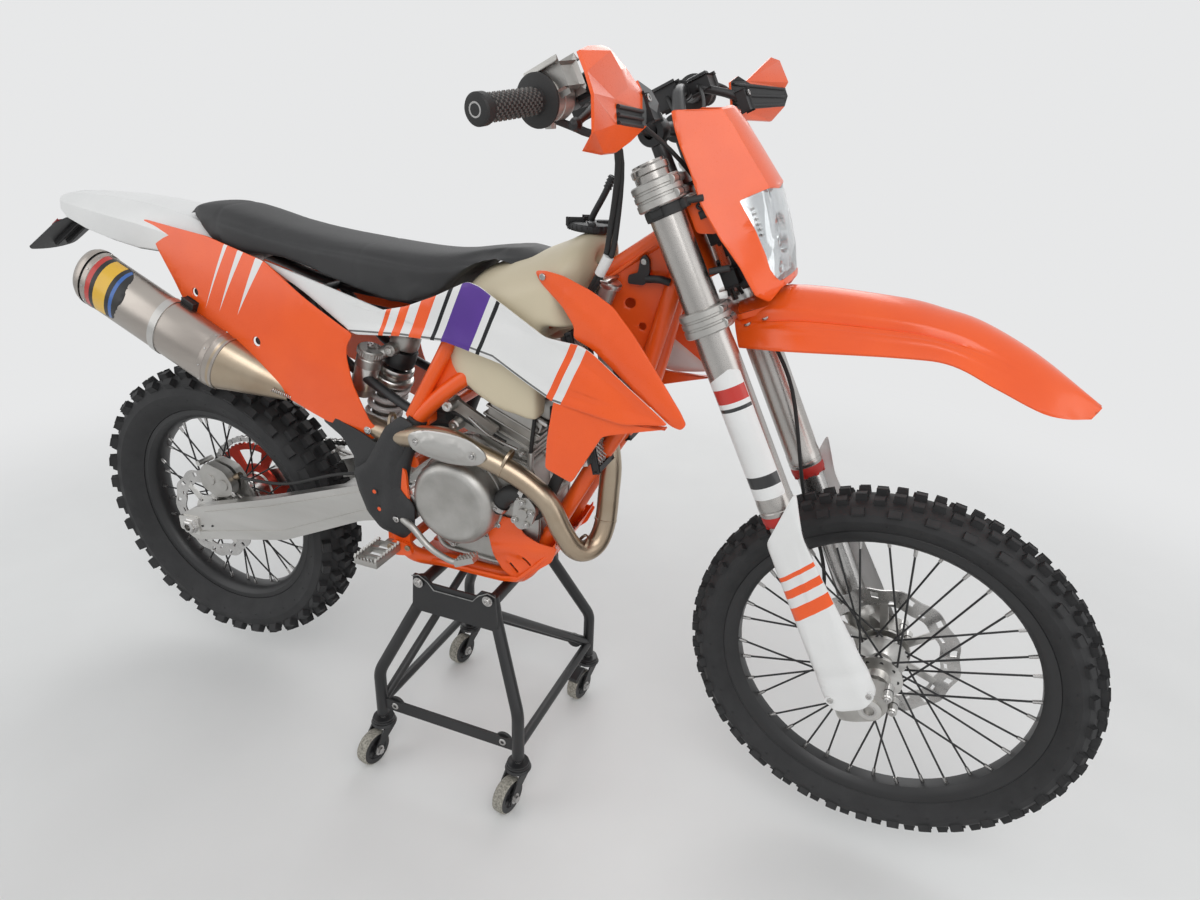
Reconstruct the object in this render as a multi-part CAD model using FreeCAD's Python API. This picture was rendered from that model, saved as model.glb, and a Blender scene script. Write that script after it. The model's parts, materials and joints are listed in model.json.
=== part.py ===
import FreeCAD, Part
import math
import os

os.makedirs("parts", exist_ok=True)

V = FreeCAD.Vector
ORIGIN = V(0, 0, 0)
Y = V(0, 1, 0)
Z = V(0, 0, 1)
FULL_TURN = 360.0

# Driving dimensions of the motorcycle, in millimetres and degrees
wheelbase = 1482.0
rake = 26.5
steer_at_rest = -4.5
fork_offset = 22.0
axle_lead = 35.0
fork_half_spacing = 98.0
front_tyre_radius = 349.0
front_tyre_width = 90.0
rear_tyre_radius = 341.0
rear_tyre_width = 132.0
front_bead_radius = 268.3
rear_bead_radius = 229.1
spokes_per_wheel = 36
lift_over_floor = 75.0
chassis_length = 1000.0
chassis_half_width = 100.0
chassis_height = 1000.0
body_half_width = 95.0
tank_half_width = 118.0
seat_length = 770.0
seat_depth = 145.0
fork_length = 944.0
bar_half_width = 406.0
skin = 3.0

# Clearances: parts that touch on one body, parts that turn, and the reach of cutting shapes
fit_gap = 0.3
running_gap = 0.05
moving_gap = 6.0
overrun = 20.0
smallest_piece = 500.0

# Places of the main centres, from the rear axle and the line under both tyres
pivot_shares = (0.590, 0, 0.535)
stand_hinge_shares = (0.525, 1.60, 0.385)


def chassis(length_share, width_share, height_share):
    return V(length_share * chassis_length, width_share * chassis_half_width, height_share * chassis_height)


rear_axle = V(0, 0, rear_tyre_radius)
front_axle = V(wheelbase, 0, front_tyre_radius)
pivot = chassis(*pivot_shares)
stand_hinge = chassis(*stand_hinge_shares)
up_axis = V(-math.sin(math.radians(rake)), 0, math.cos(math.radians(rake)))
lead_axis = V(math.cos(math.radians(rake)), 0, math.sin(math.radians(rake)))
steer_foot = front_axle - lead_axis * (fork_offset + axle_lead)

nodes = {}


# Helpers that place and join shapes
def add(name, *shapes):
    solids = [solid for shape in shapes for solid in shape.Solids]
    whole = solids[0]
    if len(solids) > 1:
        whole = solids[0].fuse(solids[1:]).removeSplitter()
    nodes[name] = whole


def local(along, lead, side=0):
    """A place on the steered group: along the fork from the axle's foot, ahead of it and to its side"""
    return steer_foot + up_axis * along + lead_axis * lead + Y * side


def largest(shape):
    return max(shape.Solids, key=lambda solid: solid.Volume)


def both_sides(shape):
    return [shape, shape.mirror(ORIGIN, Y)]


# Helpers for round and flat shapes
def rod(start, end, radius):
    return Part.makeCylinder(radius, (end - start).Length, start, end - start)


def taper(start, end, start_radius, end_radius):
    return Part.makeCone(start_radius, end_radius, (end - start).Length, start, end - start)


def sleeve(start, end, radius, bore):
    reach = (end - start).normalize() * bore
    return rod(start, end, radius).cut(rod(start - reach, end + reach, bore))


def crossbar(centre, half, radius):
    return rod(centre - Y * half, centre + Y * half, radius)


def block(centre, length, width, height):
    corner = centre - V(length, width, height) * 0.5
    return Part.makeBox(length, width, height, corner)


def leaned_block(centre, length, width, height, lean):
    shape = block(centre, length, width, height)
    shape.rotate(centre, Y, lean)
    return shape


def rounded_path(points, radius, closed):
    count = len(points)
    edges = []
    arcs = {}
    longest_share = 0.45
    for index in range(count):
        if not closed and index in (0, count - 1):
            continue
        before = points[index - 1]
        corner = points[index]
        after = points[(index + 1) % count]
        back = before - corner
        ahead = after - corner
        turn = math.pi - back.getAngle(ahead)
        limit = longest_share * min(back.Length, ahead.Length)
        reach = min(radius * math.tan(turn / 2), limit)
        if turn < math.radians(1) or reach <= 0:
            continue
        start = corner + back.normalize() * reach
        end = corner + ahead.normalize() * reach
        used = reach / math.tan(turn / 2)
        inward = (start + end) * 0.5 - corner
        depth = used / math.cos(turn / 2) - used
        arcs[index] = (start, corner + inward.normalize() * depth, end)
    last = count if closed else count - 1
    for index in range(last):
        following = (index + 1) % count
        start = arcs[index][2] if index in arcs else points[index]
        end = arcs[following][0] if following in arcs else points[following]
        edges.append(Part.makeLine(start, end))
        if following in arcs:
            edges.append(Part.Arc(*arcs[following]).toShape())
    return Part.Wire(edges)


def pipe(points, radius, bend):
    path = rounded_path(points, bend, False)
    heading = points[1] - points[0]
    rims = [Part.Wire(Part.makeCircle(radius, points[0], heading))]
    return path.makePipeShell(rims, True, False, 2)


def spread(shares, corner, length, height):
    return [V(corner.x + u * length, corner.y, corner.z + v * height) for u, v in shares]


def slab(points, side_low, side_high, corner_radius):
    lifted = [V(p.x, side_low, p.z) for p in points]
    wire = rounded_path(lifted, corner_radius, True)
    return Part.Face(wire).extrude(Y * (side_high - side_low))


def turned(places, centre, axis, along):
    """A ring turned about axis from pairs of radius and distance along that axis"""
    points = [centre + along * radius + axis * distance for radius, distance in places]
    wire = Part.makePolygon(points + [points[0]])
    return Part.Face(wire).revolve(centre, axis, FULL_TURN)


# Helpers for curved sheets
def smooth_edge(points):
    curve = Part.BSplineCurve()
    curve.interpolate(points)
    return curve.toShape()


def sheet_through(rows):
    surface = Part.BSplineSurface()
    surface.interpolate(rows)
    return surface.toShape()


def bowed_rows(corner, length, height, side_shares, lean_shares, half_width):
    """Rows of points for a skin at the side of the body, past its outline by the overrun"""
    rows = []
    for level, scale in zip((0, 0.5, 1.0), lean_shares):
        base = corner.z - overrun + level * (height + overrun * 2)
        rows.append([V(corner.x - overrun + u * (length + overrun * 2), -half_width * y * scale, base)
                     for u, y in side_shares])
    return rows


def skin_panel(points, rows, thickness, corner_radius):
    sheet = sheet_through(rows).extrude(Y * thickness)
    sides = [p.y for row in rows for p in row]
    prism = slab(points, min(sides) - overrun, max(sides) + overrun, corner_radius)
    return prism.common(sheet)


def arch_wire(left, crown, right, drop, thickness):
    outer = smooth_edge([left, crown, right])
    inset = (right - left).normalize() * thickness
    inner = smooth_edge([right - inset, crown - drop * thickness, left + inset])
    return Part.Wire([outer, Part.makeLine(right, right - inset), inner, Part.makeLine(left + inset, left)])


def arch_loft(stations, drop, thickness):
    wires = [arch_wire(left, crown, right, drop, thickness) for left, crown, right in stations]
    return Part.makeLoft(wires, True, False)


def saddle_wire(x, low, high, half, shoulder_limit):
    shoulder = min(shoulder_limit, 0.75 * (high - low))
    knee_share = 0.7
    left = V(x, -half, high - shoulder)
    right = V(x, half, high - shoulder)
    knee = high - shoulder * 0.3
    crown = smooth_edge([right, V(x, half * knee_share, knee), V(x, 0, high),
                         V(x, -half * knee_share, knee), left])
    base_left = V(x, -half, low)
    base_right = V(x, half, low)
    return Part.Wire([Part.makeLine(base_left, base_right), Part.makeLine(base_right, right),
                      crown, Part.makeLine(left, base_left)])


# Tyres: a turned carcass with a ring of lugs in each row, out to the tyre's radius
rim_flange_height = 14.0
front_rim_half = 23.5
rear_rim_half = 31.0
front_lug_height = 12.0
rear_lug_height = 15.0
lug_root = 4.0
lugs_per_row = 36
carcass_shares = ((0.0, None), (0.35, 0.95), (0.62, 0.98), (0.88, 0.78), (1.0, 0.30))
front_lug_rows = ((0.24, 5.0, 0, 18.0, 17.0), (0.72, 40.0, 0.5, 19.0, 15.0))
rear_lug_rows = ((0.20, 4.0, 0, 21.0, 26.0), (0.74, 38.0, 0.5, 24.0, 20.0))


def tyre(name, centre, bead_radius, outer_radius, rim_half, width, lug_height, lug_rows):
    bead_half = rim_half - skin - fit_gap
    flange_radius = bead_radius + rim_flange_height
    crown_radius = outer_radius - lug_height
    depth = crown_radius - flange_radius
    half = width / 2
    places = [(bead_radius + fit_gap, -bead_half)]
    for rise, bulge in carcass_shares:
        reach = bead_half if bulge is None else half * bulge
        places.append((flange_radius + fit_gap + rise * (depth - fit_gap), -reach))
    places += [(radius, -side) for radius, side in reversed(places)]
    carcass = turned(places, centre, Y, Z)
    lugs = []
    for side_share, lean, offset, length, breadth in lug_rows:
        side = side_share * half
        drop = lug_height * 0.35 if lean > 10.0 else 0
        middle = V(0, side, crown_radius - drop + (lug_height - lug_root) / 2)
        lug = block(middle, length, breadth, lug_height + lug_root)
        lug.rotate(middle, V(1, 0, 0), -lean)
        for index in range(lugs_per_row):
            angle = FULL_TURN * (index + offset) / lugs_per_row
            copied = lug.copy()
            copied.rotate(ORIGIN, Y, angle)
            copied.translate(centre)
            lugs += both_sides(copied)
    add(name, carcass, *lugs)


# Rims with their crossed spokes
rim_well_depth = 8.0
spoke_radius = 2.2
spoke_cross = 22.0
hub_flange_radius = 42.0


def rim_section(bead_radius, rim_half):
    flange_radius = bead_radius + rim_flange_height
    seat_half = rim_half - skin
    well_half = seat_half * 0.45
    slope_half = seat_half * 0.65
    well_radius = bead_radius - rim_well_depth
    under_radius = well_radius - skin * 1.6
    half = [(flange_radius, seat_half), (bead_radius, seat_half), (bead_radius, slope_half),
            (well_radius, well_half)]
    outer = [(under_radius, well_half), (bead_radius - skin, rim_half), (flange_radius, rim_half)]
    section = half + [(radius, -side) for radius, side in reversed(half)]
    return section + [(radius, -side) for radius, side in reversed(outer)] + outer


def spoke_set(centre, hub_half, rim_radius, rim_offset):
    spokes = []
    groups = spokes_per_wheel // 4
    pitch = FULL_TURN / spokes_per_wheel
    for side in (-1, 1):
        for cross in (-1, 1):
            for index in range(groups):
                angle = math.radians(pitch * (4 * index + side + cross + 0.5 * side))
                far = angle + math.radians(spoke_cross) * cross
                start = V(math.cos(angle), 0, math.sin(angle)) * hub_flange_radius + Y * (side * hub_half)
                end = V(math.cos(far), 0, math.sin(far)) * rim_radius + Y * (side * rim_offset)
                spokes.append(rod(centre + start, centre + end, spoke_radius))
    return spokes


def rim(name, centre, bead_radius, rim_half, hub_half):
    ring = turned(rim_section(bead_radius, rim_half), centre, Y, Z)
    spokes = spoke_set(centre, hub_half, bead_radius - skin * 3, rim_half * 0.2)
    add(name, ring, *spokes)


# Hubs: barrel, spoke flanges, and a brake disc with slots between its carrier and its ring
axle_radius = 12.5
hub_barrel_radius = 24.0
flange_width = 7.0
disc_width = 4.0
disc_ring_width = 30.0
carrier_rim = 12.0
disc_arms = 6
front_hub_half = 30.0
front_hub_reach = 58.0
front_disc_radius = 130.0
front_disc_side = 50.0
rear_hub_half = 34.0
rear_hub_reach = 70.0
rear_disc_radius = 110.0
rear_disc_side = -62.0
slots_per_disc = 24
slot_radius = 4.0


def hub(name, centre, flange_half, reach, disc_radius, disc_side):
    shapes = [crossbar(centre, reach, hub_barrel_radius)]
    for side in (-1, 1):
        middle = centre + Y * (side * flange_half)
        shapes.append(crossbar(middle, flange_width / 2, hub_flange_radius))
    disc_middle = centre + Y * disc_side
    half_disc = Y * (disc_width / 2)
    ring = sleeve(disc_middle - half_disc, disc_middle + half_disc, disc_radius, disc_radius - disc_ring_width)
    holes = []
    for index in range(slots_per_disc):
        angle = math.radians(index * FULL_TURN / slots_per_disc)
        radius = disc_radius - disc_ring_width * (0.35 if index % 2 else 0.65)
        spot = disc_middle + V(math.cos(angle), 0, math.sin(angle)) * radius
        holes.append(crossbar(spot, disc_width, slot_radius))
    shapes.append(ring.cut(holes))
    shapes.append(crossbar(disc_middle, disc_width / 2, hub_flange_radius + carrier_rim))
    for index in range(disc_arms):
        angle = math.radians(index * FULL_TURN / disc_arms)
        tip = disc_middle + V(math.cos(angle), 0, math.sin(angle)) * (disc_radius - disc_ring_width * 0.7)
        shapes.append(rod(disc_middle, tip, disc_width / 2))
    whole = shapes[0].fuse(shapes[1:])
    add(name, whole.cut(crossbar(centre, reach + overrun, axle_radius + fit_gap)))


def wheels():
    tyre("front_tyre", front_axle, front_bead_radius, front_tyre_radius, front_rim_half, front_tyre_width,
         front_lug_height, front_lug_rows)
    rim("front_rim", front_axle, front_bead_radius, front_rim_half, front_hub_half)
    hub("front_hub", front_axle, front_hub_half, front_hub_reach, front_disc_radius, front_disc_side)
    tyre("rear_tyre", rear_axle, rear_bead_radius, rear_tyre_radius, rear_rim_half, rear_tyre_width,
         rear_lug_height, rear_lug_rows)
    rim("rear_rim", rear_axle, rear_bead_radius, rear_rim_half, rear_hub_half)
    hub("rear_hub", rear_axle, rear_hub_half, rear_hub_reach, rear_disc_radius, rear_disc_side)


wheels()

# Final drive: a loop of link plates round both sprockets, and the toothed rear sprocket
chain_pitch = 15.875
rear_teeth = 52
front_teeth = 14
chain_height = 15.0
chain_waist = 9.0
chain_width = 17.0
chain_offset = 84.0
sprocket_width = 6.0
sprocket_carrier_radius = 62.0
sprocket_holes = 6
sprocket_hole_radius = 15.0
tooth_depth = 5.0
countershaft_reach = 66.0
countershaft_rise = 8.0
rear_pitch_radius = chain_pitch / (2 * math.sin(math.pi / rear_teeth))
front_pitch_radius = chain_pitch / (2 * math.sin(math.pi / front_teeth))
roller_gap = 1.5
sprocket_radius = rear_pitch_radius - chain_height / 2 - roller_gap
countershaft = pivot + V(countershaft_reach, 0, countershaft_rise)


def chain_place(distance, slope, lean, span):
    """The point at a distance along the chain's loop, and the way out of the loop there"""
    rear_arc = (math.tau - 2 * lean) * rear_pitch_radius
    run = span * math.sin(lean)
    front_arc = 2 * lean * front_pitch_radius
    if distance < rear_arc:
        angle = slope + lean + distance / rear_pitch_radius
        out = V(math.cos(angle), 0, math.sin(angle))
        return rear_axle + out * rear_pitch_radius, out
    distance -= rear_arc
    if distance < run:
        out = V(math.cos(slope - lean), 0, math.sin(slope - lean))
        start = rear_axle + out * rear_pitch_radius
        end = countershaft + out * front_pitch_radius
        return start + (end - start) * (distance / run), out
    distance -= run
    if distance < front_arc:
        angle = slope - lean + distance / front_pitch_radius
        out = V(math.cos(angle), 0, math.sin(angle))
        return countershaft + out * front_pitch_radius, out
    distance -= front_arc
    out = V(math.cos(slope + lean), 0, math.sin(slope + lean))
    start = countershaft + out * front_pitch_radius
    end = rear_axle + out * rear_pitch_radius
    return start + (end - start) * (distance / run), out


def chain():
    gap = countershaft - rear_axle
    slope = math.atan2(gap.z, gap.x)
    span = math.hypot(gap.x, gap.z)
    lean = math.acos((rear_pitch_radius - front_pitch_radius) / span)
    length = (math.tau - 2 * lean) * rear_pitch_radius + 2 * lean * front_pitch_radius
    length += 2 * span * math.sin(lean)
    links = round(length / chain_pitch)
    outer = []
    inner = []
    for index in range(links * 2):
        place, out = chain_place(length * index / (links * 2), slope, lean, span)
        half = (chain_waist if index % 2 else chain_height) / 2
        outer.append(place + out * half)
        inner.append(place - out * half)
    low = Y * (chain_offset - chain_width / 2)
    loops = [Part.Face(Part.makePolygon(ring + [ring[0]])).extrude(Y * chain_width) for ring in (outer, inner)]
    for loop in loops:
        loop.translate(low)
    add("chain", loops[0].cut(loops[1]))


def toothed_disc(centre, radius, depth, teeth, width):
    points = []
    for index in range(teeth * 4):
        angle = math.tau * index / (teeth * 4)
        reach = radius if index % 4 in (0, 1) else radius - depth
        points.append(centre + V(math.cos(angle), 0, math.sin(angle)) * reach - Y * (width / 2))
    return Part.Face(Part.makePolygon(points + [points[0]])).extrude(Y * width)


def rear_sprocket():
    middle = rear_axle + Y * chain_offset
    plate = toothed_disc(middle, sprocket_radius, tooth_depth, rear_teeth, sprocket_width)
    holes = []
    hole_ring = (sprocket_radius - tooth_depth + sprocket_carrier_radius) / 2
    for index in range(sprocket_holes):
        angle = math.tau * (index + 0.5) / sprocket_holes
        spot = middle + V(math.cos(angle), 0, math.sin(angle)) * hole_ring
        holes.append(crossbar(spot, sprocket_width, sprocket_hole_radius))
    start = rear_axle + Y * (rear_hub_half + moving_gap)
    mount = rod(start, middle, hub_flange_radius - 2 * running_gap)
    whole = plate.cut(holes).fuse(mount)
    bore = rod(rear_axle, middle + Y * overrun, hub_barrel_radius + fit_gap)
    add("rear_sprocket", whole.cut(bore))


chain()
rear_sprocket()

# Swingarm: two deep arms, a cross tube, the pivot tube, the axle and its nuts
arm_inner = 96.0
arm_outer = 122.0
arm_height = 250.0
arm_drop = 42.0
arm_corner = 18.0
arm_band = 3.0
cross_length = 60.0
cross_height = 55.0
cross_share = 0.70
pivot_tube_radius = 24.0
axle_nut_radius = 17.0
axle_nut_width = 6.0
arm_shares = ((0.0, 0.02), (-0.05, 0.10), (-0.05, 0.26), (0.02, 0.36), (0.40, 0.64), (0.80, 0.98),
              (1.0, 1.0), (1.05, 0.90), (1.02, 0.78), (0.80, 0.66), (0.45, 0.27))
band_shares = ((0.03, 0.06), (0.05, 0.13), (0.45, 0.38), (0.78, 0.74), (0.79, 0.68), (0.45, 0.30))


def swingarm():
    length = pivot.x
    rise = pivot.z - rear_axle.z
    corner = V(rear_axle.x, 0, rear_axle.z - arm_drop)
    arm = slab(spread(arm_shares, corner, length, arm_height), arm_inner, arm_outer, arm_corner)
    band = slab(spread(band_shares, corner, length, arm_height), arm_outer, arm_outer + arm_band, arm_band)
    cross_centre = V(length * cross_share, 0, rear_axle.z + rise * cross_share)
    lean = -math.degrees(math.atan2(rise, length))
    cross = leaned_block(cross_centre, cross_length, arm_inner * 2 + arm_band, cross_height, lean)
    tube = crossbar(pivot, arm_outer, pivot_tube_radius)
    pin = crossbar(rear_axle, arm_outer + axle_nut_width, axle_radius)
    nuts = crossbar(rear_axle, arm_outer + axle_nut_width * 2, axle_nut_radius)
    nuts = nuts.cut(crossbar(rear_axle, arm_outer - axle_nut_width, axle_nut_radius + overrun))
    add("swingarm", arm, cross, tube, pin, nuts, arm.mirror(ORIGIN, Y), *both_sides(band))


swingarm()

# Frame: steering head, top tubes, cradle, pivot plates, subframe, and the side stand's bracket and pin
head_low = 752.0
head_high = 872.0
head_radius = 29.0
stem_radius = 14.0
stem_gap = 1.0
frame_tube = 15.0
rail_tube = 10.0
strut_tube = 9.0
frame_bend = 60.0
plate_inner = 123.5
plate_outer = 129.5
plate_length = 74.0
plate_height = 200.0
plate_corner = 12.0
plate_foot_shares = (0.540, 0, 0.425)
plate_shares = ((0.0, 0.0), (0.75, 0.0), (1.0, 0.4), (0.9, 1.0), (0.35, 1.0), (0.0, 0.55))
weld_half = 12.0
top_start = 30.0
top_knee = 60.0
top_knee_lead = -170.0
top_knee_side = 50.0
down_start = 45.0
top_shares = ((0.760, 0.58, 0.830), (0.620, 0.88, 0.690), (0.590, 1.14, 0.610))
down_shares = ((1.004, 0.48, 0.780), (0.862, 0.60, 0.500), (0.800, 0.66, 0.402), (0.640, 0.72, 0.398),
               (0.560, 1.14, 0.440))
rail_shares = ((0.758, 0.58, 0.834), (0.660, 0.58, 0.866), (0.560, 0.56, 0.876), (0.330, 0.50, 0.892),
               (0.060, 0.44, 0.958))
strut_shares = ((0.622, 0.86, 0.696), (0.420, 0.74, 0.780), (0.330, 0.50, 0.892))
cross_tubes = (((0.563, 1.26, 0.432), rail_tube), ((0.592, 1.26, 0.612), weld_half),
               ((0.622, 0.88, 0.692), weld_half), ((0.560, 0.56, 0.874), strut_tube),
               ((0.330, 0.50, 0.892), strut_tube), ((0.070, 0.45, 0.955), strut_tube))
bracket_shares = (0.540, 1.18, 0.405)
bracket_length = 60.0
bracket_width = 32.0
bracket_height = 50.0
stand_pin_radius = 8.0
stand_pin_inner = 40.0
stand_pin_outer = 16.0
stand_folded = V(-0.985, 0.03, 0.17).normalize()
stand_lowered = V(0, 0.35, -0.937).normalize()
stand_axis = stand_folded.cross(stand_lowered).normalize()


def frame():
    head = rod(local(head_low, 0), local(head_high, 0), head_radius)
    bore = rod(local(head_low - overrun, 0), local(head_high + overrun, 0), stem_radius + stem_gap)
    top = pipe([local(head_high - top_start, -weld_half, weld_half),
                local(head_high - top_knee, top_knee_lead, top_knee_side)]
               + [chassis(*shares) for shares in top_shares], frame_tube, frame_bend)
    down = pipe([local(head_low + down_start, -weld_half, weld_half)]
                + [chassis(*shares) for shares in down_shares], frame_tube, frame_bend)
    plate = slab(spread(plate_shares, chassis(*plate_foot_shares), plate_length, plate_height),
                 plate_inner, plate_outer, plate_corner)
    rail = pipe([chassis(*shares) for shares in rail_shares], rail_tube, frame_bend)
    strut = pipe([chassis(*shares) for shares in strut_shares], strut_tube, frame_bend)
    shapes = []
    for shape in (top, down, plate, rail, strut):
        shapes += both_sides(shape)
    for (along, width, height), radius in cross_tubes:
        shapes.append(crossbar(chassis(along, 0, height), width * chassis_half_width, radius))
    shapes.append(block(chassis(*bracket_shares), bracket_length, bracket_width, bracket_height))
    shapes.append(rod(stand_hinge + stand_axis * stand_pin_inner, stand_hinge - stand_axis * stand_pin_outer,
                      stand_pin_radius))
    add("frame", head.fuse(shapes).cut(bore))


frame()

# Engine: crankcase with its pump and front sprocket, covers with bolted flanges, ribbed cylinder and head
case_half = 78.0
case_left = 70.0
case_length = 230.0
case_height = 225.0
case_corner = 18.0
case_foot_shares = (0.612, 0, 0.418)
case_shares = ((0.04, 0.12), (0.20, 0.0), (0.86, 0.0), (1.0, 0.22), (0.94, 0.62), (0.78, 1.0),
               (0.22, 1.0), (0.05, 0.72))
pump_shares = (0.812, 0, 0.520)
pump_radius = 30.0
pump_inner = 48.0
pump_outer = 36.0
pump_boss_radius = 7.0
clutch_shares = (0.697, 0, 0.550)
clutch_radius = 78.0
clutch_depth = 44.0
clutch_cap_depth = 12.0
clutch_cap_radius = 66.0
clutch_face_radius = 58.0
clutch_flange_radius = 80.0
clutch_flange_depth = 10.0
ignition_shares = (0.745, 0, 0.492)
ignition_radius = 57.0
ignition_depth = 42.0
ignition_cap_depth = 8.0
ignition_cap_radius = 52.0
ignition_face_radius = 46.0
cover_boss_radius = 7.0
bosses_per_cover = 7
filler_shares = (0.740, 0, 0.618)
filler_radius = 13.0
filler_depth = 20.0
cylinder_shares = (0.752, 0, 0.640)
cylinder_lean = 21.8
barrel_length = 118.0
barrel_width = 128.0
barrel_height = 110.0
barrel_low = 5.0
head_length = 128.0
head_width = 118.0
head_height = 50.0
valve_cover_length = 104.0
valve_cover_width = 96.0
valve_cover_height = 28.0
fin_count = 5
fin_height = 4.0
fin_reach = 3.0


def case_parts():
    case = slab(spread(case_shares, chassis(*case_foot_shares), case_length, case_height),
                -case_half, case_left, case_corner)
    case = case.cut(crossbar(pivot, case_half + overrun, pivot_tube_radius + stem_gap))
    low = countershaft + Y * (case_left - stem_gap)
    high = countershaft + Y * (chain_offset + sprocket_width / 2)
    sprocket = rod(low, high, front_pitch_radius - chain_height / 2 - fit_gap)
    pump = chassis(*pump_shares)
    face = pump - Y * (case_half + pump_outer)
    shapes = [case, sprocket, rod(pump - Y * pump_inner, face, pump_radius)]
    for index in range(3):
        angle = math.tau * (index + 0.2) / 3
        spot = V(math.cos(angle), 0, math.sin(angle)) * pump_radius
        shapes.append(rod(pump - Y * case_half + spot, face + spot, pump_boss_radius))
    add("crankcase", *shapes)


def bolted_ring(centre, inner_side, outer_side, radius, boss_radius, first_share):
    bosses = []
    for index in range(bosses_per_cover):
        angle = math.tau * (index + first_share) / bosses_per_cover
        spot = V(centre.x + math.cos(angle) * radius, 0, centre.z + math.sin(angle) * radius)
        bosses.append(rod(spot + Y * inner_side, spot + Y * outer_side, boss_radius))
    return bosses


def engine_covers():
    clutch = chassis(*clutch_shares)
    side = -case_half
    shoulder = side - clutch_depth
    flange = side - clutch_flange_depth
    shapes = [rod(clutch + Y * side, clutch + Y * shoulder, clutch_radius),
              rod(clutch + Y * side, clutch + Y * flange, clutch_flange_radius),
              taper(clutch + Y * shoulder, clutch + Y * (shoulder - clutch_cap_depth), clutch_cap_radius,
                    clutch_face_radius)]
    shapes += bolted_ring(clutch, side, flange - fin_height, clutch_flange_radius, cover_boss_radius, 0)
    filler = chassis(*filler_shares)
    shapes.append(rod(filler + Y * side, filler + Y * (flange - filler_depth), filler_radius))
    spinner = chassis(*ignition_shares)
    shoulder = case_left + ignition_depth
    shapes.append(rod(spinner + Y * case_left, spinner + Y * shoulder, ignition_radius))
    shapes.append(taper(spinner + Y * shoulder, spinner + Y * (shoulder + ignition_cap_depth),
                        ignition_cap_radius, ignition_face_radius))
    shapes += bolted_ring(spinner, case_left, case_left + clutch_flange_depth, ignition_radius,
                          cover_boss_radius, 0.5)
    add("engine_covers", *shapes)


def cylinder():
    base = chassis(*cylinder_shares)
    shapes = [leaned_block(base + Z * ((barrel_low + barrel_height) / 2), barrel_length, barrel_width,
                           barrel_height - barrel_low, 0)]
    head_middle = barrel_height + head_height / 2
    shapes.append(leaned_block(base + Z * head_middle, head_length, head_width, head_height, 0))
    cover_middle = barrel_height + head_height + valve_cover_height / 2
    shapes.append(leaned_block(base + Z * cover_middle, valve_cover_length, valve_cover_width,
                               valve_cover_height, 0))
    for index in range(fin_count):
        height = barrel_height * (index + 1) / (fin_count + 1)
        shapes.append(leaned_block(base + Z * height, barrel_length + fin_reach * 2,
                                   barrel_width + fin_reach * 2, fin_height, 0))
    for shape in shapes:
        shape.rotate(base, Y, cylinder_lean)
    add("cylinder", *shapes)


case_parts()
engine_covers()
cylinder()

# Exhaust: bent header, oval silencer with its strap and end cap, and the heat shield
exhaust_side = 135.0
header_radius = 20.0
header_bend = 60.0
silencer_tall = 60.0
silencer_wide = 44.0
silencer_cap = 26.0
silencer_cap_inset = 10.0
cap_overlap = 2.0
cone_rim = 5.0
strap_width = 16.0
strap_share = 0.32
outlet_radius = 17.0
outlet_depth = 40.0
silencer_front_shares = (0.175, -1.31, 0.752)
silencer_rear_shares = (-0.118, -1.35, 0.886)
cone_mouth_shares = (0.316, -0.96, 0.7045)
header_shares = ((0.840, -0.10, 0.745), (0.935, -0.08, 0.735), (0.962, -0.20, 0.600), (0.950, -0.60, 0.478),
                 (0.880, -1.04, 0.545), (0.800, -1.20, 0.665), (0.690, -1.32, 0.690), (0.612, -1.36, 0.684),
                 (0.545, -1.04, 0.682), (0.470, -0.84, 0.688), (0.400, -0.84, 0.698), (0.322, -0.95, 0.704))
shield_side = 152.0
shield_thickness = 5.0
shield_length = 165.0
shield_height = 62.0
shield_corner = 14.0
shield_foot_shares = (0.607, 0, 0.645)
shield_shares = ((0.0, 0.35), (0.05, 0.95), (0.85, 1.0), (1.0, 0.6), (0.9, 0.0), (0.4, 0.25))


def oval_wire(centre, heading, tall, wide):
    wire = Part.Wire(Part.Ellipse(ORIGIN, tall, wide).toShape())
    forward = V(heading).normalize()
    side = (Y - forward * forward.dot(Y)).normalize()
    tall_way = side.cross(forward)
    matrix = FreeCAD.Matrix(tall_way.x, side.x, forward.x, centre.x,
                            tall_way.y, side.y, forward.y, centre.y,
                            tall_way.z, side.z, forward.z, centre.z, 0, 0, 0, 1)
    return wire.transformGeometry(matrix)


def oval_run(start, end, heading, start_size, end_size):
    return Part.makeLoft([oval_wire(start, heading, *start_size), oval_wire(end, heading, *end_size)], True, True)


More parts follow.
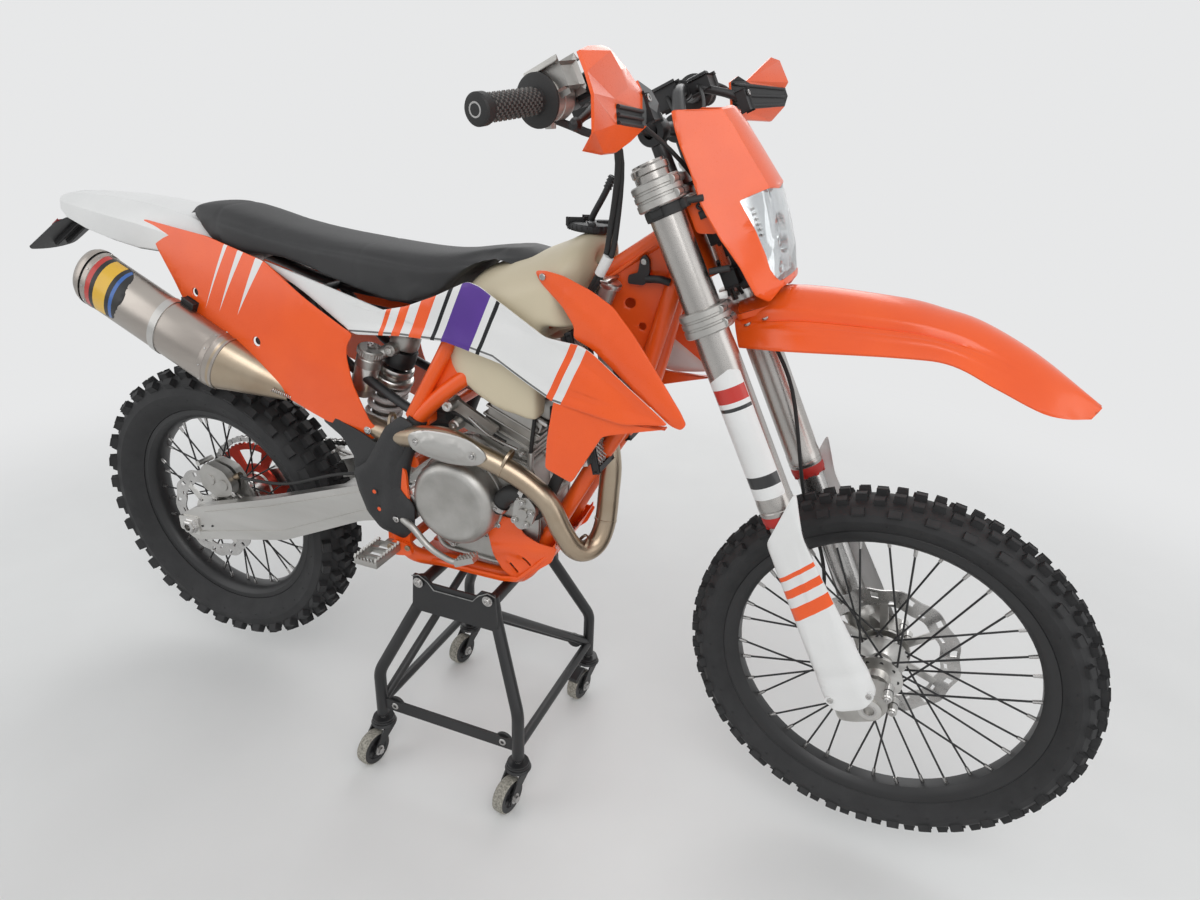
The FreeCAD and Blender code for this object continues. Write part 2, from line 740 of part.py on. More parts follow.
def exhaust():
    add("header_pipe", pipe([chassis(*shares) for shares in header_shares], header_radius, header_bend))
    front = chassis(*silencer_front_shares)
    rear = chassis(*silencer_rear_shares)
    mouth = chassis(*cone_mouth_shares)
    heading = rear - front
    body_size = (silencer_tall, silencer_wide)
    cone_size = (silencer_tall - cap_overlap, silencer_wide - cap_overlap)
    mouth_size = (header_radius + cone_rim, header_radius + cone_rim)
    rim_size = (silencer_tall + cap_overlap, silencer_wide + cap_overlap)
    end_size = (silencer_tall - silencer_cap_inset, silencer_wide - silencer_cap_inset)
    way = V(heading).normalize()
    strap_at = front + heading * strap_share
    shapes = [oval_run(front, rear, heading, body_size, body_size),
              oval_run(mouth, front, heading, mouth_size, cone_size),
              oval_run(rear, rear + way * silencer_cap, heading, rim_size, end_size),
              oval_run(strap_at, strap_at + way * strap_width, heading, rim_size, rim_size)]
    outlet_end = rear + way * outlet_depth
    outlet = sleeve(rear, outlet_end, outlet_radius, outlet_radius - skin)
    hollow = rod(rear + way * skin, outlet_end, outlet_radius - skin)
    whole = shapes[0].fuse(shapes[1:] + [outlet]).cut(hollow)
    add("silencer", whole)
    shield = slab(spread(shield_shares, chassis(*shield_foot_shares), shield_length, shield_height),
                  -shield_side - shield_thickness, -shield_side, shield_corner)
    add("heat_shield", shield)


exhaust()

# Cooling and fuel: radiators, their slatted guards, hoses, tank, cap and the throttle body
radiator_low_shares = (0.960, 0.66, 0.690)
radiator_high_shares = (0.905, 0.66, 0.905)
radiator_width = 70.0
radiator_depth = 34.0
grille_depth = 6.0
grille_border = 2.0
grille_rim = 7.0
grille_share = 0.96
slat_count = 9
slat_height = 5.0
tank_rear_share = 0.665
tank_base_share = 0.745
tank_length = 325.0
tank_height = 318.0
tank_shoulder = 60.0
tank_shares = ((0.0, 0.40, 0.52, 0.55), (0.10, 0.20, 0.70, 0.72), (0.25, 0.06, 0.785, 0.90),
               (0.50, 0.0, 0.875, 1.0), (0.72, 0.06, 0.965, 1.0), (0.88, 0.35, 0.97, 0.82),
               (1.0, 0.62, 0.90, 0.50))
tunnel_half = 76.0
tunnel_height = 125.0
tank_underside = 10.0
radiator_room_share = 0.856
radiator_room_height = 178.0
cap_shares = (0.888, 0, 1.050)
cap_radius = 34.0
cap_height = 26.0
cap_top_radius = 30.0
cap_crown_radius = 24.0
cap_crown = 6.0
hose_radius = 11.0
hose_bend = 40.0
lower_hose_shares = ((0.812, -0.80, 0.520), (0.850, -0.80, 0.556), (0.892, -0.84, 0.650), (0.940, -0.84, 0.715))
upper_hose_shares = ((0.850, -0.36, 0.800), (0.872, -0.44, 0.836), (0.905, -0.80, 0.842))
intake_shares = ((0.735, 0, 0.750), (0.640, 0, 0.770))
intake_radius = 28.0
intake_body_radius = 34.0


def radiators():
    low = chassis(*radiator_low_shares)
    rise = chassis(*radiator_high_shares) - low
    length = rise.Length
    lean = math.degrees(math.atan2(rise.x, rise.z))
    core = Part.makeBox(radiator_depth, radiator_width, length, V(-radiator_depth, 0, 0))
    width = radiator_width + grille_border * 2
    height = length * grille_share
    guard = Part.makeBox(grille_depth, width, height, V(0, -grille_border, 0))
    window = Part.makeBox(grille_depth + overrun * 2, width - grille_rim * 2, height - grille_rim * 2,
                          V(-overrun, grille_rim - grille_border, grille_rim))
    slats = []
    for index in range(slat_count):
        level = grille_rim + (height - grille_rim * 2) * (index + 0.5) / slat_count
        slats.append(Part.makeBox(grille_depth, width - grille_rim, slat_height,
                                  V(0, grille_rim / 2 - grille_border, level - slat_height / 2)))
    guard = guard.cut(window).fuse(slats)
    for shape in (core, guard):
        shape.rotate(ORIGIN, Y, lean)
        shape.translate(low)
    add("radiators", *both_sides(core))
    add("radiator_grilles", *both_sides(guard))


def fuel_tank():
    rear = tank_rear_share * chassis_length
    base = tank_base_share * chassis_height
    wires = [saddle_wire(rear + u * tank_length, base + low * tank_height, base + high * tank_height,
                         tank_half_width * half, tank_shoulder) for u, low, high, half in tank_shares]
    body = Part.makeLoft(wires, True, False)
    floor = base - tank_underside
    tunnel = Part.makeBox(tank_length * 2, tunnel_half * 2, tunnel_height,
                          V(rear - tank_length / 2, -tunnel_half, floor))
    room = Part.makeBox(tank_length, tank_half_width * 4, radiator_room_height,
                        V(radiator_room_share * chassis_length, -tank_half_width * 2, floor))
    add("fuel_tank", body.cut(tunnel).cut(room))
    foot = chassis(*cap_shares)
    top = foot + Z * cap_height
    add("fuel_cap", rod(foot, top, cap_radius), taper(top, top + Z * cap_crown, cap_top_radius, cap_crown_radius))


def coolant_and_air():
    lower = pipe([chassis(*shares) for shares in lower_hose_shares], hose_radius, hose_bend)
    upper = pipe([chassis(*shares) for shares in upper_hose_shares], hose_radius, hose_bend)
    start, end = [chassis(*shares) for shares in intake_shares]
    middle = (start + end) * 0.5
    add("engine_hoses", lower, upper, rod(start, end, intake_radius), rod(start, middle, intake_body_radius))


radiators()
fuel_tank()
coolant_and_air()

# Bodywork: seat, rear fender, plate holder and lamp, side panels and shrouds
seat_rear_share = 0.060
seat_base_share = 0.900
seat_shoulder = 22.0
seat_shares = ((0.0, 0.80, 0.97, 0.60), (0.06, 0.68, 1.0, 0.80), (0.27, 0.42, 0.83, 0.94),
               (0.58, 0.08, 0.68, 1.0), (0.77, 0.25, 0.69, 0.92), (0.84, 0.60, 0.76, 0.84),
               (0.91, 0.74, 0.86, 0.76), (1.0, 0.91, 0.99, 0.55))
tail_rear_share = -0.315
tail_crown_share = 1.030
tail_length = 560.0
tail_height = 100.0
tail_half_width = 88.0
tail_shares = ((0.0, 0.0, 0.10, 0.42), (0.15, 0.08, 0.30, 0.62), (0.45, 0.04, 0.42, 0.86),
               (0.66, -0.12, 0.40, 0.95), (1.0, -0.75, 0.60, 1.0))
holder_root_shares = (-0.205, 0, 1.042)
holder_tip_shares = (-0.424, 0, 0.902)
holder_half_width = 58.0
holder_thickness = 4.0
holder_corner = 8.0
holder_shares = ((0.0, 0.45), (0.38, 0.45), (0.52, 1.0), (0.97, 1.0), (1.0, 0.90))
lamp_share = 0.66
lamp_length = 24.0
lamp_width = 64.0
lamp_height = 18.0
panel_corner = 12.0


def seat():
    rear = seat_rear_share * chassis_length
    base = seat_base_share * chassis_height
    wires = [saddle_wire(rear + u * seat_length, base + low * seat_depth, base + high * seat_depth,
                         body_half_width * half, seat_shoulder) for u, low, high, half in seat_shares]
    add("seat", Part.makeLoft(wires, True, False))


def tail():
    rear = tail_rear_share * chassis_length
    crown = tail_crown_share * chassis_height
    rows = []
    for u, drop, edge, half in tail_shares:
        x = rear + u * tail_length
        y = tail_half_width * half
        low = crown + (drop - edge) * tail_height
        rows.append((V(x, -y, low), V(x, 0, crown + drop * tail_height), V(x, y, low)))
    fender = arch_loft(rows, Z, skin)
    add("rear_fender", fender.cut(nodes["seat"]))
    root = chassis(*holder_root_shares)
    fall = root - chassis(*holder_tip_shares)
    lean = math.degrees(math.atan2(fall.z, fall.x))
    reach = fall.Length
    half_rim = [V(-u * reach, half * holder_half_width, 0) for u, half in holder_shares]
    rim_points = half_rim + [V(p.x, -p.y, 0) for p in reversed(half_rim)]
    holder = Part.Face(rounded_path(rim_points, holder_corner, True)).extrude(Z * -holder_thickness)
    lamp = block(V(-lamp_share * reach, 0, lamp_height / 2), lamp_length, lamp_width, lamp_height)
    for shape in (holder, lamp):
        shape.rotate(ORIGIN, Y, -lean)
        shape.translate(root)
    add("plate_holder", largest(holder.cut(fender)))
    add("tail_lamp", largest(lamp.cut(fender).cut(nodes["plate_holder"])))


seat()
tail()

panel_foot_shares = (-0.045, 0, 0.645)
panel_length = 590.0
panel_height = 360.0
panel_edge_shares = ((0.0, 0.99), (0.31, 0.95), (0.58, 0.84), (0.90, 0.60), (0.90, 0.33), (0.98, 0.05),
                     (0.93, 0.0), (0.47, 0.10), (0.26, 0.37), (0.13, 0.70))
panel_low_shares = ((0.0, 0.86), (0.5, 1.22), (1.0, 1.10))
panel_top_shares = ((0.0, 0.70), (0.5, 0.90), (1.0, 0.86))
panel_hole_shares = ((0.27, 0.66), (0.53, 0.45))
panel_hole_radius = 11.0
band_foot_shares = (0.270, 0, 0.780)
band_length = 832.0
band_height = 200.0
band_edge_shares = ((0.0, 0.88), (0.55, 0.97), (0.76, 0.58), (0.86, 0.56), (1.0, 0.07), (0.88, 0.0),
                    (0.74, 0.15), (0.56, 0.31), (0.43, 0.35), (0.16, 0.49))
band_side_shares = ((0.0, 1.06), (0.35, 1.22), (0.6, 1.45), (1.0, 1.62))
band_lean_shares = (1.0, 0.98, 0.90)
wing_foot_shares = (0.851, 0, 0.800)
wing_length = 277.0
wing_height = 205.0
wing_corner = 8.0
wing_edge_shares = ((0.0, 0.99), (0.17, 1.0), (0.43, 0.86), (0.60, 0.70), (0.86, 0.30), (1.0, 0.05),
                    (0.88, 0.03), (0.72, 0.16), (0.47, 0.42), (0.27, 0.49), (0.18, 0.75))
wing_side_shares = ((0.0, 1.28), (0.5, 1.46), (1.0, 1.58))
wing_lean_shares = (1.0, 0.99, 0.92)
guard_foot_shares = (0.880, 0, 0.655)
guard_length = 172.0
guard_height = 150.0
guard_inner = 138.0
guard_outer = 148.0
guard_corner = 10.0
guard_edge_shares = ((0.10, 1.0), (0.0, 0.12), (0.28, 0.0), (0.58, 0.62), (1.0, 0.75), (0.95, 1.0))


def side_panels():
    foot = chassis(*panel_foot_shares)
    rows = bowed_rows(foot, panel_length, panel_height, panel_low_shares, (1.0, 1.03), body_half_width)
    rows.append(bowed_rows(foot, panel_length, panel_height, panel_top_shares, (1.0, 1.0, 1.0),
                           body_half_width)[-1])
    panel = skin_panel(spread(panel_edge_shares, foot, panel_length, panel_height), rows, skin, panel_corner)
    for spot in spread(panel_hole_shares, foot, panel_length, panel_height):
        panel = panel.cut(crossbar(spot, body_half_width * 2, panel_hole_radius))
    add("side_panels", *both_sides(panel))


def shrouds():
    foot = chassis(*band_foot_shares)
    rows = bowed_rows(foot, band_length, band_height, band_side_shares, band_lean_shares, body_half_width)
    band = skin_panel(spread(band_edge_shares, foot, band_length, band_height), rows, skin, panel_corner)
    add("shroud_bands", *both_sides(band))
    foot = chassis(*wing_foot_shares)
    rows = bowed_rows(foot, wing_length, wing_height, wing_side_shares, wing_lean_shares, body_half_width)
    wing = skin_panel(spread(wing_edge_shares, foot, wing_length, wing_height), rows, skin, wing_corner)
    guard = slab(spread(guard_edge_shares, chassis(*guard_foot_shares), guard_length, guard_height),
                 -guard_outer, -guard_inner, guard_corner)
    add("shroud_wings", *(both_sides(wing.cut(band)) + both_sides(guard)))


side_panels()
shrouds()

# Guards under and beside the engine, foot controls and the suspension unit
skid_low = 362.0
skid_foot_share = 0.540
skid_length = 330.0
skid_height = 120.0
skid_half_width = 90.0
skid_corner = 2.0
skid_side_thickness = 4.0
skid_shares = ((0.0, 0.10), (0.05, 0.0), (0.78, 0.0), (1.0, 0.62), (0.98, 0.65), (0.77, 0.05), (0.06, 0.05),
               (0.02, 0.13))
skid_side_shares = ((0.30, 0.0), (0.78, 0.0), (1.03, 1.0), (0.80, 1.12), (0.74, 1.38), (0.63, 1.30))
louvre_shares = ((0.66, 0.52), (0.74, 0.80))
louvre_length = 46.0
louvre_height = 9.0
louvre_lean = -35.0
clutch_room = 3.0
frame_guard_inner = 130.0
frame_guard_outer = 136.0
frame_guard_length = 140.0
frame_guard_height = 250.0
frame_guard_corner = 12.0
frame_guard_foot_shares = (0.471, 0, 0.452)
frame_guard_shares = ((0.79, 1.0), (1.0, 0.98), (0.68, 0.74), (0.56, 0.62), (0.69, 0.46), (0.92, 0.29),
                      (0.89, 0.10), (0.73, 0.0), (0.34, 0.06), (0.16, 0.18), (0.06, 0.33), (0.0, 0.50),
                      (0.26, 0.58), (0.35, 0.72), (0.59, 0.87))
peg_bracket_shares = (0.560, 1.36, 0.432)
peg_bracket_length = 40.0
peg_bracket_width = 13.0
peg_bracket_height = 30.0
peg_shares = (0.548, 1.80, 0.438)
peg_length = 52.0
peg_width = 78.0
peg_height = 18.0
peg_wall = 5.0
peg_teeth = 6
peg_tooth = 6.0
pedal_radius = 7.0
pedal_bend = 20.0
pedal_pad_radius = 9.0
pedal_pad_half = 15.0
pedal_shares = ((0.590, -1.26, 0.470), (0.600, -1.46, 0.452), (0.690, -1.50, 0.446), (0.800, -1.50, 0.500))
shifter_shares = ((0.668, 0.66, 0.470), (0.668, 1.36, 0.466), (0.720, 1.42, 0.452), (0.790, 1.42, 0.480))
shock_low_shares = (0.418, 0.22, 0.500)
shock_high_shares = (0.560, 0.22, 0.866)
shock_rod_radius = 12.0
shock_body_radius = 24.0
spring_outer = 36.0
spring_inner = 26.0
spring_turns = 9
spring_groove = 4.0
spring_seat_radius = 37.0
spring_seat_shares = (0.28, 0.30, 0.80, 0.83)
reservoir_low_shares = (0.470, -0.48, 0.735)
reservoir_high_shares = (0.520, -0.48, 0.850)
reservoir_radius = 24.0


def skid_plate():
    foot = chassis(skid_foot_share, 0, 0) + Z * skid_low
    pan = slab(spread(skid_shares, foot, skid_length, skid_height), -skid_half_width, skid_half_width, skid_corner)
    wing = slab(spread(skid_side_shares, foot, skid_length, skid_height), -skid_half_width - skid_side_thickness,
                -skid_half_width, wing_corner)
    for spot in spread(louvre_shares, foot, skid_length, skid_height):
        spot.y = -skid_half_width
        wing = wing.cut(leaned_block(spot, louvre_length, skid_side_thickness * 3, louvre_height, louvre_lean))
    clutch = chassis(*clutch_shares)
    wing = wing.cut(crossbar(clutch, case_half * 2, clutch_flange_radius + cover_boss_radius + clutch_room))
    add("skid_plate", pan, *both_sides(wing))


def frame_guards():
    guard = slab(spread(frame_guard_shares, chassis(*frame_guard_foot_shares), frame_guard_length,
                        frame_guard_height), -frame_guard_outer, -frame_guard_inner, frame_guard_corner)
    add("frame_guards", *both_sides(guard))


def foot_controls():
    bracket = block(chassis(*peg_bracket_shares), peg_bracket_length, peg_bracket_width, peg_bracket_height)
    middle = chassis(*peg_shares)
    peg = block(middle, peg_length, peg_width, peg_height)
    peg = peg.cut(block(middle, peg_length - peg_wall * 2, peg_width - peg_wall * 2, peg_height + overrun))
    peg = peg.fuse(block(middle, peg_length - peg_wall, peg_wall, peg_height - peg_wall))
    for index in range(peg_teeth):
        spot = middle + V(0, ((index + 0.5) / peg_teeth - 0.5) * peg_width, peg_height / 2)
        peg = peg.cut(leaned_block(spot, peg_length * 2, peg_tooth, peg_tooth, 0))
    add("footpegs", *both_sides(bracket), *both_sides(peg))
    pedal = [chassis(*shares) for shares in pedal_shares]
    shifter = [chassis(*shares) for shares in shifter_shares]
    shapes = [pipe(route, pedal_radius, pedal_bend) for route in (pedal, shifter)]
    shapes += [crossbar(route[-1], pedal_pad_half, pedal_pad_radius) for route in (pedal, shifter)]
    add("foot_levers", *shapes)


def suspension():
    low = chassis(*shock_low_shares)
    span = chassis(*shock_high_shares) - low
    seat_low, start, end, seat_high = spring_seat_shares
    way = V(span).normalize()
    across = way.cross(Y).normalize()
    bottom = span.Length * start
    turn = span.Length * (end - start) / spring_turns
    places = [(spring_inner, bottom + turn * spring_turns), (spring_inner, bottom)]
    for index in range(spring_turns):
        foot = bottom + turn * index
        places += [(spring_outer - spring_groove, foot), (spring_outer, foot + turn * 0.25),
                   (spring_outer, foot + turn * 0.75)]
    places.append((spring_outer - spring_groove, bottom + turn * spring_turns))
    add("shock_spring", turned(places, low, way, across))
    seats = [rod(low + span * seat_low, low + span * start, spring_seat_radius),
             rod(low + span * end, low + span * seat_high, spring_seat_radius)]
    body = rod(low, low + span * 0.32, shock_rod_radius)
    body = body.fuse([rod(low + span * 0.29, low + span, shock_body_radius)] + seats)
    reservoir = rod(chassis(*reservoir_low_shares), chassis(*reservoir_high_shares), reservoir_radius)
    add("shock", body, reservoir)


skid_plate()
frame_guards()
foot_controls()
suspension()

# Brake calipers: a body over each disc with the gap the disc runs in, and a lug to what carries it
disc_gap = 8.0
disc_clearance = 6.0
rear_caliper_shares = (0.052, 0, 0.441)
rear_caliper_length = 92.0
rear_caliper_width = 52.0
rear_caliper_height = 54.0
rear_bracket_width = 8.0
rear_bracket_corner = 8.0
rear_bracket_shares = ((-0.016, 0, 0.362), (0.018, 0, 0.356), (0.070, 0, 0.430), (0.020, 0, 0.460))
front_caliper_length = 70.0
front_caliper_width = 36.0
front_caliper_height = 110.0
front_caliper_along = 0.055
front_caliper_lead = -0.049
front_caliper_outset = 5.0
caliper_lug_radius = 10.0


def brake_room(axle, disc_side, disc_radius):
    return crossbar(axle + Y * disc_side, disc_gap, disc_radius + disc_clearance)


def rear_caliper():
    centre = chassis(*rear_caliper_shares) + Y * rear_disc_side
    body = block(centre, rear_caliper_length, rear_caliper_width, rear_caliper_height)
    bracket = slab([chassis(*shares) for shares in rear_bracket_shares], -arm_inner,
                   -arm_inner + rear_bracket_width, rear_bracket_corner)
    add("rear_caliper", body.cut(brake_room(rear_axle, rear_disc_side, rear_disc_radius)), bracket)


rear_caliper()

# Steering: stem, clamps, fork legs and what they carry, placed along the fork, ahead of it and to the side
axle_bore_radius = 9.0
clamp_thickness = 38.0
clamp_wall = 11.0
clamp_rear_lead = -24.0
clamp_rear_half = 30.0
clamp_front_lead = 46.0
clamp_corner = 12.0
upper_clamp_share = 0.9523
lower_clamp_share = 0.7415
stem_over = 24.0
stem_under = 18.0
stem_waist = 1.0
upper_tube = 27.0
lower_tube = 30.0
inner_tube = 24.0
clamped_step = 1.5
boot_radius = 29.0
wiper_share = 0.3925
wiper_length = 12.0
wiper_step = 1.0
leg_step_shares = (0.678, 0.710, 0.784, 0.805)
fork_cap = 10.0
fork_cap_step = 3.0
inner_foot = 30.0
lug_half = 22.0
lug_radius = 27.0
boot_low = -20.0
boot_high = 62.0
spindle_half = 124.0
spindle_radius = 12.5
guard_thickness = 4.0
fork_guard_corner = 14.0
fork_guard_shares = ((0.434, 0.066), (0.350, -0.008), (0.064, -0.015), (0.011, 0.032), (0.015, 0.089),
                     (0.074, 0.078), (0.350, 0.055))
tray_half = 42.0
tray_thickness = 5.0
tray_drop = 6.0
tray_corner = 6.0
tray_lead = 0.1351
post_lead = 0.0847
post_top = 0.984
post_radius = 8.0
bar_radius = 11.0
bar_bend = 60.0
bar_share = 1.0434
bar_lead = 0.0318
bar_rise = 68.0
bar_end_lead = -22.0
bar_bend_lead = 8.0
bar_knee_lead = 18.0
bar_knee_drop = 6.0
bar_side_shares = (0.468, 0.345, 0.153)
mount_side_share = 0.128
mount_radius = 13.0
mount_clamp_radius = 22.0
mount_clamp_half = 14.0
mount_foot = 11.0
mount_gap = 10.0
grip_radius = 17.0
grip_length = 122.0
grip_end = 2.0
throttle_length = 36.0
throttle_radius = 24.0
clutch_perch_radius = 18.0
lever_radius = 5.0
lever_bend = 30.0
lever_shares = ((1.1208, 0.0297, 0.554), (1.1123, 0.0551, 0.603), (1.1081, 0.0593, 0.813),
                (1.1059, 0.0508, 0.948))
perch_share = 1.1186
perch_side_share = 0.547
perch_lead_shares = (0.0106, 0.0530)
perch_radius = 14.0
shell_thickness = 5.0
shell_shares = (((1.036, 0.091, 0.554), (1.0117, 0.129, 0.764), (1.003, 0.104, 0.985)),
                ((1.070, 0.106, 0.547), (1.0646, 0.138, 0.768), (1.0434, 0.114, 1.0)),
                ((1.106, 0.119, 0.554), (1.1186, 0.131, 0.776), (1.0784, 0.112, 0.985)))
stay_radius = 6.0
stay_bend = 30.0
stay_ring_near = 1.0
stay_ring_far = 15.0
stay_ring_lead = 13.0
stay_shares = ((1.0911, 0.070, 0.522), (1.072, 0.1282, 0.650))


def steered(along_share, lead_share, side_share=0):
    return local(along_share * fork_length, lead_share * fork_length, side_share * bar_half_width)


def clamp(middle, tube, stem_bore):
    low = middle - clamp_thickness / 2
    high = middle + clamp_thickness / 2
    corners = [local(low, clamp_rear_lead, -clamp_rear_half), local(low, clamp_rear_lead, clamp_rear_half),
               local(low, clamp_front_lead, fork_half_spacing), local(low, clamp_front_lead, -fork_half_spacing)]
    whole = Part.Face(rounded_path(corners, clamp_corner, True)).extrude(up_axis * clamp_thickness)
    for side in (-fork_half_spacing, fork_half_spacing):
        eye = rod(local(low, fork_offset, side), local(high, fork_offset, side), tube + clamp_wall)
        whole = whole.fuse(eye)
    for side in (-fork_half_spacing, fork_half_spacing):
        bore = rod(local(low - overrun, fork_offset, side), local(high + overrun, fork_offset, side),
                   tube + fit_gap)
        whole = whole.cut(bore)
    return whole.cut(rod(local(low - overrun, 0), local(high + overrun, 0), stem_bore))


def bar_place(side_share, height, lead):
    return local(bar_share * fork_length + height, lead, side_share * bar_half_width)


def bar_bore(side):
    return rod(bar_place(side, bar_rise, bar_end_lead),
               bar_place(side * bar_side_shares[0], bar_rise, bar_bend_lead), bar_radius + fit_gap)


def clamps():
    upper = upper_clamp_share * fork_length
    lower = lower_clamp_share * fork_length
    tray_level = upper - tray_drop
    tray_front = tray_lead * fork_length
    tray = [local(tray_level, fork_offset, -tray_half), local(tray_level, fork_offset, tray_half),
            local(tray_level, tray_front, tray_half), local(tray_level, tray_front, -tray_half)]
    plate = Part.Face(rounded_path(tray, tray_corner, True)).extrude(up_axis * tray_thickness)
    post = rod(local(tray_level, post_lead * fork_length), steered(post_top, post_lead), post_radius)
    mounts = []
    centre_lead = bar_lead * fork_length
    for side in (-mount_side_share, mount_side_share):
        middle = bar_place(side, 0, centre_lead)
        foot = local(upper + mount_foot, centre_lead, middle.y)
        mounts.append(rod(foot, bar_place(side, -mount_gap, centre_lead), mount_radius))
        mounts.append(crossbar(middle, mount_clamp_half, mount_clamp_radius))
    bore = rod(bar_place(-1, 0, centre_lead), bar_place(1, 0, centre_lead), bar_radius + fit_gap)
    mounts = [shape.cut(bore) for shape in mounts]
    add("upper_clamp", clamp(upper, upper_tube, stem_radius + fit_gap), plate, post, *mounts)
    stem = rod(local(lower - stem_under, 0), local(upper + stem_over, 0), stem_radius)
    add("lower_clamp", clamp(lower, lower_tube - clamped_step, stem_radius - stem_waist), stem)


def fork_legs():
    outers = []
    inners = []
    wipers = []
    top = fork_length - fork_cap
    wiper_top = wiper_share * fork_length
    wiper_low = wiper_top - wiper_length
    clamped = lower_tube - clamped_step
    steps = [share * fork_length for share in leg_step_shares]
    for side in (-fork_half_spacing, fork_half_spacing):
        def place(along, lead=fork_offset):
            return local(along, lead, side)

        outers.append(rod(place(wiper_top), place(steps[0]), lower_tube))
        outers.append(taper(place(steps[0]), place(steps[1]), lower_tube, clamped))
        outers.append(rod(place(steps[1]), place(steps[2]), clamped))
        outers.append(taper(place(steps[2]), place(steps[3]), clamped, upper_tube))
        outers.append(rod(place(steps[3]), place(top), upper_tube))
        outers.append(rod(place(top), place(fork_length), upper_tube - fork_cap_step))
        wipers.append(rod(place(wiper_low), place(wiper_top), lower_tube - wiper_step))
        inners.append(rod(place(inner_foot), place(wiper_low), inner_tube))
        inners.append(crossbar(place(0, fork_offset + axle_lead), lug_half, lug_radius))
        inners.append(rod(place(boot_low), place(boot_high), boot_radius))
    add("fork_outer_tubes", *outers)
    add("fork_wipers", *wipers)
    legs = crossbar(front_axle, spindle_half, spindle_radius).fuse(inners)
    add("fork_inner_tubes", legs.cut(crossbar(front_axle, spindle_half + overrun, axle_bore_radius)))


def fork_guards():
    outline = [steered(*shares) for shares in fork_guard_shares]
    near_side = fork_half_spacing + boot_radius + fit_gap
    guard = slab(outline, near_side, near_side + guard_thickness, fork_guard_corner)
    add("fork_guards", *both_sides(guard))


def handlebar():
    ends, knees, inner = bar_side_shares
    half_route = [bar_place(1, bar_rise, bar_end_lead), bar_place(ends, bar_rise, bar_bend_lead),
                  bar_place(knees, bar_rise - bar_knee_drop, bar_knee_lead),
                  bar_place(inner, 0, bar_lead * fork_length)]
    mirrored = [V(p.x, -p.y, p.z) for p in reversed(half_route)]
    add("handlebar", pipe(half_route + mirrored, bar_radius, bar_bend))
    grips = []
    controls = []
    for side in (-1, 1):
        end = bar_place(side, bar_rise, bar_end_lead)
        way = (bar_place(side * ends, bar_rise, bar_bend_lead) - end).normalize()
        grips.append(rod(end - way * grip_end, end + way * grip_length, grip_radius).cut(bar_bore(side)))
        start = end + way * (grip_length + grip_end)
        radius = throttle_radius if side < 0 else clutch_perch_radius
        controls.append(rod(start, start + way * throttle_length, radius).cut(bar_bore(side)))
        controls.append(pipe([steered(u, v, w * side) for u, v, w in lever_shares], lever_radius, lever_bend))
        perch = [steered(perch_share, lead, perch_side_share * side) for lead in perch_lead_shares]
        controls.append(rod(perch[0], perch[1], perch_radius))
    add("grips", *grips)
    add("bar_controls", *controls)


def hand_guards():
    shapes = []
    for side in (-1, 1):
        rows = [[steered(u, v, w * side) for u, v, w in row] for row in shell_shares]
        shapes.append(sheet_through(rows).extrude(lead_axis * shell_thickness))
        inner = bar_place(side * bar_side_shares[0], bar_rise, bar_bend_lead)
        way = (bar_place(side, bar_rise, bar_end_lead) - inner).normalize()
        shapes.append(sleeve(inner + way * stay_ring_near, inner + way * stay_ring_far, grip_radius,
                             bar_radius + fit_gap))
        start = inner + way * ((stay_ring_near + stay_ring_far) / 2) + lead_axis * stay_ring_lead
        route = [start] + [steered(u, v, w * side) for u, v, w in stay_shares]
        shapes.append(pipe(route, stay_radius, stay_bend))
    add("hand_guards", *shapes)


clamps()
fork_legs()
fork_guards()
handlebar()
hand_guards()

# Front fender, headlight with its mask, instrument, and the front caliper with its hose
fender_rear_share = 0.0424
fender_reach = 446.0
fender_half_width = 88.0
fender_shares = ((0.0, 0.7415, 0.678, 0.68), (0.20, 0.7383, 0.6504, 0.955), (0.52, 0.6653, 0.5953, 1.0),
                 (0.72, 0.6006, 0.536, 0.91), (0.87, 0.5191, 0.4619, 0.68), (1.0, 0.4195, 0.4131, 0.16))
mask_half_width = 100.0
mask_shares = ((0.7479, 0.1356, 0.1059, 0.62), (0.8051, 0.1483, 0.1102, 0.84), (0.8941, 0.1525, 0.1059, 1.0),
               (0.9746, 0.1335, 0.0890, 0.96), (1.0434, 0.1102, 0.0763, 0.70))
lens_lead = 0.1186
lens_low_share = 0.7585
lens_high_share = 0.875
lens_low_half = 40.0
lens_high_half = 64.0
lens_corner = 18.0
lens_depth = 60.0
gauge_share = 1.0106
gauge_lead = 0.0826
gauge_length = 30.0
gauge_width = 74.0
gauge_height = 50.0


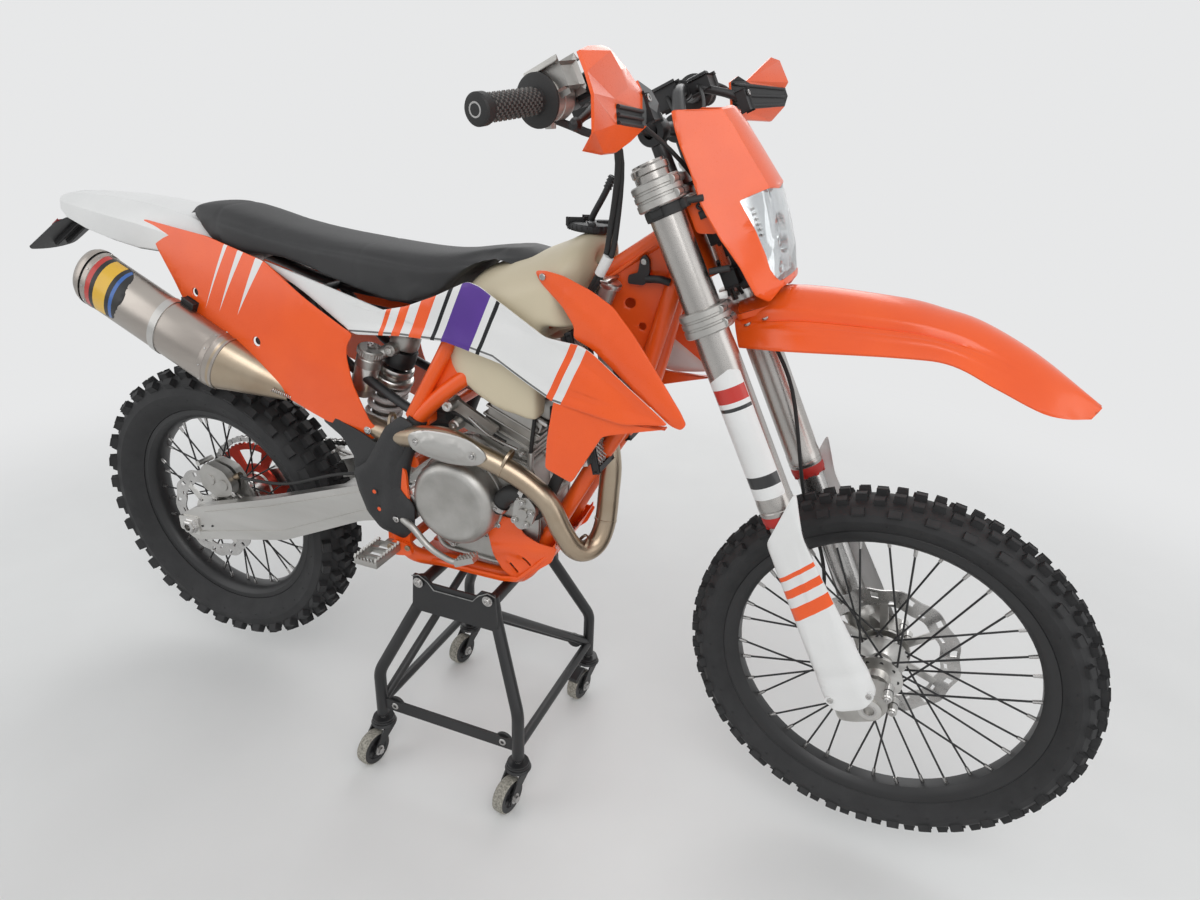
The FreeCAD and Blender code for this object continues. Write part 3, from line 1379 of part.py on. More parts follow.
def front_panels():
    rows = []
    for u, crown, edge, half in fender_shares:
        lead = fender_rear_share * fork_length + u * fender_reach
        side = half * fender_half_width
        rows.append((local(edge * fork_length, lead, -side), local(crown * fork_length, lead),
                     local(edge * fork_length, lead, side)))
    add("front_fender", arch_loft(rows, up_axis, skin))
    mask_rows = []
    for along, front, back, half in mask_shares:
        side = half * mask_half_width
        mask_rows.append((local(along * fork_length, back * fork_length, -side),
                          local(along * fork_length, front * fork_length),
                          local(along * fork_length, back * fork_length, side)))
    lens_level = lens_lead * fork_length
    low = lens_low_share * fork_length
    high = lens_high_share * fork_length
    outline = rounded_path([local(low, lens_level, -lens_low_half), local(low, lens_level, lens_low_half),
                            local(high, lens_level, lens_high_half), local(high, lens_level, -lens_high_half)],
                           lens_corner, True)
    opening = Part.Face(outline).extrude(lead_axis * lens_depth)
    add("headlight_mask", arch_loft(mask_rows, lead_axis, skin).cut(opening))
    fronts = [Part.Wire([smooth_edge([left, crown, right]), Part.makeLine(right, left)])
              for left, crown, right in mask_rows]
    add("headlight", Part.makeLoft(fronts, True, False).common(opening))
    gauge = block(ORIGIN, gauge_length, gauge_width, gauge_height)
    gauge.rotate(ORIGIN, Y, -rake)
    gauge.translate(steered(gauge_share, gauge_lead))
    add("instrument", gauge)


def front_caliper():
    body = block(ORIGIN, front_caliper_length, front_caliper_width, front_caliper_height)
    body.rotate(ORIGIN, Y, -rake)
    side = front_disc_side + front_caliper_outset
    body.translate(steered(front_caliper_along, front_caliper_lead) + Y * side)
    lug = rod(local(30.0, 8.0, 84.0), local(30.0, -50.0, 68.0), caliper_lug_radius)
    add("front_caliper", body.cut(brake_room(front_axle, front_disc_side, front_disc_radius)), lug)


front_panels()
front_caliper()

# Side stand on the left, folded back along the swingarm
leg_length = 355.0
leg_radius = 10.0
leg_start = 14.0
stand_boss_radius = 18.0
stand_boss_half = 12.0
stand_foot_radius = 20.0
stand_foot_width = 10.0


def side_stand():
    tip = stand_hinge + stand_folded * leg_length
    leg = rod(stand_hinge + stand_folded * leg_start, tip, leg_radius)
    boss = sleeve(stand_hinge - stand_axis * stand_boss_half, stand_hinge + stand_axis * stand_boss_half,
                  stand_boss_radius, stand_pin_radius + running_gap)
    foot = rod(tip - stand_folded * stand_foot_width, tip, stand_foot_radius)
    add("side_stand", leg, boss, foot)


side_stand()

# Paddock stand: a braced tube frame under the skid plate, on four swivel casters
stand_x_share = 0.682
stand_y = 15.0
stand_top_half_length = 80.0
stand_top_half_width = 130.0
stand_foot_half_length = 162.0
stand_foot_half_width = 185.0
stand_leg_radius = 12.5
stand_leg_bend = 60.0
stand_knee = 8.0
stand_shoulder = 60.0
stand_bend_height = 215.0
stand_foot_gap = 4.0
stem_drop = 17.0
stand_plate_half = 2.0
stand_plate_corner = 5.0
stand_plate_size = 86.0
stand_plate_drop = 72.0
stand_plate_shares = ((-1.14, 0.0), (1.14, 0.0), (1.07, 1.0), (0.72, 1.0), (0.58, 0.84), (-0.58, 0.84),
                      (-0.72, 1.0), (-1.07, 1.0))
brace_low = 122.0
brace_height = 26.0
brace_half = 3.0
brace_corner = 8.0
tie_height = 135.0
tie_radius = 10.0
diagonal_radius = 9.0
diagonal_drop = 40.0
caster_height = 100.0
caster_trail = 36.0
caster_turn = 10.0
caster_radius = 37.5
caster_width = 26.0
caster_groove = 1.5
caster_stem_radius = 6.0
caster_pin_radius = 5.0
caster_pin_half = 22.0
cheek_gap = 2.0
cheek_thickness = 4.0
cheek_drop = 14.0
cheek_corner = 6.0
crown_drop = 18.0
crown_back = 18.0
crown_front = 46.0
crown_half = 19.0
crown_corner = 5.0
swivel_radius = 26.0
swivel_low = 15.0
swivel_high = 2.0
swivel_groove = 3.0
swivel_groove_low = 10.0
swivel_groove_high = 7.0
brake_lever_length = 34.0
brake_lever_width = 22.0
brake_lever_thickness = 3.0
brake_lever_lean = 24.0
floor_level = -lift_over_floor


def paddock_stand():
    stand_x = stand_x_share * chassis_length
    leg_end = floor_level + caster_height + stand_foot_gap
    tie = floor_level + tie_height
    shapes = []
    for side in (-1, 1):
        y_top = stand_y + side * stand_top_half_width
        y_foot = stand_y + side * stand_foot_half_width
        for end in (-1, 1):
            x_top = stand_x + end * stand_top_half_length
            x_foot = stand_x + end * stand_foot_half_length
            foot = V(x_foot, y_foot, leg_end)
            shapes.append(rod(foot, foot - Z * stem_drop, caster_stem_radius))
            shapes.append(pipe([V(x_top, y_top, skid_low),
                                V(x_top + end * stand_knee, y_top, skid_low - stand_shoulder),
                                V(x_foot, y_foot, floor_level + stand_bend_height), foot],
                               stand_leg_radius, stand_leg_bend))
        corner = V(stand_x, 0, skid_low - stand_plate_drop)
        plate_y = y_top + side * stand_leg_radius
        shapes.append(slab(spread(stand_plate_shares, corner, stand_plate_size, stand_plate_size),
                           plate_y - stand_plate_half, plate_y + stand_plate_half, stand_plate_corner))
        low = V(stand_x - stand_foot_half_length, 0, floor_level + brace_low)
        brace = spread(((0, 0), (1.0, 0), (1.0, 1.0), (0, 1.0)), low, stand_foot_half_length * 2, brace_height)
        shapes.append(slab(brace, y_foot - brace_half, y_foot + brace_half, brace_corner))
    for end in (-1, 1):
        x_foot = stand_x + end * stand_foot_half_length
        x_top = stand_x + end * stand_top_half_length
        shapes.append(crossbar(V(x_foot, stand_y, tie), stand_foot_half_width, tie_radius))
        shapes.append(crossbar(V(x_top, stand_y, skid_low - stand_leg_radius), stand_top_half_width,
                               stand_leg_radius))
        shapes.append(rod(V(x_top, stand_y - end * stand_top_half_width, skid_low - diagonal_drop),
                          V(x_foot, stand_y + end * stand_foot_half_width, tie), diagonal_radius))
    add("stand_frame", *shapes)


def caster_wheel(name, wheel, axle_way, trail_way):
    half = caster_width / 2
    tread = caster_radius - caster_groove
    bore = caster_pin_radius + running_gap
    places = [(bore, -half), (tread, -half), (caster_radius, -half + caster_groove), (caster_radius, -skin),
              (tread, 0), (caster_radius, skin), (caster_radius, half - caster_groove), (tread, half), (bore, half)]
    add("caster_wheel_" + name, turned(places, wheel, axle_way, trail_way))


def caster_fork(name, head, wheel, axle_way, trail_way, braked):
    plates = []
    near = caster_width / 2 + cheek_gap
    for sign in (-1, 1):
        inner = axle_way * (sign * near)
        top = head - Z * cheek_drop
        outline = [top - trail_way * crown_back + inner, top + trail_way * crown_front + inner,
                   wheel + trail_way * stand_leg_radius - Z * stand_knee + inner,
                   wheel - trail_way * stand_leg_radius - Z * stand_knee + inner]
        cheek = Part.Face(rounded_path(outline, cheek_corner, True))
        plates.append(cheek.extrude(axle_way * (sign * cheek_thickness)))
    low = head - Z * crown_drop
    reach = axle_way * crown_half
    roof = [low - trail_way * crown_back - reach, low - trail_way * crown_back + reach,
            low + trail_way * crown_front + reach, low + trail_way * crown_front - reach]
    crown = Part.Face(rounded_path(roof, crown_corner, True)).extrude(Z * cheek_thickness)
    ring = rod(head - Z * swivel_low, head - Z * swivel_high, swivel_radius)
    ring = ring.cut(sleeve(head - Z * swivel_groove_low, head - Z * swivel_groove_high,
                           swivel_radius + swivel_groove, swivel_radius - swivel_groove))
    stem_bore = rod(head - Z * (stem_drop + overrun), head + Z * stand_foot_gap,
                    caster_stem_radius + running_gap)
    pin = rod(wheel - axle_way * caster_pin_half, wheel + axle_way * caster_pin_half, caster_pin_radius)
    shapes = [crown.cut(stem_bore), ring.cut(stem_bore), pin] + plates
    if braked:
        start = low + trail_way * crown_front
        tip = start + trail_way * brake_lever_length - Z * brake_lever_lean
        wide = axle_way * (brake_lever_width / 2)
        rise = Z * brake_lever_thickness
        back = trail_way * skin
        pad = Part.makePolygon([start - back - wide, start - back + wide, tip + wide, tip - wide,
                                start - back - wide])
        shapes.append(Part.Face(pad).extrude(rise))
    add("caster_fork_" + name, *shapes)


def casters():
    turn = math.radians(caster_turn)
    trail_way = V(-math.sin(turn), -math.cos(turn), 0)
    axle_way = V(math.cos(turn), -math.sin(turn), 0)
    stand_x = stand_x_share * chassis_length
    for end, end_name in ((-1, "rear"), (1, "front")):
        for side, side_name in ((-1, "right"), (1, "left")):
            name = end_name + "_" + side_name
            head = V(stand_x + end * stand_foot_half_length, stand_y + side * stand_foot_half_width,
                     floor_level + caster_height)
            wheel = V(head.x, head.y, floor_level + caster_radius) + trail_way * caster_trail
            caster_wheel(name, wheel, axle_way, trail_way)
            caster_fork(name, head, wheel, axle_way, trail_way, name == "front_left")


paddock_stand()
casters()


# Pieces are cut where others pass through or bear on them
def carve(name, *others):
    whole = nodes[name]
    for other in others:
        whole = whole.cut(nodes[other])
    kept = [solid for solid in whole.Solids if solid.Volume > smallest_piece]
    nodes[name] = kept[0] if len(kept) == 1 else Part.makeCompound(kept)


carve("fuel_tank", "frame", "radiators", "radiator_grilles", "header_pipe", "shroud_wings", "shroud_bands",
      "side_panels", "seat", "cylinder")
carve("fuel_cap", "fuel_tank")
carve("crankcase", "cylinder", "frame", "header_pipe")
carve("engine_covers", "crankcase")
carve("header_pipe", "cylinder", "silencer")
carve("cylinder", "frame")
carve("heat_shield", "header_pipe")
carve("engine_hoses", "crankcase", "cylinder", "radiators", "frame", "fuel_tank", "header_pipe")
carve("front_caliper", "fork_inner_tubes")
carve("shock", "frame", "swingarm")
carve("shroud_wings", "shroud_bands")
carve("upper_clamp", "headlight_mask", "handlebar")
carve("radiator_grilles", "frame")
carve("side_panels", "silencer", "rear_fender", "seat", "header_pipe")
carve("rear_fender", "frame")
carve("radiators", "frame", "radiator_grilles")
carve("bar_controls", "handlebar")
carve("front_fender", "lower_clamp")
carve("front_rim", "front_hub")
carve("rear_rim", "rear_hub")
carve("frame_guards", "swingarm", "header_pipe")
carve("footpegs", "frame", "frame_guards")
carve("skid_plate", "frame", "crankcase", "engine_covers")
carve("foot_levers", "frame", "crankcase", "engine_covers", "frame_guards", "footpegs")

# The steered group is turned to its parked angle, then all is set on its origin
for name in ("front_tyre", "front_rim", "front_hub", "upper_clamp", "lower_clamp", "fork_outer_tubes",
             "fork_wipers", "fork_inner_tubes", "fork_guards", "handlebar", "grips", "bar_controls",
             "hand_guards", "front_fender", "headlight_mask", "headlight", "instrument", "front_caliper"):
    nodes[name] = nodes[name].copy()
    nodes[name].rotate(steer_foot, up_axis, steer_at_rest)

extent = Part.makeCompound(list(nodes.values())).optimalBoundingBox(False, False)
shift = V(-(extent.XMin + extent.XMax) / 2, -(extent.YMin + extent.YMax) / 2, lift_over_floor)
for name, shape in nodes.items():
    placed = shape.copy()
    placed.translate(shift)
    placed.exportStep("parts/" + name + ".step")
    print(name, len(placed.Solids), round(placed.Volume), placed.isValid())
print("shift", shift.x, shift.y, shift.z)
print("extent", extent.XLength, extent.YLength, extent.ZLength, extent.ZMin)
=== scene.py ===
import json
import math
import random

import bmesh
import bpy
from mathutils import Matrix, Vector
from mathutils.bvhtree import BVHTree


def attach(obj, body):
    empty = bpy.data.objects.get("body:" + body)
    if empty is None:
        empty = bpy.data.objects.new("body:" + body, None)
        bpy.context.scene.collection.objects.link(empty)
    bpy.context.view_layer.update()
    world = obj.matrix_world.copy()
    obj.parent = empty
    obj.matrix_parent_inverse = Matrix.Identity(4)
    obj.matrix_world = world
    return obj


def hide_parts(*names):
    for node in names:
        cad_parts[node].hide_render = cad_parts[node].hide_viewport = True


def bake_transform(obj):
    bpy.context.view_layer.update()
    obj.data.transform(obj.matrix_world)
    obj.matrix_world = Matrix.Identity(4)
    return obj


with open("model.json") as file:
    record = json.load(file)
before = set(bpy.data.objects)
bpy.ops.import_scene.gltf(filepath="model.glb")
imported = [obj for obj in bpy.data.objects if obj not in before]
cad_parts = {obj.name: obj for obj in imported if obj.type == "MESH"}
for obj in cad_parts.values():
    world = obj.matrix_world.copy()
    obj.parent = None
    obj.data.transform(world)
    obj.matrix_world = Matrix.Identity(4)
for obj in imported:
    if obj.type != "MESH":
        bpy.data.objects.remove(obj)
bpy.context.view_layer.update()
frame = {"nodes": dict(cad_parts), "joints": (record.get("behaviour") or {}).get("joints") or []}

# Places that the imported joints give: axles, the steering line and the origin of the bike's own millimetres
MM = 0.001
joints = {joint["name"]: joint for joint in frame["joints"]}
rear_axle = Vector(joints["rear_wheel_spin"]["pos_m"])
front_axle = Vector(joints["front_wheel_spin"]["pos_m"])
rear_wheel_radius = 341.0 * MM
bike_origin = rear_axle - Vector((0, 0, rear_wheel_radius))
steer_foot = Vector(joints["steering"]["pos_m"])
steer_axis = Vector(joints["steering"]["axis"]).normalized()
side_axis = Vector(joints["front_wheel_spin"]["axis"]).normalized()
lead_axis = side_axis.cross(steer_axis).normalized()
AHEAD = Vector((1, 0, 0))
LEFT = Vector((0, 1, 0))
RIGHT = Vector((0, -1, 0))
UP = Vector((0, 0, 1))


def bike(x, y, z):
    return bike_origin + Vector((x, y, z)) * MM


def local(along, lead, side=0.0):
    return steer_foot + (steer_axis * along + lead_axis * lead + side_axis * side) * MM


def basis(origin, x_way, y_way, z_way):
    turn = Matrix((x_way, y_way, z_way)).transposed().to_4x4()
    return Matrix.Translation(origin) @ turn


def upright(origin):
    """A block's place along the bike's own axes."""
    return basis(origin, AHEAD, LEFT, UP)


def steered(origin):
    """A block's place on the steering: X to its side, Y ahead and Z up the fork."""
    return basis(origin, side_axis, lead_axis, steer_axis)


def side_on(outline, y):
    """The points of an outline of (x, z) pairs that lies in one upright plane."""
    return [bike(x, y, z) for x, z in outline]


# Finishes: each is a node material on object coordinates, with its grain in roughness, colour and bump
def new_material(name):
    material = bpy.data.materials.new(name)
    material.use_nodes = True
    shader = material.node_tree.nodes["Principled BSDF"]
    return material, material.node_tree, shader


def coordinates(tree, stretch):
    where = tree.nodes.new("ShaderNodeTexCoord")
    mapping = tree.nodes.new("ShaderNodeMapping")
    mapping.inputs["Scale"].default_value = stretch
    tree.links.new(where.outputs["Object"], mapping.inputs["Vector"])
    return mapping.outputs["Vector"]


def noise(tree, where, scale, detail=4.0):
    texture = tree.nodes.new("ShaderNodeTexNoise")
    texture.inputs["Scale"].default_value = scale
    texture.inputs["Detail"].default_value = detail
    tree.links.new(where, texture.inputs["Vector"])
    return texture.outputs["Fac"]


def ramp(tree, factor, low, high, start=0.3, end=0.7):
    node = tree.nodes.new("ShaderNodeValToRGB")
    node.color_ramp.elements[0].position = start
    node.color_ramp.elements[1].position = end
    node.color_ramp.elements[0].color = (*low, 1.0)
    node.color_ramp.elements[1].color = (*high, 1.0)
    tree.links.new(factor, node.inputs["Fac"])
    return node.outputs["Color"]


def spread_value(tree, factor, low, high):
    node = tree.nodes.new("ShaderNodeMapRange")
    node.inputs["To Min"].default_value = low
    node.inputs["To Max"].default_value = high
    tree.links.new(factor, node.inputs["Value"])
    return node.outputs["Result"]


def raise_bump(tree, shader, height, strength, distance):
    node = tree.nodes.new("ShaderNodeBump")
    node.inputs["Strength"].default_value = strength
    node.inputs["Distance"].default_value = distance
    tree.links.new(height, node.inputs["Height"])
    if shader.inputs["Normal"].links:
        tree.links.new(shader.inputs["Normal"].links[0].from_socket, node.inputs["Normal"])
    tree.links.new(node.outputs["Normal"], shader.inputs["Normal"])


def finish(name, colour, shade, rough, metallic=0.0, mottle=12.0, grain=400.0, bump=0.2, depth=0.0002,
           stretch=(1.0, 1.0, 1.0), coat=0.0, specular=0.5):
    material, tree, shader = new_material(name)
    where = coordinates(tree, stretch)
    tree.links.new(ramp(tree, noise(tree, where, mottle), shade, colour), shader.inputs["Base Color"])
    fine = noise(tree, where, grain, 2.0)
    tree.links.new(spread_value(tree, fine, rough[0], rough[1]), shader.inputs["Roughness"])
    raise_bump(tree, shader, fine, bump, depth)
    shader.inputs["Metallic"].default_value = metallic
    shader.inputs["Coat Weight"].default_value = coat
    shader.inputs["Coat Roughness"].default_value = 0.12
    shader.inputs["Specular IOR Level"].default_value = specular
    return material


def cell_bump(material, scale, strength, depth, feature="F1"):
    tree = material.node_tree
    cells = tree.nodes.new("ShaderNodeTexVoronoi")
    cells.inputs["Scale"].default_value = scale
    cells.feature = feature
    tree.links.new(coordinates(tree, (1.0, 1.0, 1.0)), cells.inputs["Vector"])
    raise_bump(tree, tree.nodes["Principled BSDF"], cells.outputs["Distance"], strength, depth)
    return material


ORANGE = (0.93, 0.112, 0.009)
WHITE = (0.80, 0.80, 0.79)
mat = {
    "orange": finish("orange_plastic", ORANGE, (0.86, 0.095, 0.008), (0.24, 0.34), grain=900.0, bump=0.04,
                     coat=0.25),
    "white": finish("white_plastic", WHITE, (0.76, 0.76, 0.75), (0.24, 0.34), grain=900.0, bump=0.04,
                    coat=0.2),
    "ivory": finish("ivory_tank", (0.66, 0.58, 0.42), (0.60, 0.52, 0.37), (0.36, 0.46), mottle=6.0,
                    grain=700.0, bump=0.08),
    "black": finish("black_plastic", (0.022, 0.022, 0.023), (0.015, 0.015, 0.016), (0.42, 0.58), grain=1500.0,
                    bump=0.35),
    "grey": finish("grey_edge", (0.16, 0.16, 0.16), (0.12, 0.12, 0.12), (0.4, 0.5), bump=0.1),
    "label_red": finish("label_red", (0.55, 0.03, 0.02), (0.50, 0.028, 0.02), (0.28, 0.36), bump=0.03,
                        coat=0.4),
    "label_blue": finish("label_blue", (0.03, 0.13, 0.45), (0.028, 0.12, 0.40), (0.28, 0.36), bump=0.03,
                         coat=0.4),
    "label_yellow": finish("label_yellow", (0.80, 0.48, 0.03), (0.75, 0.44, 0.03), (0.28, 0.36), bump=0.03,
                           coat=0.4),
    "label_black": finish("label_black", (0.022, 0.022, 0.023), (0.018, 0.018, 0.019), (0.26, 0.34),
                          bump=0.03, coat=0.4),
    "chrome": finish("chrome_shell", (0.80, 0.80, 0.80), (0.70, 0.70, 0.70), (0.06, 0.12), 1.0, 30.0, 300.0,
                     0.05),
    "screen": finish("grey_screen", (0.10, 0.11, 0.10), (0.08, 0.09, 0.08), (0.10, 0.16), bump=0.02),
    "grip_dot": finish("worn_grip", (0.16, 0.15, 0.14), (0.08, 0.078, 0.075), (0.5, 0.65), bump=0.2),
    # painted highlight: a pale grey line standing for the lit top edge of the stand's plates
    "painted_edge_highlight": finish("painted_edge_highlight", (0.34, 0.34, 0.33), (0.12, 0.12, 0.12), (0.4, 0.5), mottle=60.0),
    "violet": finish("violet_film", (0.10, 0.03, 0.30), (0.08, 0.025, 0.25), (0.25, 0.35), bump=0.03),
    "grain_black": cell_bump(finish("textured_black", (0.026, 0.026, 0.027), (0.018, 0.018, 0.019),
                                    (0.5, 0.65), bump=0.2), 420.0, 0.5, 0.0006),
    "seat": cell_bump(finish("seat_cover", (0.030, 0.030, 0.031), (0.022, 0.022, 0.023), (0.5, 0.62),
                             bump=0.15), 700.0, 0.35, 0.0004),
    "frame": finish("orange_coat", (0.90, 0.112, 0.009), (0.82, 0.096, 0.008), (0.30, 0.42), grain=600.0,
                    bump=0.08, coat=0.15),
    "coat": finish("black_coat", (0.020, 0.020, 0.021), (0.013, 0.013, 0.014), (0.32, 0.46), grain=500.0,
                   bump=0.12),
    "tyre": finish("tyre_rubber", (0.026, 0.026, 0.027), (0.017, 0.017, 0.018), (0.62, 0.78), mottle=30.0,
                   grain=700.0, bump=0.25),
    "rubber": finish("soft_rubber", (0.022, 0.022, 0.022), (0.015, 0.015, 0.015), (0.55, 0.70), bump=0.2),
    "caster": finish("worn_caster", (0.42, 0.40, 0.34), (0.16, 0.15, 0.13), (0.6, 0.75), mottle=240.0,
                     grain=500.0, bump=0.3),
    "cast": finish("cast_aluminium", (0.50, 0.49, 0.47), (0.40, 0.39, 0.37), (0.38, 0.52), 1.0, 25.0, 900.0,
                   0.35, 0.0003),
    "machined": finish("machined_aluminium", (0.66, 0.65, 0.63), (0.56, 0.55, 0.53), (0.24, 0.36), 1.0, 20.0,
                       500.0, 0.15, stretch=(1.0, 1.0, 6.0)),
    "brushed": finish("brushed_aluminium", (0.60, 0.59, 0.57), (0.50, 0.49, 0.47), (0.28, 0.42), 1.0, 18.0,
                      700.0, 0.2, stretch=(0.15, 1.0, 1.0)),
    "steel": finish("bright_steel", (0.56, 0.55, 0.54), (0.44, 0.43, 0.42), (0.22, 0.34), 1.0, 40.0, 600.0,
                    0.12),
    "tube": finish("anodised_tube", (0.50, 0.48, 0.46), (0.43, 0.41, 0.39), (0.24, 0.32), 1.0, 14.0, 800.0,
                   0.08),
    "header": finish("tinted_steel", (0.50, 0.42, 0.32), (0.36, 0.27, 0.19), (0.24, 0.38), 1.0, 9.0, 500.0,
                     0.15),
    "silencer": finish("brushed_shell", (0.47, 0.43, 0.39), (0.38, 0.34, 0.31), (0.26, 0.40), 1.0, 16.0,
                       900.0, 0.25, stretch=(0.2, 1.0, 1.0)),
    "red": finish("red_anodised", (0.42, 0.035, 0.018), (0.32, 0.025, 0.014), (0.25, 0.38), 0.85, 20.0, 600.0,
                  0.1),
    "red_rubber": finish("red_rubber", (0.50, 0.020, 0.014), (0.40, 0.016, 0.011), (0.45, 0.6), bump=0.15),
    "spring": finish("white_spring", (0.72, 0.72, 0.71), (0.66, 0.66, 0.65), (0.22, 0.32), bump=0.05,
                     coat=0.3),
    "plug": finish("black_anodised", (0.03, 0.03, 0.032), (0.02, 0.02, 0.022), (0.30, 0.42), 0.7, bump=0.1),
}


def clear_finish(name, tint, rough, transmission):
    material, tree, shader = new_material(name)
    where = coordinates(tree, (1.0, 1.0, 1.0))
    tree.links.new(ramp(tree, noise(tree, where, 30.0), tint, tint), shader.inputs["Base Color"])
    tree.links.new(spread_value(tree, noise(tree, where, 200.0), rough, rough * 1.6),
                   shader.inputs["Roughness"])
    shader.inputs["Transmission Weight"].default_value = transmission
    shader.inputs["IOR"].default_value = 1.45
    return material


mat["lens"] = clear_finish("clear_lens", (0.93, 0.95, 0.96), 0.04, 0.92)
mat["red_lens"] = clear_finish("red_lens", (0.50, 0.01, 0.01), 0.12, 0.35)

node_finish = {
    "orange": ("shroud_wings", "front_fender", "headlight_mask", "hand_guards", "skid_plate", "side_panels"),
    "white": ("shroud_bands", "rear_fender", "fork_guards"),
    "ivory": ("fuel_tank",),
    "black": ("fuel_cap", "plate_holder", "instrument", "radiator_grilles", "bar_controls"),
    "grain_black": ("frame_guards",),
    "seat": ("seat",),
    "frame": ("frame",),
    "coat": ("stand_frame", "front_rim", "rear_rim", "caster_fork_rear_right", "caster_fork_front_right",
             "caster_fork_rear_left", "caster_fork_front_left", "handlebar", "foot_levers"),
    "tyre": ("front_tyre", "rear_tyre"),
    "rubber": ("grips", "engine_hoses"),
    "caster": ("caster_wheel_rear_right", "caster_wheel_front_right", "caster_wheel_rear_left",
               "caster_wheel_front_left"),
    "cast": ("crankcase", "engine_covers", "cylinder", "rear_caliper", "front_caliper", "footpegs"),
    "machined": ("upper_clamp", "lower_clamp", "front_hub", "rear_hub", "radiators"),
    "brushed": ("swingarm", "heat_shield"),
    "tube": ("fork_outer_tubes", "shock"),
    "steel": ("fork_inner_tubes", "chain", "side_stand"),
    "red": ("rear_sprocket",),
    "header": ("header_pipe",),
    "silencer": ("silencer",),
    "spring": ("shock_spring",),
    "red_rubber": ("fork_wipers",),
    "lens": ("headlight",),
    "red_lens": ("tail_lamp",),
}
for finish_name, names in node_finish.items():
    for node_name in names:
        node = frame["nodes"][node_name]
        node.data.materials.clear()
        node.data.materials.append(mat[finish_name])


# Building blocks: one Stock gathers the shapes of a piece in one mesh, each with its own finish
def ring_points(centre, first, second, radius, sides, turn=0.0):
    angles = [turn + math.tau * index / sides for index in range(sides)]
    return [centre + (first * math.cos(a) + second * math.sin(a)) * radius for a in angles]


def across(way):
    helper = Vector((0, 0, 1)) if abs(way.z) < 0.9 * way.length else Vector((1, 0, 0))
    first = way.cross(helper).normalized()
    return first, way.cross(first).normalized()


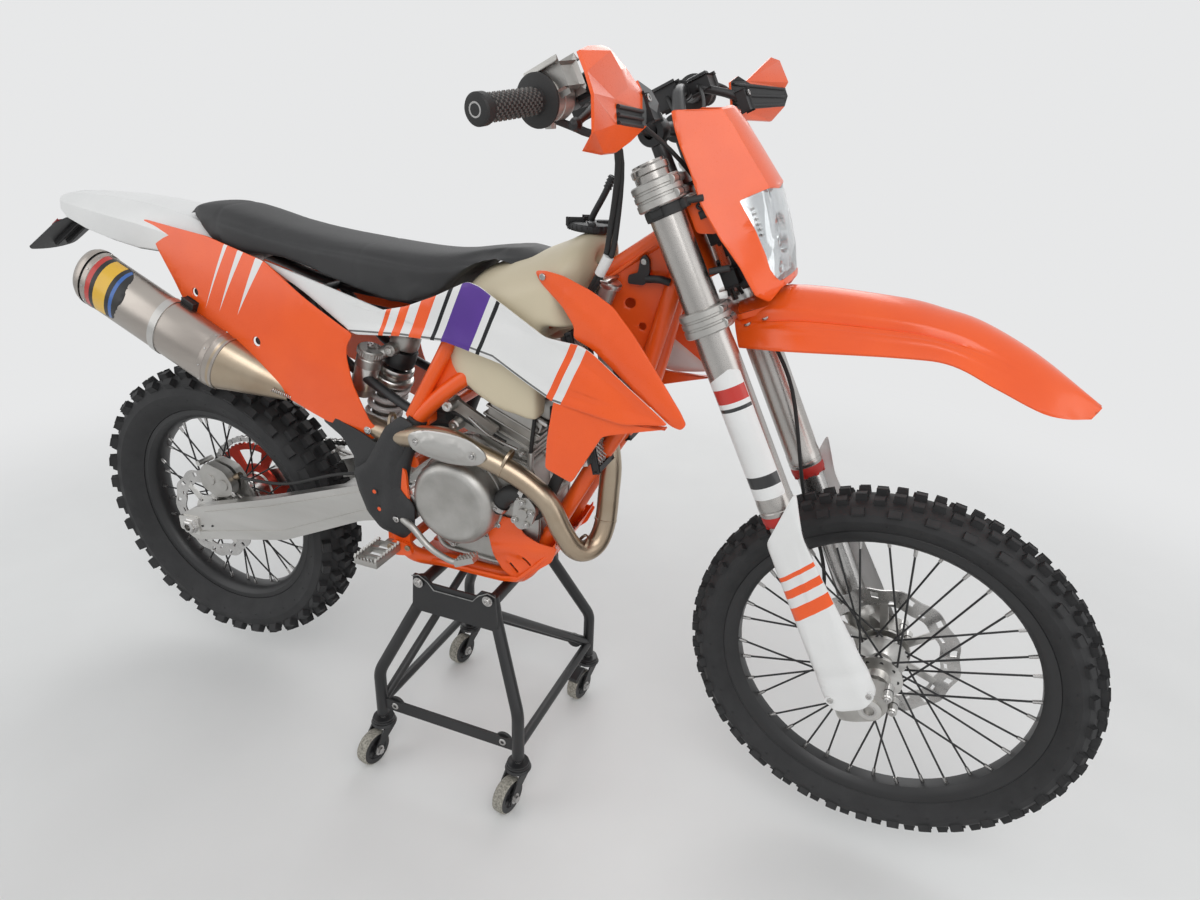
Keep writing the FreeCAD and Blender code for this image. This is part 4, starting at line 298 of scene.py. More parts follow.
class Stock:
    """Points and depths are in metres; radii, sizes, edges and profiles are in millimetres."""

    def __init__(self):
        self.mesh = bmesh.new()
        self.finishes = []

    def paint(self, faces, finish_name, smooth=True):
        if finish_name not in self.finishes:
            self.finishes.append(finish_name)
        for face in faces:
            face.material_index = self.finishes.index(finish_name)
            face.smooth = smooth

    def skin(self, rows, finish_name, closed=True, capped=False, looped=False, smooth=True):
        """A net of quads: closed joins each row's ends, looped joins the last row to the first."""
        net = [[self.mesh.verts.new(point) for point in row] for row in rows]
        faces = []
        count = len(net[0])
        for near, far in zip(net, net[1:] + (net[:1] if looped else [])):
            for index in range(count if closed else count - 1):
                after = (index + 1) % count
                faces.append(self.mesh.faces.new((near[index], near[after], far[after], far[index])))
        if capped:
            faces.append(self.mesh.faces.new(list(reversed(net[0]))))
            faces.append(self.mesh.faces.new(net[-1]))
        self.paint(faces, finish_name, smooth)
        return faces

    def rod(self, start, end, radius, finish_name, end_radius=None, sides=20, chamfer=0.0):
        way = (end - start).normalized()
        first, second = across(way)
        far_radius = (radius if end_radius is None else end_radius) * MM
        radius, chamfer = radius * MM, chamfer * MM
        stations = [(start, radius), (end, far_radius)]
        if chamfer:
            stations = [(start, radius - chamfer), (start + way * chamfer, radius),
                        (end - way * chamfer, far_radius), (end, far_radius - chamfer)]
        rows = [ring_points(place, first, second, size, sides) for place, size in stations]
        return self.skin(rows, finish_name, capped=True)

    def tube(self, points, radius, finish_name, sides=14, capped=True):
        """A round bar along a smooth curve through the points. radius is one value or one for each point."""
        fine = smooth_line(points)
        radii = [size * MM for size in (radius if isinstance(radius, list) else [radius] * len(points))]
        way = (fine[1] - fine[0]).normalized()
        first, second = across(way)
        rows = []
        for index, place in enumerate(fine):
            before = fine[max(index - 1, 0)]
            after = fine[min(index + 1, len(fine) - 1)]
            way = (after - before).normalized()
            first = (first - way * first.dot(way)).normalized()
            second = way.cross(first)
            share = index / (len(fine) - 1) * (len(radii) - 1)
            low = min(int(share), len(radii) - 2) if len(radii) > 1 else 0
            size = radii[low] + (radii[low + 1] - radii[low]) * (share - low)
            rows.append(ring_points(place, first, second, size, sides))
        return self.skin(rows, finish_name, capped=capped)

    def lathe(self, centre, axis, profile, finish_name, sides=48, looped=True):
        """profile is a list of (radius, distance along the axis)."""
        first, second = across(axis)
        rows = [ring_points(centre + axis * (place * MM), first, second, radius * MM, sides) for radius,
                place in profile]
        return self.skin(rows, finish_name, looped=looped)

    def box(self, matrix, size, finish_name, edge=0.0, top=1.0):
        """A block centred on the matrix, its far Z end scaled by top, its edges rounded by edge."""
        size = [value * MM for value in size]
        made = bmesh.ops.create_cube(self.mesh, size=1.0)["verts"]
        for vertex in made:
            scale = top if vertex.co.z > 0 else 1.0
            vertex.co = matrix @ Vector((vertex.co.x * size[0] * scale, vertex.co.y * size[1] * scale,
                                         vertex.co.z * size[2]))
        return self.round_off({face for vertex in made for face in vertex.link_faces}, edge, finish_name)

    def prism(self, outline, depth, finish_name, edge=0.0, smooth=True):
        """A flat outline pushed along depth, its edges rounded by edge."""
        low = [self.mesh.verts.new(point) for point in outline]
        high = [self.mesh.verts.new(point + depth) for point in outline]
        count = len(low)
        faces = {self.mesh.faces.new(list(reversed(low))), self.mesh.faces.new(high)}
        for index in range(count):
            after = (index + 1) % count
            faces.add(self.mesh.faces.new((low[index], low[after], high[after], high[index])))
        return self.round_off(faces, edge, finish_name, smooth)

    def round_off(self, faces, edge, finish_name, smooth=True):
        self.paint(faces, finish_name, smooth)
        if edge:
            sharp = [e for e in {e for face in faces for e in face.edges} if e.calc_face_angle(0) > 0.5]
            made = bmesh.ops.bevel(self.mesh, geom=sharp, offset=edge * MM, segments=2, profile=0.5,
                                   affect="EDGES", clamp_overlap=True)
            self.paint(made["faces"], finish_name, smooth)
        return faces

    def bolt(self, place, way, radius, finish_name="steel", height=None):
        """A cap screw with a hollow hexagon, its head standing on the place along way."""
        radius *= MM
        tall = height * MM if height else radius * 0.8
        first, second = across(way)
        top = place + way * tall
        rows = [ring_points(place, first, second, radius, 16), ring_points(top - way * tall * 0.2, first,
                                                                           second, radius, 16),
                ring_points(top, first, second, radius * 0.86, 16)]
        self.skin(rows, finish_name)
        rim = ring_points(top, first, second, radius * 0.86, 12)
        hexagon = ring_points(top, first, second, radius * 0.5, 12)
        floor = ring_points(top - way * tall * 0.5, first, second, radius * 0.48, 12)
        self.skin([rim, hexagon, floor, ring_points(top - way * tall * 0.5, first, second, radius * 0.05,
                                                    12)], finish_name)

    def done(self, name, body, replaced=(), sharp=35.0):
        bmesh.ops.recalc_face_normals(self.mesh, faces=self.mesh.faces)
        mesh = bpy.data.meshes.new(name)
        self.mesh.to_mesh(mesh)
        self.mesh.free()
        for finish_name in self.finishes:
            mesh.materials.append(mat[finish_name])
        mesh.set_sharp_from_angle(angle=math.radians(sharp))
        thing = bpy.data.objects.new(name, mesh)
        bpy.context.scene.collection.objects.link(thing)
        if body:
            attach(thing, body)
        if replaced:
            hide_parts(*replaced)
        return thing


def smooth_line(points, steps=6):
    """Points on a curve that passes through all the given ones."""
    if len(points) < 3:
        return list(points)
    held = [points[0] * 2 - points[1]] + list(points) + [points[-1] * 2 - points[-2]]
    line = []
    for index in range(1, len(held) - 2):
        a, b, c, d = held[index - 1:index + 3]
        for step in range(steps):
            t = step / steps
            line.append((b * 2 + (c - a) * t + (a * 2 - b * 5 + c * 4 - d) * t ** 2
                         + (b * 3 - a - c * 3 + d) * t ** 3) * 0.5)
    line.append(points[-1])
    return line


def hose(name, points, radius, finish_name, body, sides=12):
    stock = Stock()
    stock.tube(points, radius, finish_name, sides)
    return stock.done(name, body)


# Wheels: tyre with its knobs, rim with spokes and nipples, hub with disc
def spoke_way(frame_matrix, angle):
    turn = Vector((math.cos(angle), 0, math.sin(angle)))
    return (frame_matrix.to_3x3() @ turn).normalized()


def tyre(name, wheel, body, node, crown, half, bead, knob_rows, pitches):
    """A knob row holds its share of the half width, lean, foot radius, height, length, width and shift."""
    axis = (wheel.to_3x3() @ LEFT).normalized()
    centre = wheel.translation
    stock = Stock()
    depth = crown - bead
    wall = [(0.0, -0.50), (0.12, -0.62), (0.30, -0.84), (0.50, -0.93), (0.70, -0.88), (0.86, -0.70),
            (0.96, -0.40)]
    profile = [(bead + depth * share, y * half) for share, y in wall] + [(crown, 0.0)]
    stock.lathe(centre, axis, profile + [(r, -y) for r, y in reversed(profile[:-1])], "tyre", sides=96)
    for share, lean, base, height, long, wide, offset in knob_rows:
        for side in (-1, 1):
            for index in range(pitches):
                out = spoke_way(wheel, math.tau * (index + offset + 0.25 * side) / pitches)
                tilt = math.radians(lean) * side
                normal = out * math.cos(tilt) + axis * math.sin(tilt)
                flat = axis * math.cos(tilt) - out * math.sin(tilt)
                place = centre + out * (base * MM) + axis * (share * half * side * MM)
                matrix = basis(place + normal * (height * MM) * 0.35, out.cross(axis).normalized(), flat,
                               normal)
                stock.box(matrix, (long, wide, height * 1.3), "tyre", 1.1, 0.86)
    for side in (-1, 1):
        for index in range(pitches):
            out = spoke_way(wheel, math.tau * index / pitches)
            place = centre + out * ((bead + depth * 0.46) * MM) + axis * (half * 0.86 * side * MM)
            matrix = basis(place, out.cross(axis).normalized(), axis, out)
            stock.box(matrix, (2.2, 2.2, depth * 0.20), "tyre", 0.5)
    return stock.done(name, body, [node], 28.0)


def rim(name, wheel, body, node, bead, half, hub_radius, hub_half):
    axis = (wheel.to_3x3() @ LEFT).normalized()
    centre = wheel.translation
    lip = bead + 13.0
    stock = Stock()
    well = bead - 8.0
    outer = [(lip, half - 3.0), (lip + 1.2, half - 1.0), (lip, half), (bead + 3, half),
             (bead - 4.0, half * 0.86), (well - 3.5, half * 0.5), (well - 5.0, 0.0)]
    inner = [(bead, half - 3.5), (bead, half * 0.62), (well, half * 0.42), (well, 0.0)]
    section = outer + [(r, -y) for r, y in reversed(outer[:-1])]
    section += [(r, -y) for r, y in inner] + [(r, y) for r, y in reversed(inner[:-1])]
    stock.lathe(centre, axis, section, "coat", sides=96)
    spokes = 36
    for index in range(spokes):
        side = 1 if index % 2 else -1
        cross = 1 if (index // 2) % 2 else -1
        rim_angle = math.tau * index / spokes
        hub_angle = rim_angle - cross * math.radians(38.0)
        start = centre + spoke_way(wheel, hub_angle) * (hub_radius * MM) + axis * (side * hub_half * MM)
        end = centre + spoke_way(wheel, rim_angle) * ((well - 4.0) * MM) + axis * (side * half * 0.20 * MM)
        way = (end - start).normalized()
        stock.rod(start, end, 1.9, "coat", sides=8)
        stock.rod(end - way * 15.0 * MM, end + way * 1.0 * MM, 3.1, "steel", 3.6, sides=8)
    return stock.done(name, body, [node], 30.0)


def ring_net(stock, place, rows, around, is_open, finish_name):
    """A doubled net of quads: place(row, index, side) gives its points, is_open(row, index) its windows."""
    nets = [[[stock.mesh.verts.new(place(row, index, side)) for index in range(around)]
             for row in range(rows)] for side in (-1, 1)]
    low, high = nets

    def solid(row, index):
        return 0 <= row < rows - 1 and not is_open(row, index % around)

    corners = []
    for row in range(rows - 1):
        for index in range(around):
            if not solid(row, index):
                continue
            after = (index + 1) % around
            for net in nets:
                corners.append((net[row][index], net[row][after], net[row + 1][after], net[row + 1][index]))
            if not solid(row - 1, index):
                corners.append((low[row][index], low[row][after], high[row][after], high[row][index]))
            if not solid(row + 1, index):
                corners.append((low[row + 1][index], low[row + 1][after], high[row + 1][after],
                                high[row + 1][index]))
            if not solid(row, index - 1):
                corners.append((low[row][index], low[row + 1][index], high[row + 1][index], high[row][index]))
            if not solid(row, index + 1):
                corners.append((low[row][after], low[row + 1][after], high[row + 1][after], high[row][after]))
    stock.paint([stock.mesh.faces.new(quad) for quad in corners], finish_name, False)
    for vertex in [v for net in nets for ring in net for v in ring if not v.link_faces]:
        stock.mesh.verts.remove(vertex)


def disc(stock, centre, axis, wheel, radius, inner, thick):
    """A wave brake disc with its slots left open."""
    around = 120
    rows = 7

    def place(row, index, side):
        angle = math.tau * index / around
        wave = 1.0 + 0.022 * math.cos(angle * 12)
        size = (inner + (radius - inner) * (row / (rows - 1))) * wave
        return centre + spoke_way(wheel, angle) * (size * MM) + axis * (thick * MM) * (0.5 * side)

    def is_open(row, index):
        return (row == 1 and index % 10 in (1, 2)) or (row in (3, 4) and index % 10 in (6, 7))

    ring_net(stock, place, rows, around, is_open, "steel")


def hub(name, wheel, body, node, reach, flange_half, disc_radius, disc_inner, disc_side):
    axis = (wheel.to_3x3() @ LEFT).normalized()
    centre = wheel.translation
    stock = Stock()
    flange = 43.0
    barrel = 20.0
    profile = [(13.0, -reach), (24.0, -reach), (24.0, -flange_half - 8), (flange, -flange_half - 4),
               (flange, -flange_half + 3), (32.0, -flange_half + 7), (barrel, -flange_half * 0.45)]
    profile += [(r, -y) for r, y in reversed(profile)]
    stock.lathe(centre, axis, profile, "machined")
    for side in (-1, 1):
        for index in range(9):
            spot = centre + spoke_way(wheel, math.tau * (index + 0.5) / 9) * 34 * MM
            stock.rod(spot + axis * side * ((flange_half + 2) * MM),
                      spot + axis * side * ((flange_half + 6) * MM), 3.4, "coat", sides=10)
    disc_centre = centre + axis * (disc_side * MM)
    disc(stock, disc_centre, axis, wheel, disc_radius, disc_inner, 3.2)
    sign = 1 if disc_side > 0 else -1
    for index in range(6):
        angle = math.tau * index / 6
        arm = ((0.0, 36), (0.16, disc_inner + 5), (0.30, disc_inner + 5), (0.42, 36))
        stock.prism([disc_centre + spoke_way(wheel, angle + ahead) * (radius * MM) - axis * 2 * MM for ahead,
                     radius in arm], axis * 4 * MM, "machined", 0.8)
        stock.bolt(disc_centre + spoke_way(wheel, angle + 0.21) * 42 * MM + axis * sign * 2 * MM, axis * sign,
                   5.0, "steel", 3.0)
    stock.lathe(disc_centre, axis, [(25, -3), (46, -3), (46, 3), (25, 3)], "machined", sides=40)
    return stock.done(name, body, [node], 32.0)


front_wheel = basis(front_axle, lead_axis, side_axis, steer_axis)
rear_wheel = upright(rear_axle)
front_knobs = ((0.20, 4.0, 336.5, 11, 18, 14, 0.0), (0.42, 18.0, 333.0, 12, 17, 14, 0.5),
               (0.74, 46.0, 320.0, 13, 20, 14, 0.05))
rear_knobs = ((0.17, 3.0, 325.0, 14, 21, 23, 0.0), (0.46, 15.0, 321.5, 14, 22, 21, 0.5),
              (0.76, 42.0, 308.0, 15, 26, 19, 0.02))
tyre("front_tyre_knobbed", front_wheel, "front_wheel", "front_tyre", 336.5, 44.5, 282.5, front_knobs, 36)
tyre("rear_tyre_knobbed", rear_wheel, "rear_wheel", "rear_tyre", 325.5, 65.0, 243.5, rear_knobs, 34)
rim("front_rim_spoked", front_wheel, "front_wheel", "front_rim", 268.3, 23.5, 42, 30)
rim("rear_rim_spoked", rear_wheel, "rear_wheel", "rear_rim", 229.1, 31.0, 42, 34)
hub("front_hub_turned", front_wheel, "front_wheel", "front_hub", 58, 30, 130, 96, 50)
hub("rear_hub_turned", rear_wheel, "rear_wheel", "rear_hub", 70, 34, 110, 80, -62)


# Bodywork panels: outlines in the bike's millimetres seen from the side, with graphics cut into the mesh
def through(table, share):
    """A smooth value through a table's (share, value) pairs."""
    total = 0.0
    for index, (place, value) in enumerate(table):
        weight = 1.0
        for other, (there, _) in enumerate(table):
            if other != index:
                weight *= (share - there) / (place - there)
        total += weight * value
    return total


def rounded_line(points, radius, steps=4):
    """A closed outline of (u, v) pairs with each corner rounded."""
    line = []
    count = len(points)
    for index in range(count):
        corner = Vector(points[index])
        back = Vector(points[index - 1]) - corner
        ahead = Vector(points[(index + 1) % count]) - corner
        reach = min(radius, back.length * 0.42, ahead.length * 0.42)
        start = corner + back.normalized() * reach
        end = corner + ahead.normalized() * reach
        for step in range(steps + 1):
            t = step / steps
            line.append(tuple(start * (1 - t) ** 2 + corner * (2 * t * (1 - t)) + end * t ** 2))
    return line


def inside(point, polygon):
    held = False
    for index in range(len(polygon)):
        (x0, y0), (x1, y1) = polygon[index - 1], polygon[index]
        if (y0 > point[1]) != (y1 > point[1]):
            if point[0] < (x1 - x0) * (point[1] - y0) / (y1 - y0) + x0:
                held = not held
    return held


def line_distance(point, line):
    best = 1e9
    for start, end in zip(line, line[1:]):
        a, b, p = Vector(start), Vector(end), Vector(point)
        span = b - a
        t = max(0.0, min(1.0, (p - a).dot(span) / max(span.dot(span), 1e-9)))
        best = min(best, (p - a - span * t).length)
    return best


def cut_net(outline, cell, regions, holes=()):
    """A flat net of faces inside the outline, cut along a grid and along the regions' own edges."""
    flat = bmesh.new()
    flat.faces.new([flat.verts.new((u, v, 0)) for u, v in outline])
    bmesh.ops.recalc_face_normals(flat, faces=flat.faces)
    bmesh.ops.inset_region(flat, faces=flat.faces[:], thickness=2.6, use_even_offset=True, use_boundary=True)
    us = [u for u, v in outline]
    vs = [v for u, v in outline]

    def bisect(place, normal):
        bmesh.ops.bisect_plane(flat, geom=flat.verts[:] + flat.edges[:] + flat.faces[:], dist=0.01,
                               plane_co=place, plane_no=normal)

    bmesh.ops.triangulate(flat, faces=[face for face in flat.faces if len(face.verts) > 4])
    for low, high, way in ((min(us), max(us), (1, 0, 0)), (min(vs), max(vs), (0, 1, 0))):
        place = low + cell
        while place < high:
            bisect((place * way[0], place * way[1], 0), way)
            place += cell
    for polygon in [polygon for name, polygon in regions] + list(holes):
        for index in range(len(polygon)):
            a, b = Vector(polygon[index - 1]), Vector(polygon[index])
            near = [face for face in flat.faces if crosses(face, a, b)]
            around = {v for face in near for v in face.verts} | {e for face in near for e in face.edges}
            bmesh.ops.bisect_plane(flat, geom=list(around) + near, dist=0.01, plane_co=(a.x, a.y, 0),
                                   plane_no=(b.y - a.y, a.x - b.x, 0))
    for polygon in holes:
        gone = [face for face in flat.faces if inside(face.calc_center_median()[:2], polygon)]
        bmesh.ops.delete(flat, geom=gone, context="FACES")
    return flat


def crosses(face, a, b):
    """True where the face's box, grown a little, meets the box of the run from a to b."""
    us = [v.co.x for v in face.verts]
    vs = [v.co.y for v in face.verts]
    return (min(us) - 1 < max(a.x, b.x) and max(us) + 1 > min(a.x, b.x) and min(vs) - 1 < max(a.y, b.y)
            and max(vs) + 1 > min(a.y, b.y))


def panel(stock, outline, cell, place, finish_name, regions=(), holes=(), thick=3.0, flip=False):
    """Adds a sheet whose points place(u, v, depth) gives, depth growing inward from the outer face."""
    flat = cut_net(outline, cell, regions, holes)
    outer = {}
    inner = {}
    edge = {}
    for vertex in flat.verts:
        u, v = vertex.co.x, vertex.co.y
        rim = any(e.is_boundary for e in vertex.link_edges)
        outer[vertex] = stock.mesh.verts.new(place(u, v, 0.9 if rim else 0.0))
        if rim:
            edge[vertex] = stock.mesh.verts.new(place(u, v, thick))
    for vertex in flat.verts:
        inner[vertex] = edge.get(vertex) or stock.mesh.verts.new(place(vertex.co.x, vertex.co.y, thick))
    for face in flat.faces:
        centre = face.calc_center_median()
        name = finish_name
        for region_name, polygon in regions:
            if inside(centre[:2], polygon):
                name = region_name
        stock.paint([stock.mesh.faces.new([outer[v] for v in face.verts])], name)
        stock.paint([stock.mesh.faces.new([inner[v] for v in reversed(face.verts)])], finish_name)
    for side in flat.edges:
        if side.is_boundary:
            a, b = side.verts
            stock.paint([stock.mesh.faces.new((outer[a], outer[b], inner[b], inner[a]))], finish_name)
    flat.free()


def strip(line, wide):
    """A band of the given width along a line of (u, v) pairs, as a closed polygon."""
    left, right = [], []
    for index, point in enumerate(line):
        before = Vector(line[max(index - 1, 0)])
        after = Vector(line[min(index + 1, len(line) - 1)])
        way = (after - before).normalized()
        normal = Vector((-way.y, way.x)) * (wide / 2)
        left.append(tuple(Vector(point) + normal))
        right.append(tuple(Vector(point) - normal))
    return left + right[::-1]


def slash(start, wide, low, high, lean):
    """A leaned bar from low to high, lying the lean farther ahead at its high end."""
    return [(start, low), (start + wide, low), (start + wide + lean, high), (start + lean, high)]


def ring_bar(start, wide):
    """A bar right across a label that is wrapped round a tube."""
    return [(start, -60), (start, 160), (start + wide, 160), (start + wide, -60)]


def circle(centre, radius, sides=20):
    return [(centre[0] + radius * math.cos(math.tau * i / sides),
             centre[1] + radius * math.sin(math.tau * i / sides)) for i in range(sides)]


BODY_HALF = 95.0
side_panel_low = ((0.0, 0.86), (0.5, 1.22), (1.0, 1.10))
side_panel_top = ((0.0, 0.70), (0.5, 0.90), (1.0, 0.86))
band_sides = ((0.0, 1.06), (0.35, 1.22), (0.6, 1.45), (1.0, 1.62))
wing_sides = ((0.0, 1.28), (0.5, 1.46), (1.0, 1.58))


def side_panel_half(x, z):
    u = (x + 65.0) / 630.0
    v = (z - 625.0) / 400.0
    low = through(side_panel_low, u)
    return BODY_HALF * through(((0.0, low), (0.5, low * 1.03), (1.0, through(side_panel_top, u))), v)


def band_half(x, z):
    u = (x - 250.0) / 872.0
    v = (z - 760.0) / 240.0
    return BODY_HALF * through(band_sides, u) * through(((0.0, 1.0), (0.5, 0.98), (1.0, 0.90)), v)


def wing_half(x, z):
    u = (x - 831.0) / 317.0
    v = (z - 780.0) / 245.0
    return BODY_HALF * through(wing_sides, u) * through(((0.0, 1.0), (0.5, 0.99), (1.0, 0.92)), v)


def soft(distance, reach):
    """1 on a line, falling smoothly to 0 at the reach."""
    share = max(0.0, 1.0 - distance / reach)
    return share * share * (3 - 2 * share)


def side_panels():
    outline = rounded_line([(-44, 1003), (137, 988), (284, 957), (369, 905), (455, 857), (480, 846),
                            (466, 826), (464, 805), (474, 752), (503, 680), (520, 664), (512, 646),
                            (489, 640), (413, 664), (299, 706), (171, 740), (105, 800), (41, 896)], 12.0)
    regions = [("white", [(start, 1012), (start + wide, 1012), (start - 70, 850)]) for start,
               wide in ((200, 12), (238, 20), (286, 30))]
    holes = [circle((103, 878), 8.5), circle((259, 804), 9.5)]
    stock = Stock()
    dish = [(330, 720), (352, 800), (440, 850)]
    for side in (-1, 1):
        def place(x, z, depth):
            bulge = 3.0 * soft(line_distance((x, z), dish), 70.0)
            return bike(x, side * (side_panel_half(x, z) - depth - bulge), z)
        panel(stock, outline, 26.0, place, "orange", regions, holes)
        for x, z in ((103, 878), (259, 804)):
            centre = place(x, z, 6.0)
            stock.rod(centre, centre - Vector((0, side, 0)) * 14 * MM, 7.5, "black", sides=16)
        way = Vector((0, side, 0))
        spot = place(497, 661, -0.4)
        stock.rod(spot - way * 3 * MM, spot + way * 1.2 * MM, 8.0, "steel", chamfer=0.5)
        stock.bolt(spot + way * 1.0 * MM, way, 5.0, "steel", 2.6)
    stock.done("side_panels_shaped", "chassis", ["side_panels"], 40.0)


def shroud_bands():
    outline = rounded_line([(270, 955), (366, 927), (460, 906), (540, 898), (600, 914), (662, 940),
                            (728, 973), (752, 968), (801, 943), (879, 903), (943, 900), (965, 890),
                            (1100, 796), (1023, 783), (899, 799), (851, 821), (783, 854), (701, 866),
                            (590, 860), (483, 846), (455, 858), (369, 907)], 9.0)
    piping = [(470, 852), (590, 864), (701, 870), (783, 858), (851, 825), (899, 803), (1023, 787),
              (1090, 794)]
    bars = [("orange", 502, 10), ("orange", 530, 18), ("orange", 568, 26), ("plug", 614, 8),
            ("violet", 636, 62), ("plug", 712, 8), ("orange", 872, 13), ("orange", 902, 260)]
    regions = [("grey", strip(piping, 3.4))]
    regions += [(colour, slash(start, wide, 770, 990, 92)) for colour, start, wide in bars]
    scoop = [(800, 925), (900, 880), (960, 872), (1060, 800)]
    stock = Stock()
    for side in (-1, 1):
        def place(x, z, depth):
            dip = 4.0 * soft(line_distance((x, z), scoop), 26.0)
            roll = 2.5 * soft(line_distance((x, z), piping), 16.0)
            return bike(x, side * (band_half(x, z) - depth - dip + roll - 1.0), z)
        panel(stock, outline, 22.0, place, "white", regions)
    stock.done("shroud_bands_shaped", "chassis", ["shroud_bands"], 40.0)


def shroud_wings():
    outline = rounded_line([(849, 1003), (868, 1006), (901, 1001), (951, 984), (991, 964), (1027, 928),
                            (1073, 872), (1116, 818), (1127, 800), (1119, 790), (1101, 793), (959, 893),
                            (924, 906), (925, 924), (902, 954), (862, 985)], 8.0)
    low_outline = rounded_line([(900, 801), (888, 728), (885, 675), (934, 657), (943, 674), (986, 752),
                                (1000, 758), (1053, 774), (1098, 787), (1010, 785)], 7.0)
    crease = [(868, 1000), (940, 950), (985, 915), (1060, 845), (1118, 798)]
    stock = Stock()
    for side in (-1, 1):
        def place(x, z, depth):
            ridge = 4.5 * soft(line_distance((x, z), crease), 34.0)
            return bike(x, side * (wing_half(x, z) - depth + ridge - 2.0), z)

        def low_place(x, z, depth):
            lean = 0.05 * (780.0 - z)
            return bike(x, side * (148.0 - depth - lean * 0.4), z)
        panel(stock, outline, 18.0, place, "orange")
        panel(stock, low_outline, 18.0, low_place, "orange", thick=9.0)
        way = Vector((0, side, 0))
        spot = place(866, 996, -0.5)
        stock.bolt(spot, way, 5.5, "steel", 2.8)
        stock.rod(place(1000, 800, 4.0), low_place(990, 790, 4.0), 5, "orange")
    stock.done("shroud_wings_shaped", "chassis", ["shroud_wings"], 40.0)


side_panels()
shroud_bands()
shroud_wings()


# Tail: a white fender with a creased shoulder, its black tray, the plate holder and its lamp
def tail():
    stations = ((-315, 1030, 1021, 37, 24), (-290, 1034, 1018, 46, 34), (-231, 1038, 1013, 55, 44),
                (-150, 1038, 1006, 65, 50), (-63, 1034, 1000, 76, 52), (0, 1028, 992, 80, 44),
                (60, 1018, 980, 84, 36), (150, 990, 948, 86, 34), (240, 957, 905, 88, 40))
    rows, under = [], []
    for x, crown, shoulder, half, wall in stations:
        top = [(-half - 3, shoulder - wall), (-half - 1, shoulder - 6), (-half + 3, shoulder + 1),
               (-half * 0.6, crown - 3), (0, crown), (half * 0.6, crown - 3), (half - 3, shoulder + 1),
               (half + 1, shoulder - 6), (half + 3, shoulder - wall)]
        rows.append([bike(x, y, z) for y, z in top])
        under.append([bike(x, y * (half - 1.0) / (half + 2.0), z - 3.0) for y, z in top])
    stock = Stock()
    outer = [row + list(reversed(low)) for row, low in zip(rows, under)]
    stock.skin(outer, "white")
    for row, low in ((rows[0], under[0]), (rows[-1], under[-1])):
        for index in range(len(row) - 1):
            made = [stock.mesh.verts.new(p) for p in (row[index], row[index + 1], low[index + 1], low[index])]
            stock.paint([stock.mesh.faces.new(made)], "white")
    bmesh.ops.remove_doubles(stock.mesh, verts=stock.mesh.verts[:], dist=0.00001)
    stock.done("rear_fender_shaped", "chassis", ["rear_fender"], 24.0)
    tray = Stock()
    for side in (-1, 1):
        outline = [bike(x, side * (half - 2), shoulder - wall + 3) for x, crown, shoulder, half,
                   wall in stations[:7]]
        low = [p - Vector((0, side * 4 * MM, 9 * MM)) for p in outline]
        inner = [p - Vector((0, side * 22 * MM, -2 * MM)) for p in outline]
        tray.skin([outline, low, inner], "black", closed=False)
    tray.done("tail_tray", "chassis")


def plate_holder():
    root, tip = bike(-205, 0, 1042), bike(-424, 0, 902)
    down = (tip - root).normalized()
    out = down.cross(LEFT).normalized()
    out = out if out.x < 0 else -out
    reach = (tip - root).length / MM

    def place(u, v, depth):
        curl = 6.0 * (abs(v) / 58.0) ** 2
        return root + down * (u * MM) + LEFT * (v * MM) + out * ((-depth + curl * (u / reach) - 0.5) * MM)

    stock = Stock()
    outline = rounded_line([(84, 24), (reach * 0.38, 27), (reach * 0.52, 57), (reach * 0.97, 57),
                            (reach - 1, 50), (reach - 1, -50), (reach * 0.97, -57), (reach * 0.52, -57),
                            (reach * 0.38, -27), (84, -24)], 8.0)
    panel(stock, outline, 16.0, place, "black", thick=3.5)
    for v in (-14, 14):
        rib = basis(place(reach * 0.62, v, 7.0), down, LEFT, out)
        stock.box(rib, (reach * 0.5, 4, 9), "black", 1.0)
    for u in (0.6, 0.9):
        stock.bolt(place(reach * u, 0, -6.0), out, 4.5, "steel", 3)
    stock.done("plate_holder_ribbed", "chassis", ["plate_holder"])
    lamp = Stock()
    middle = root + down * (0.66 * reach * MM) + out * 9 * MM
    lamp.box(basis(middle, down, LEFT, out), (22, 62, 15), "red_lens", 3.5, 0.9)
    lamp.box(basis(middle - out * 6 * MM, down, LEFT, out), (24, 64, 6), "black", 2.0)
    for v in (-20, 0, 20):
        lamp.lathe(middle + LEFT * v * MM - out * 2 * MM, out, [(1, 0), (8, 3), (7, 0)], "steel", 16)
    lamp.done("tail_lamp_cased", "chassis", ["tail_lamp"])


tail()
plate_holder()


# Final drive: separate links round both sprockets, and the toothed sprocket with its windows
REAR_PITCH = 131.47
FRONT_PITCH = 35.67
CHAIN_SIDE = 84.0
shaft = Vector((656.0, 543.0))


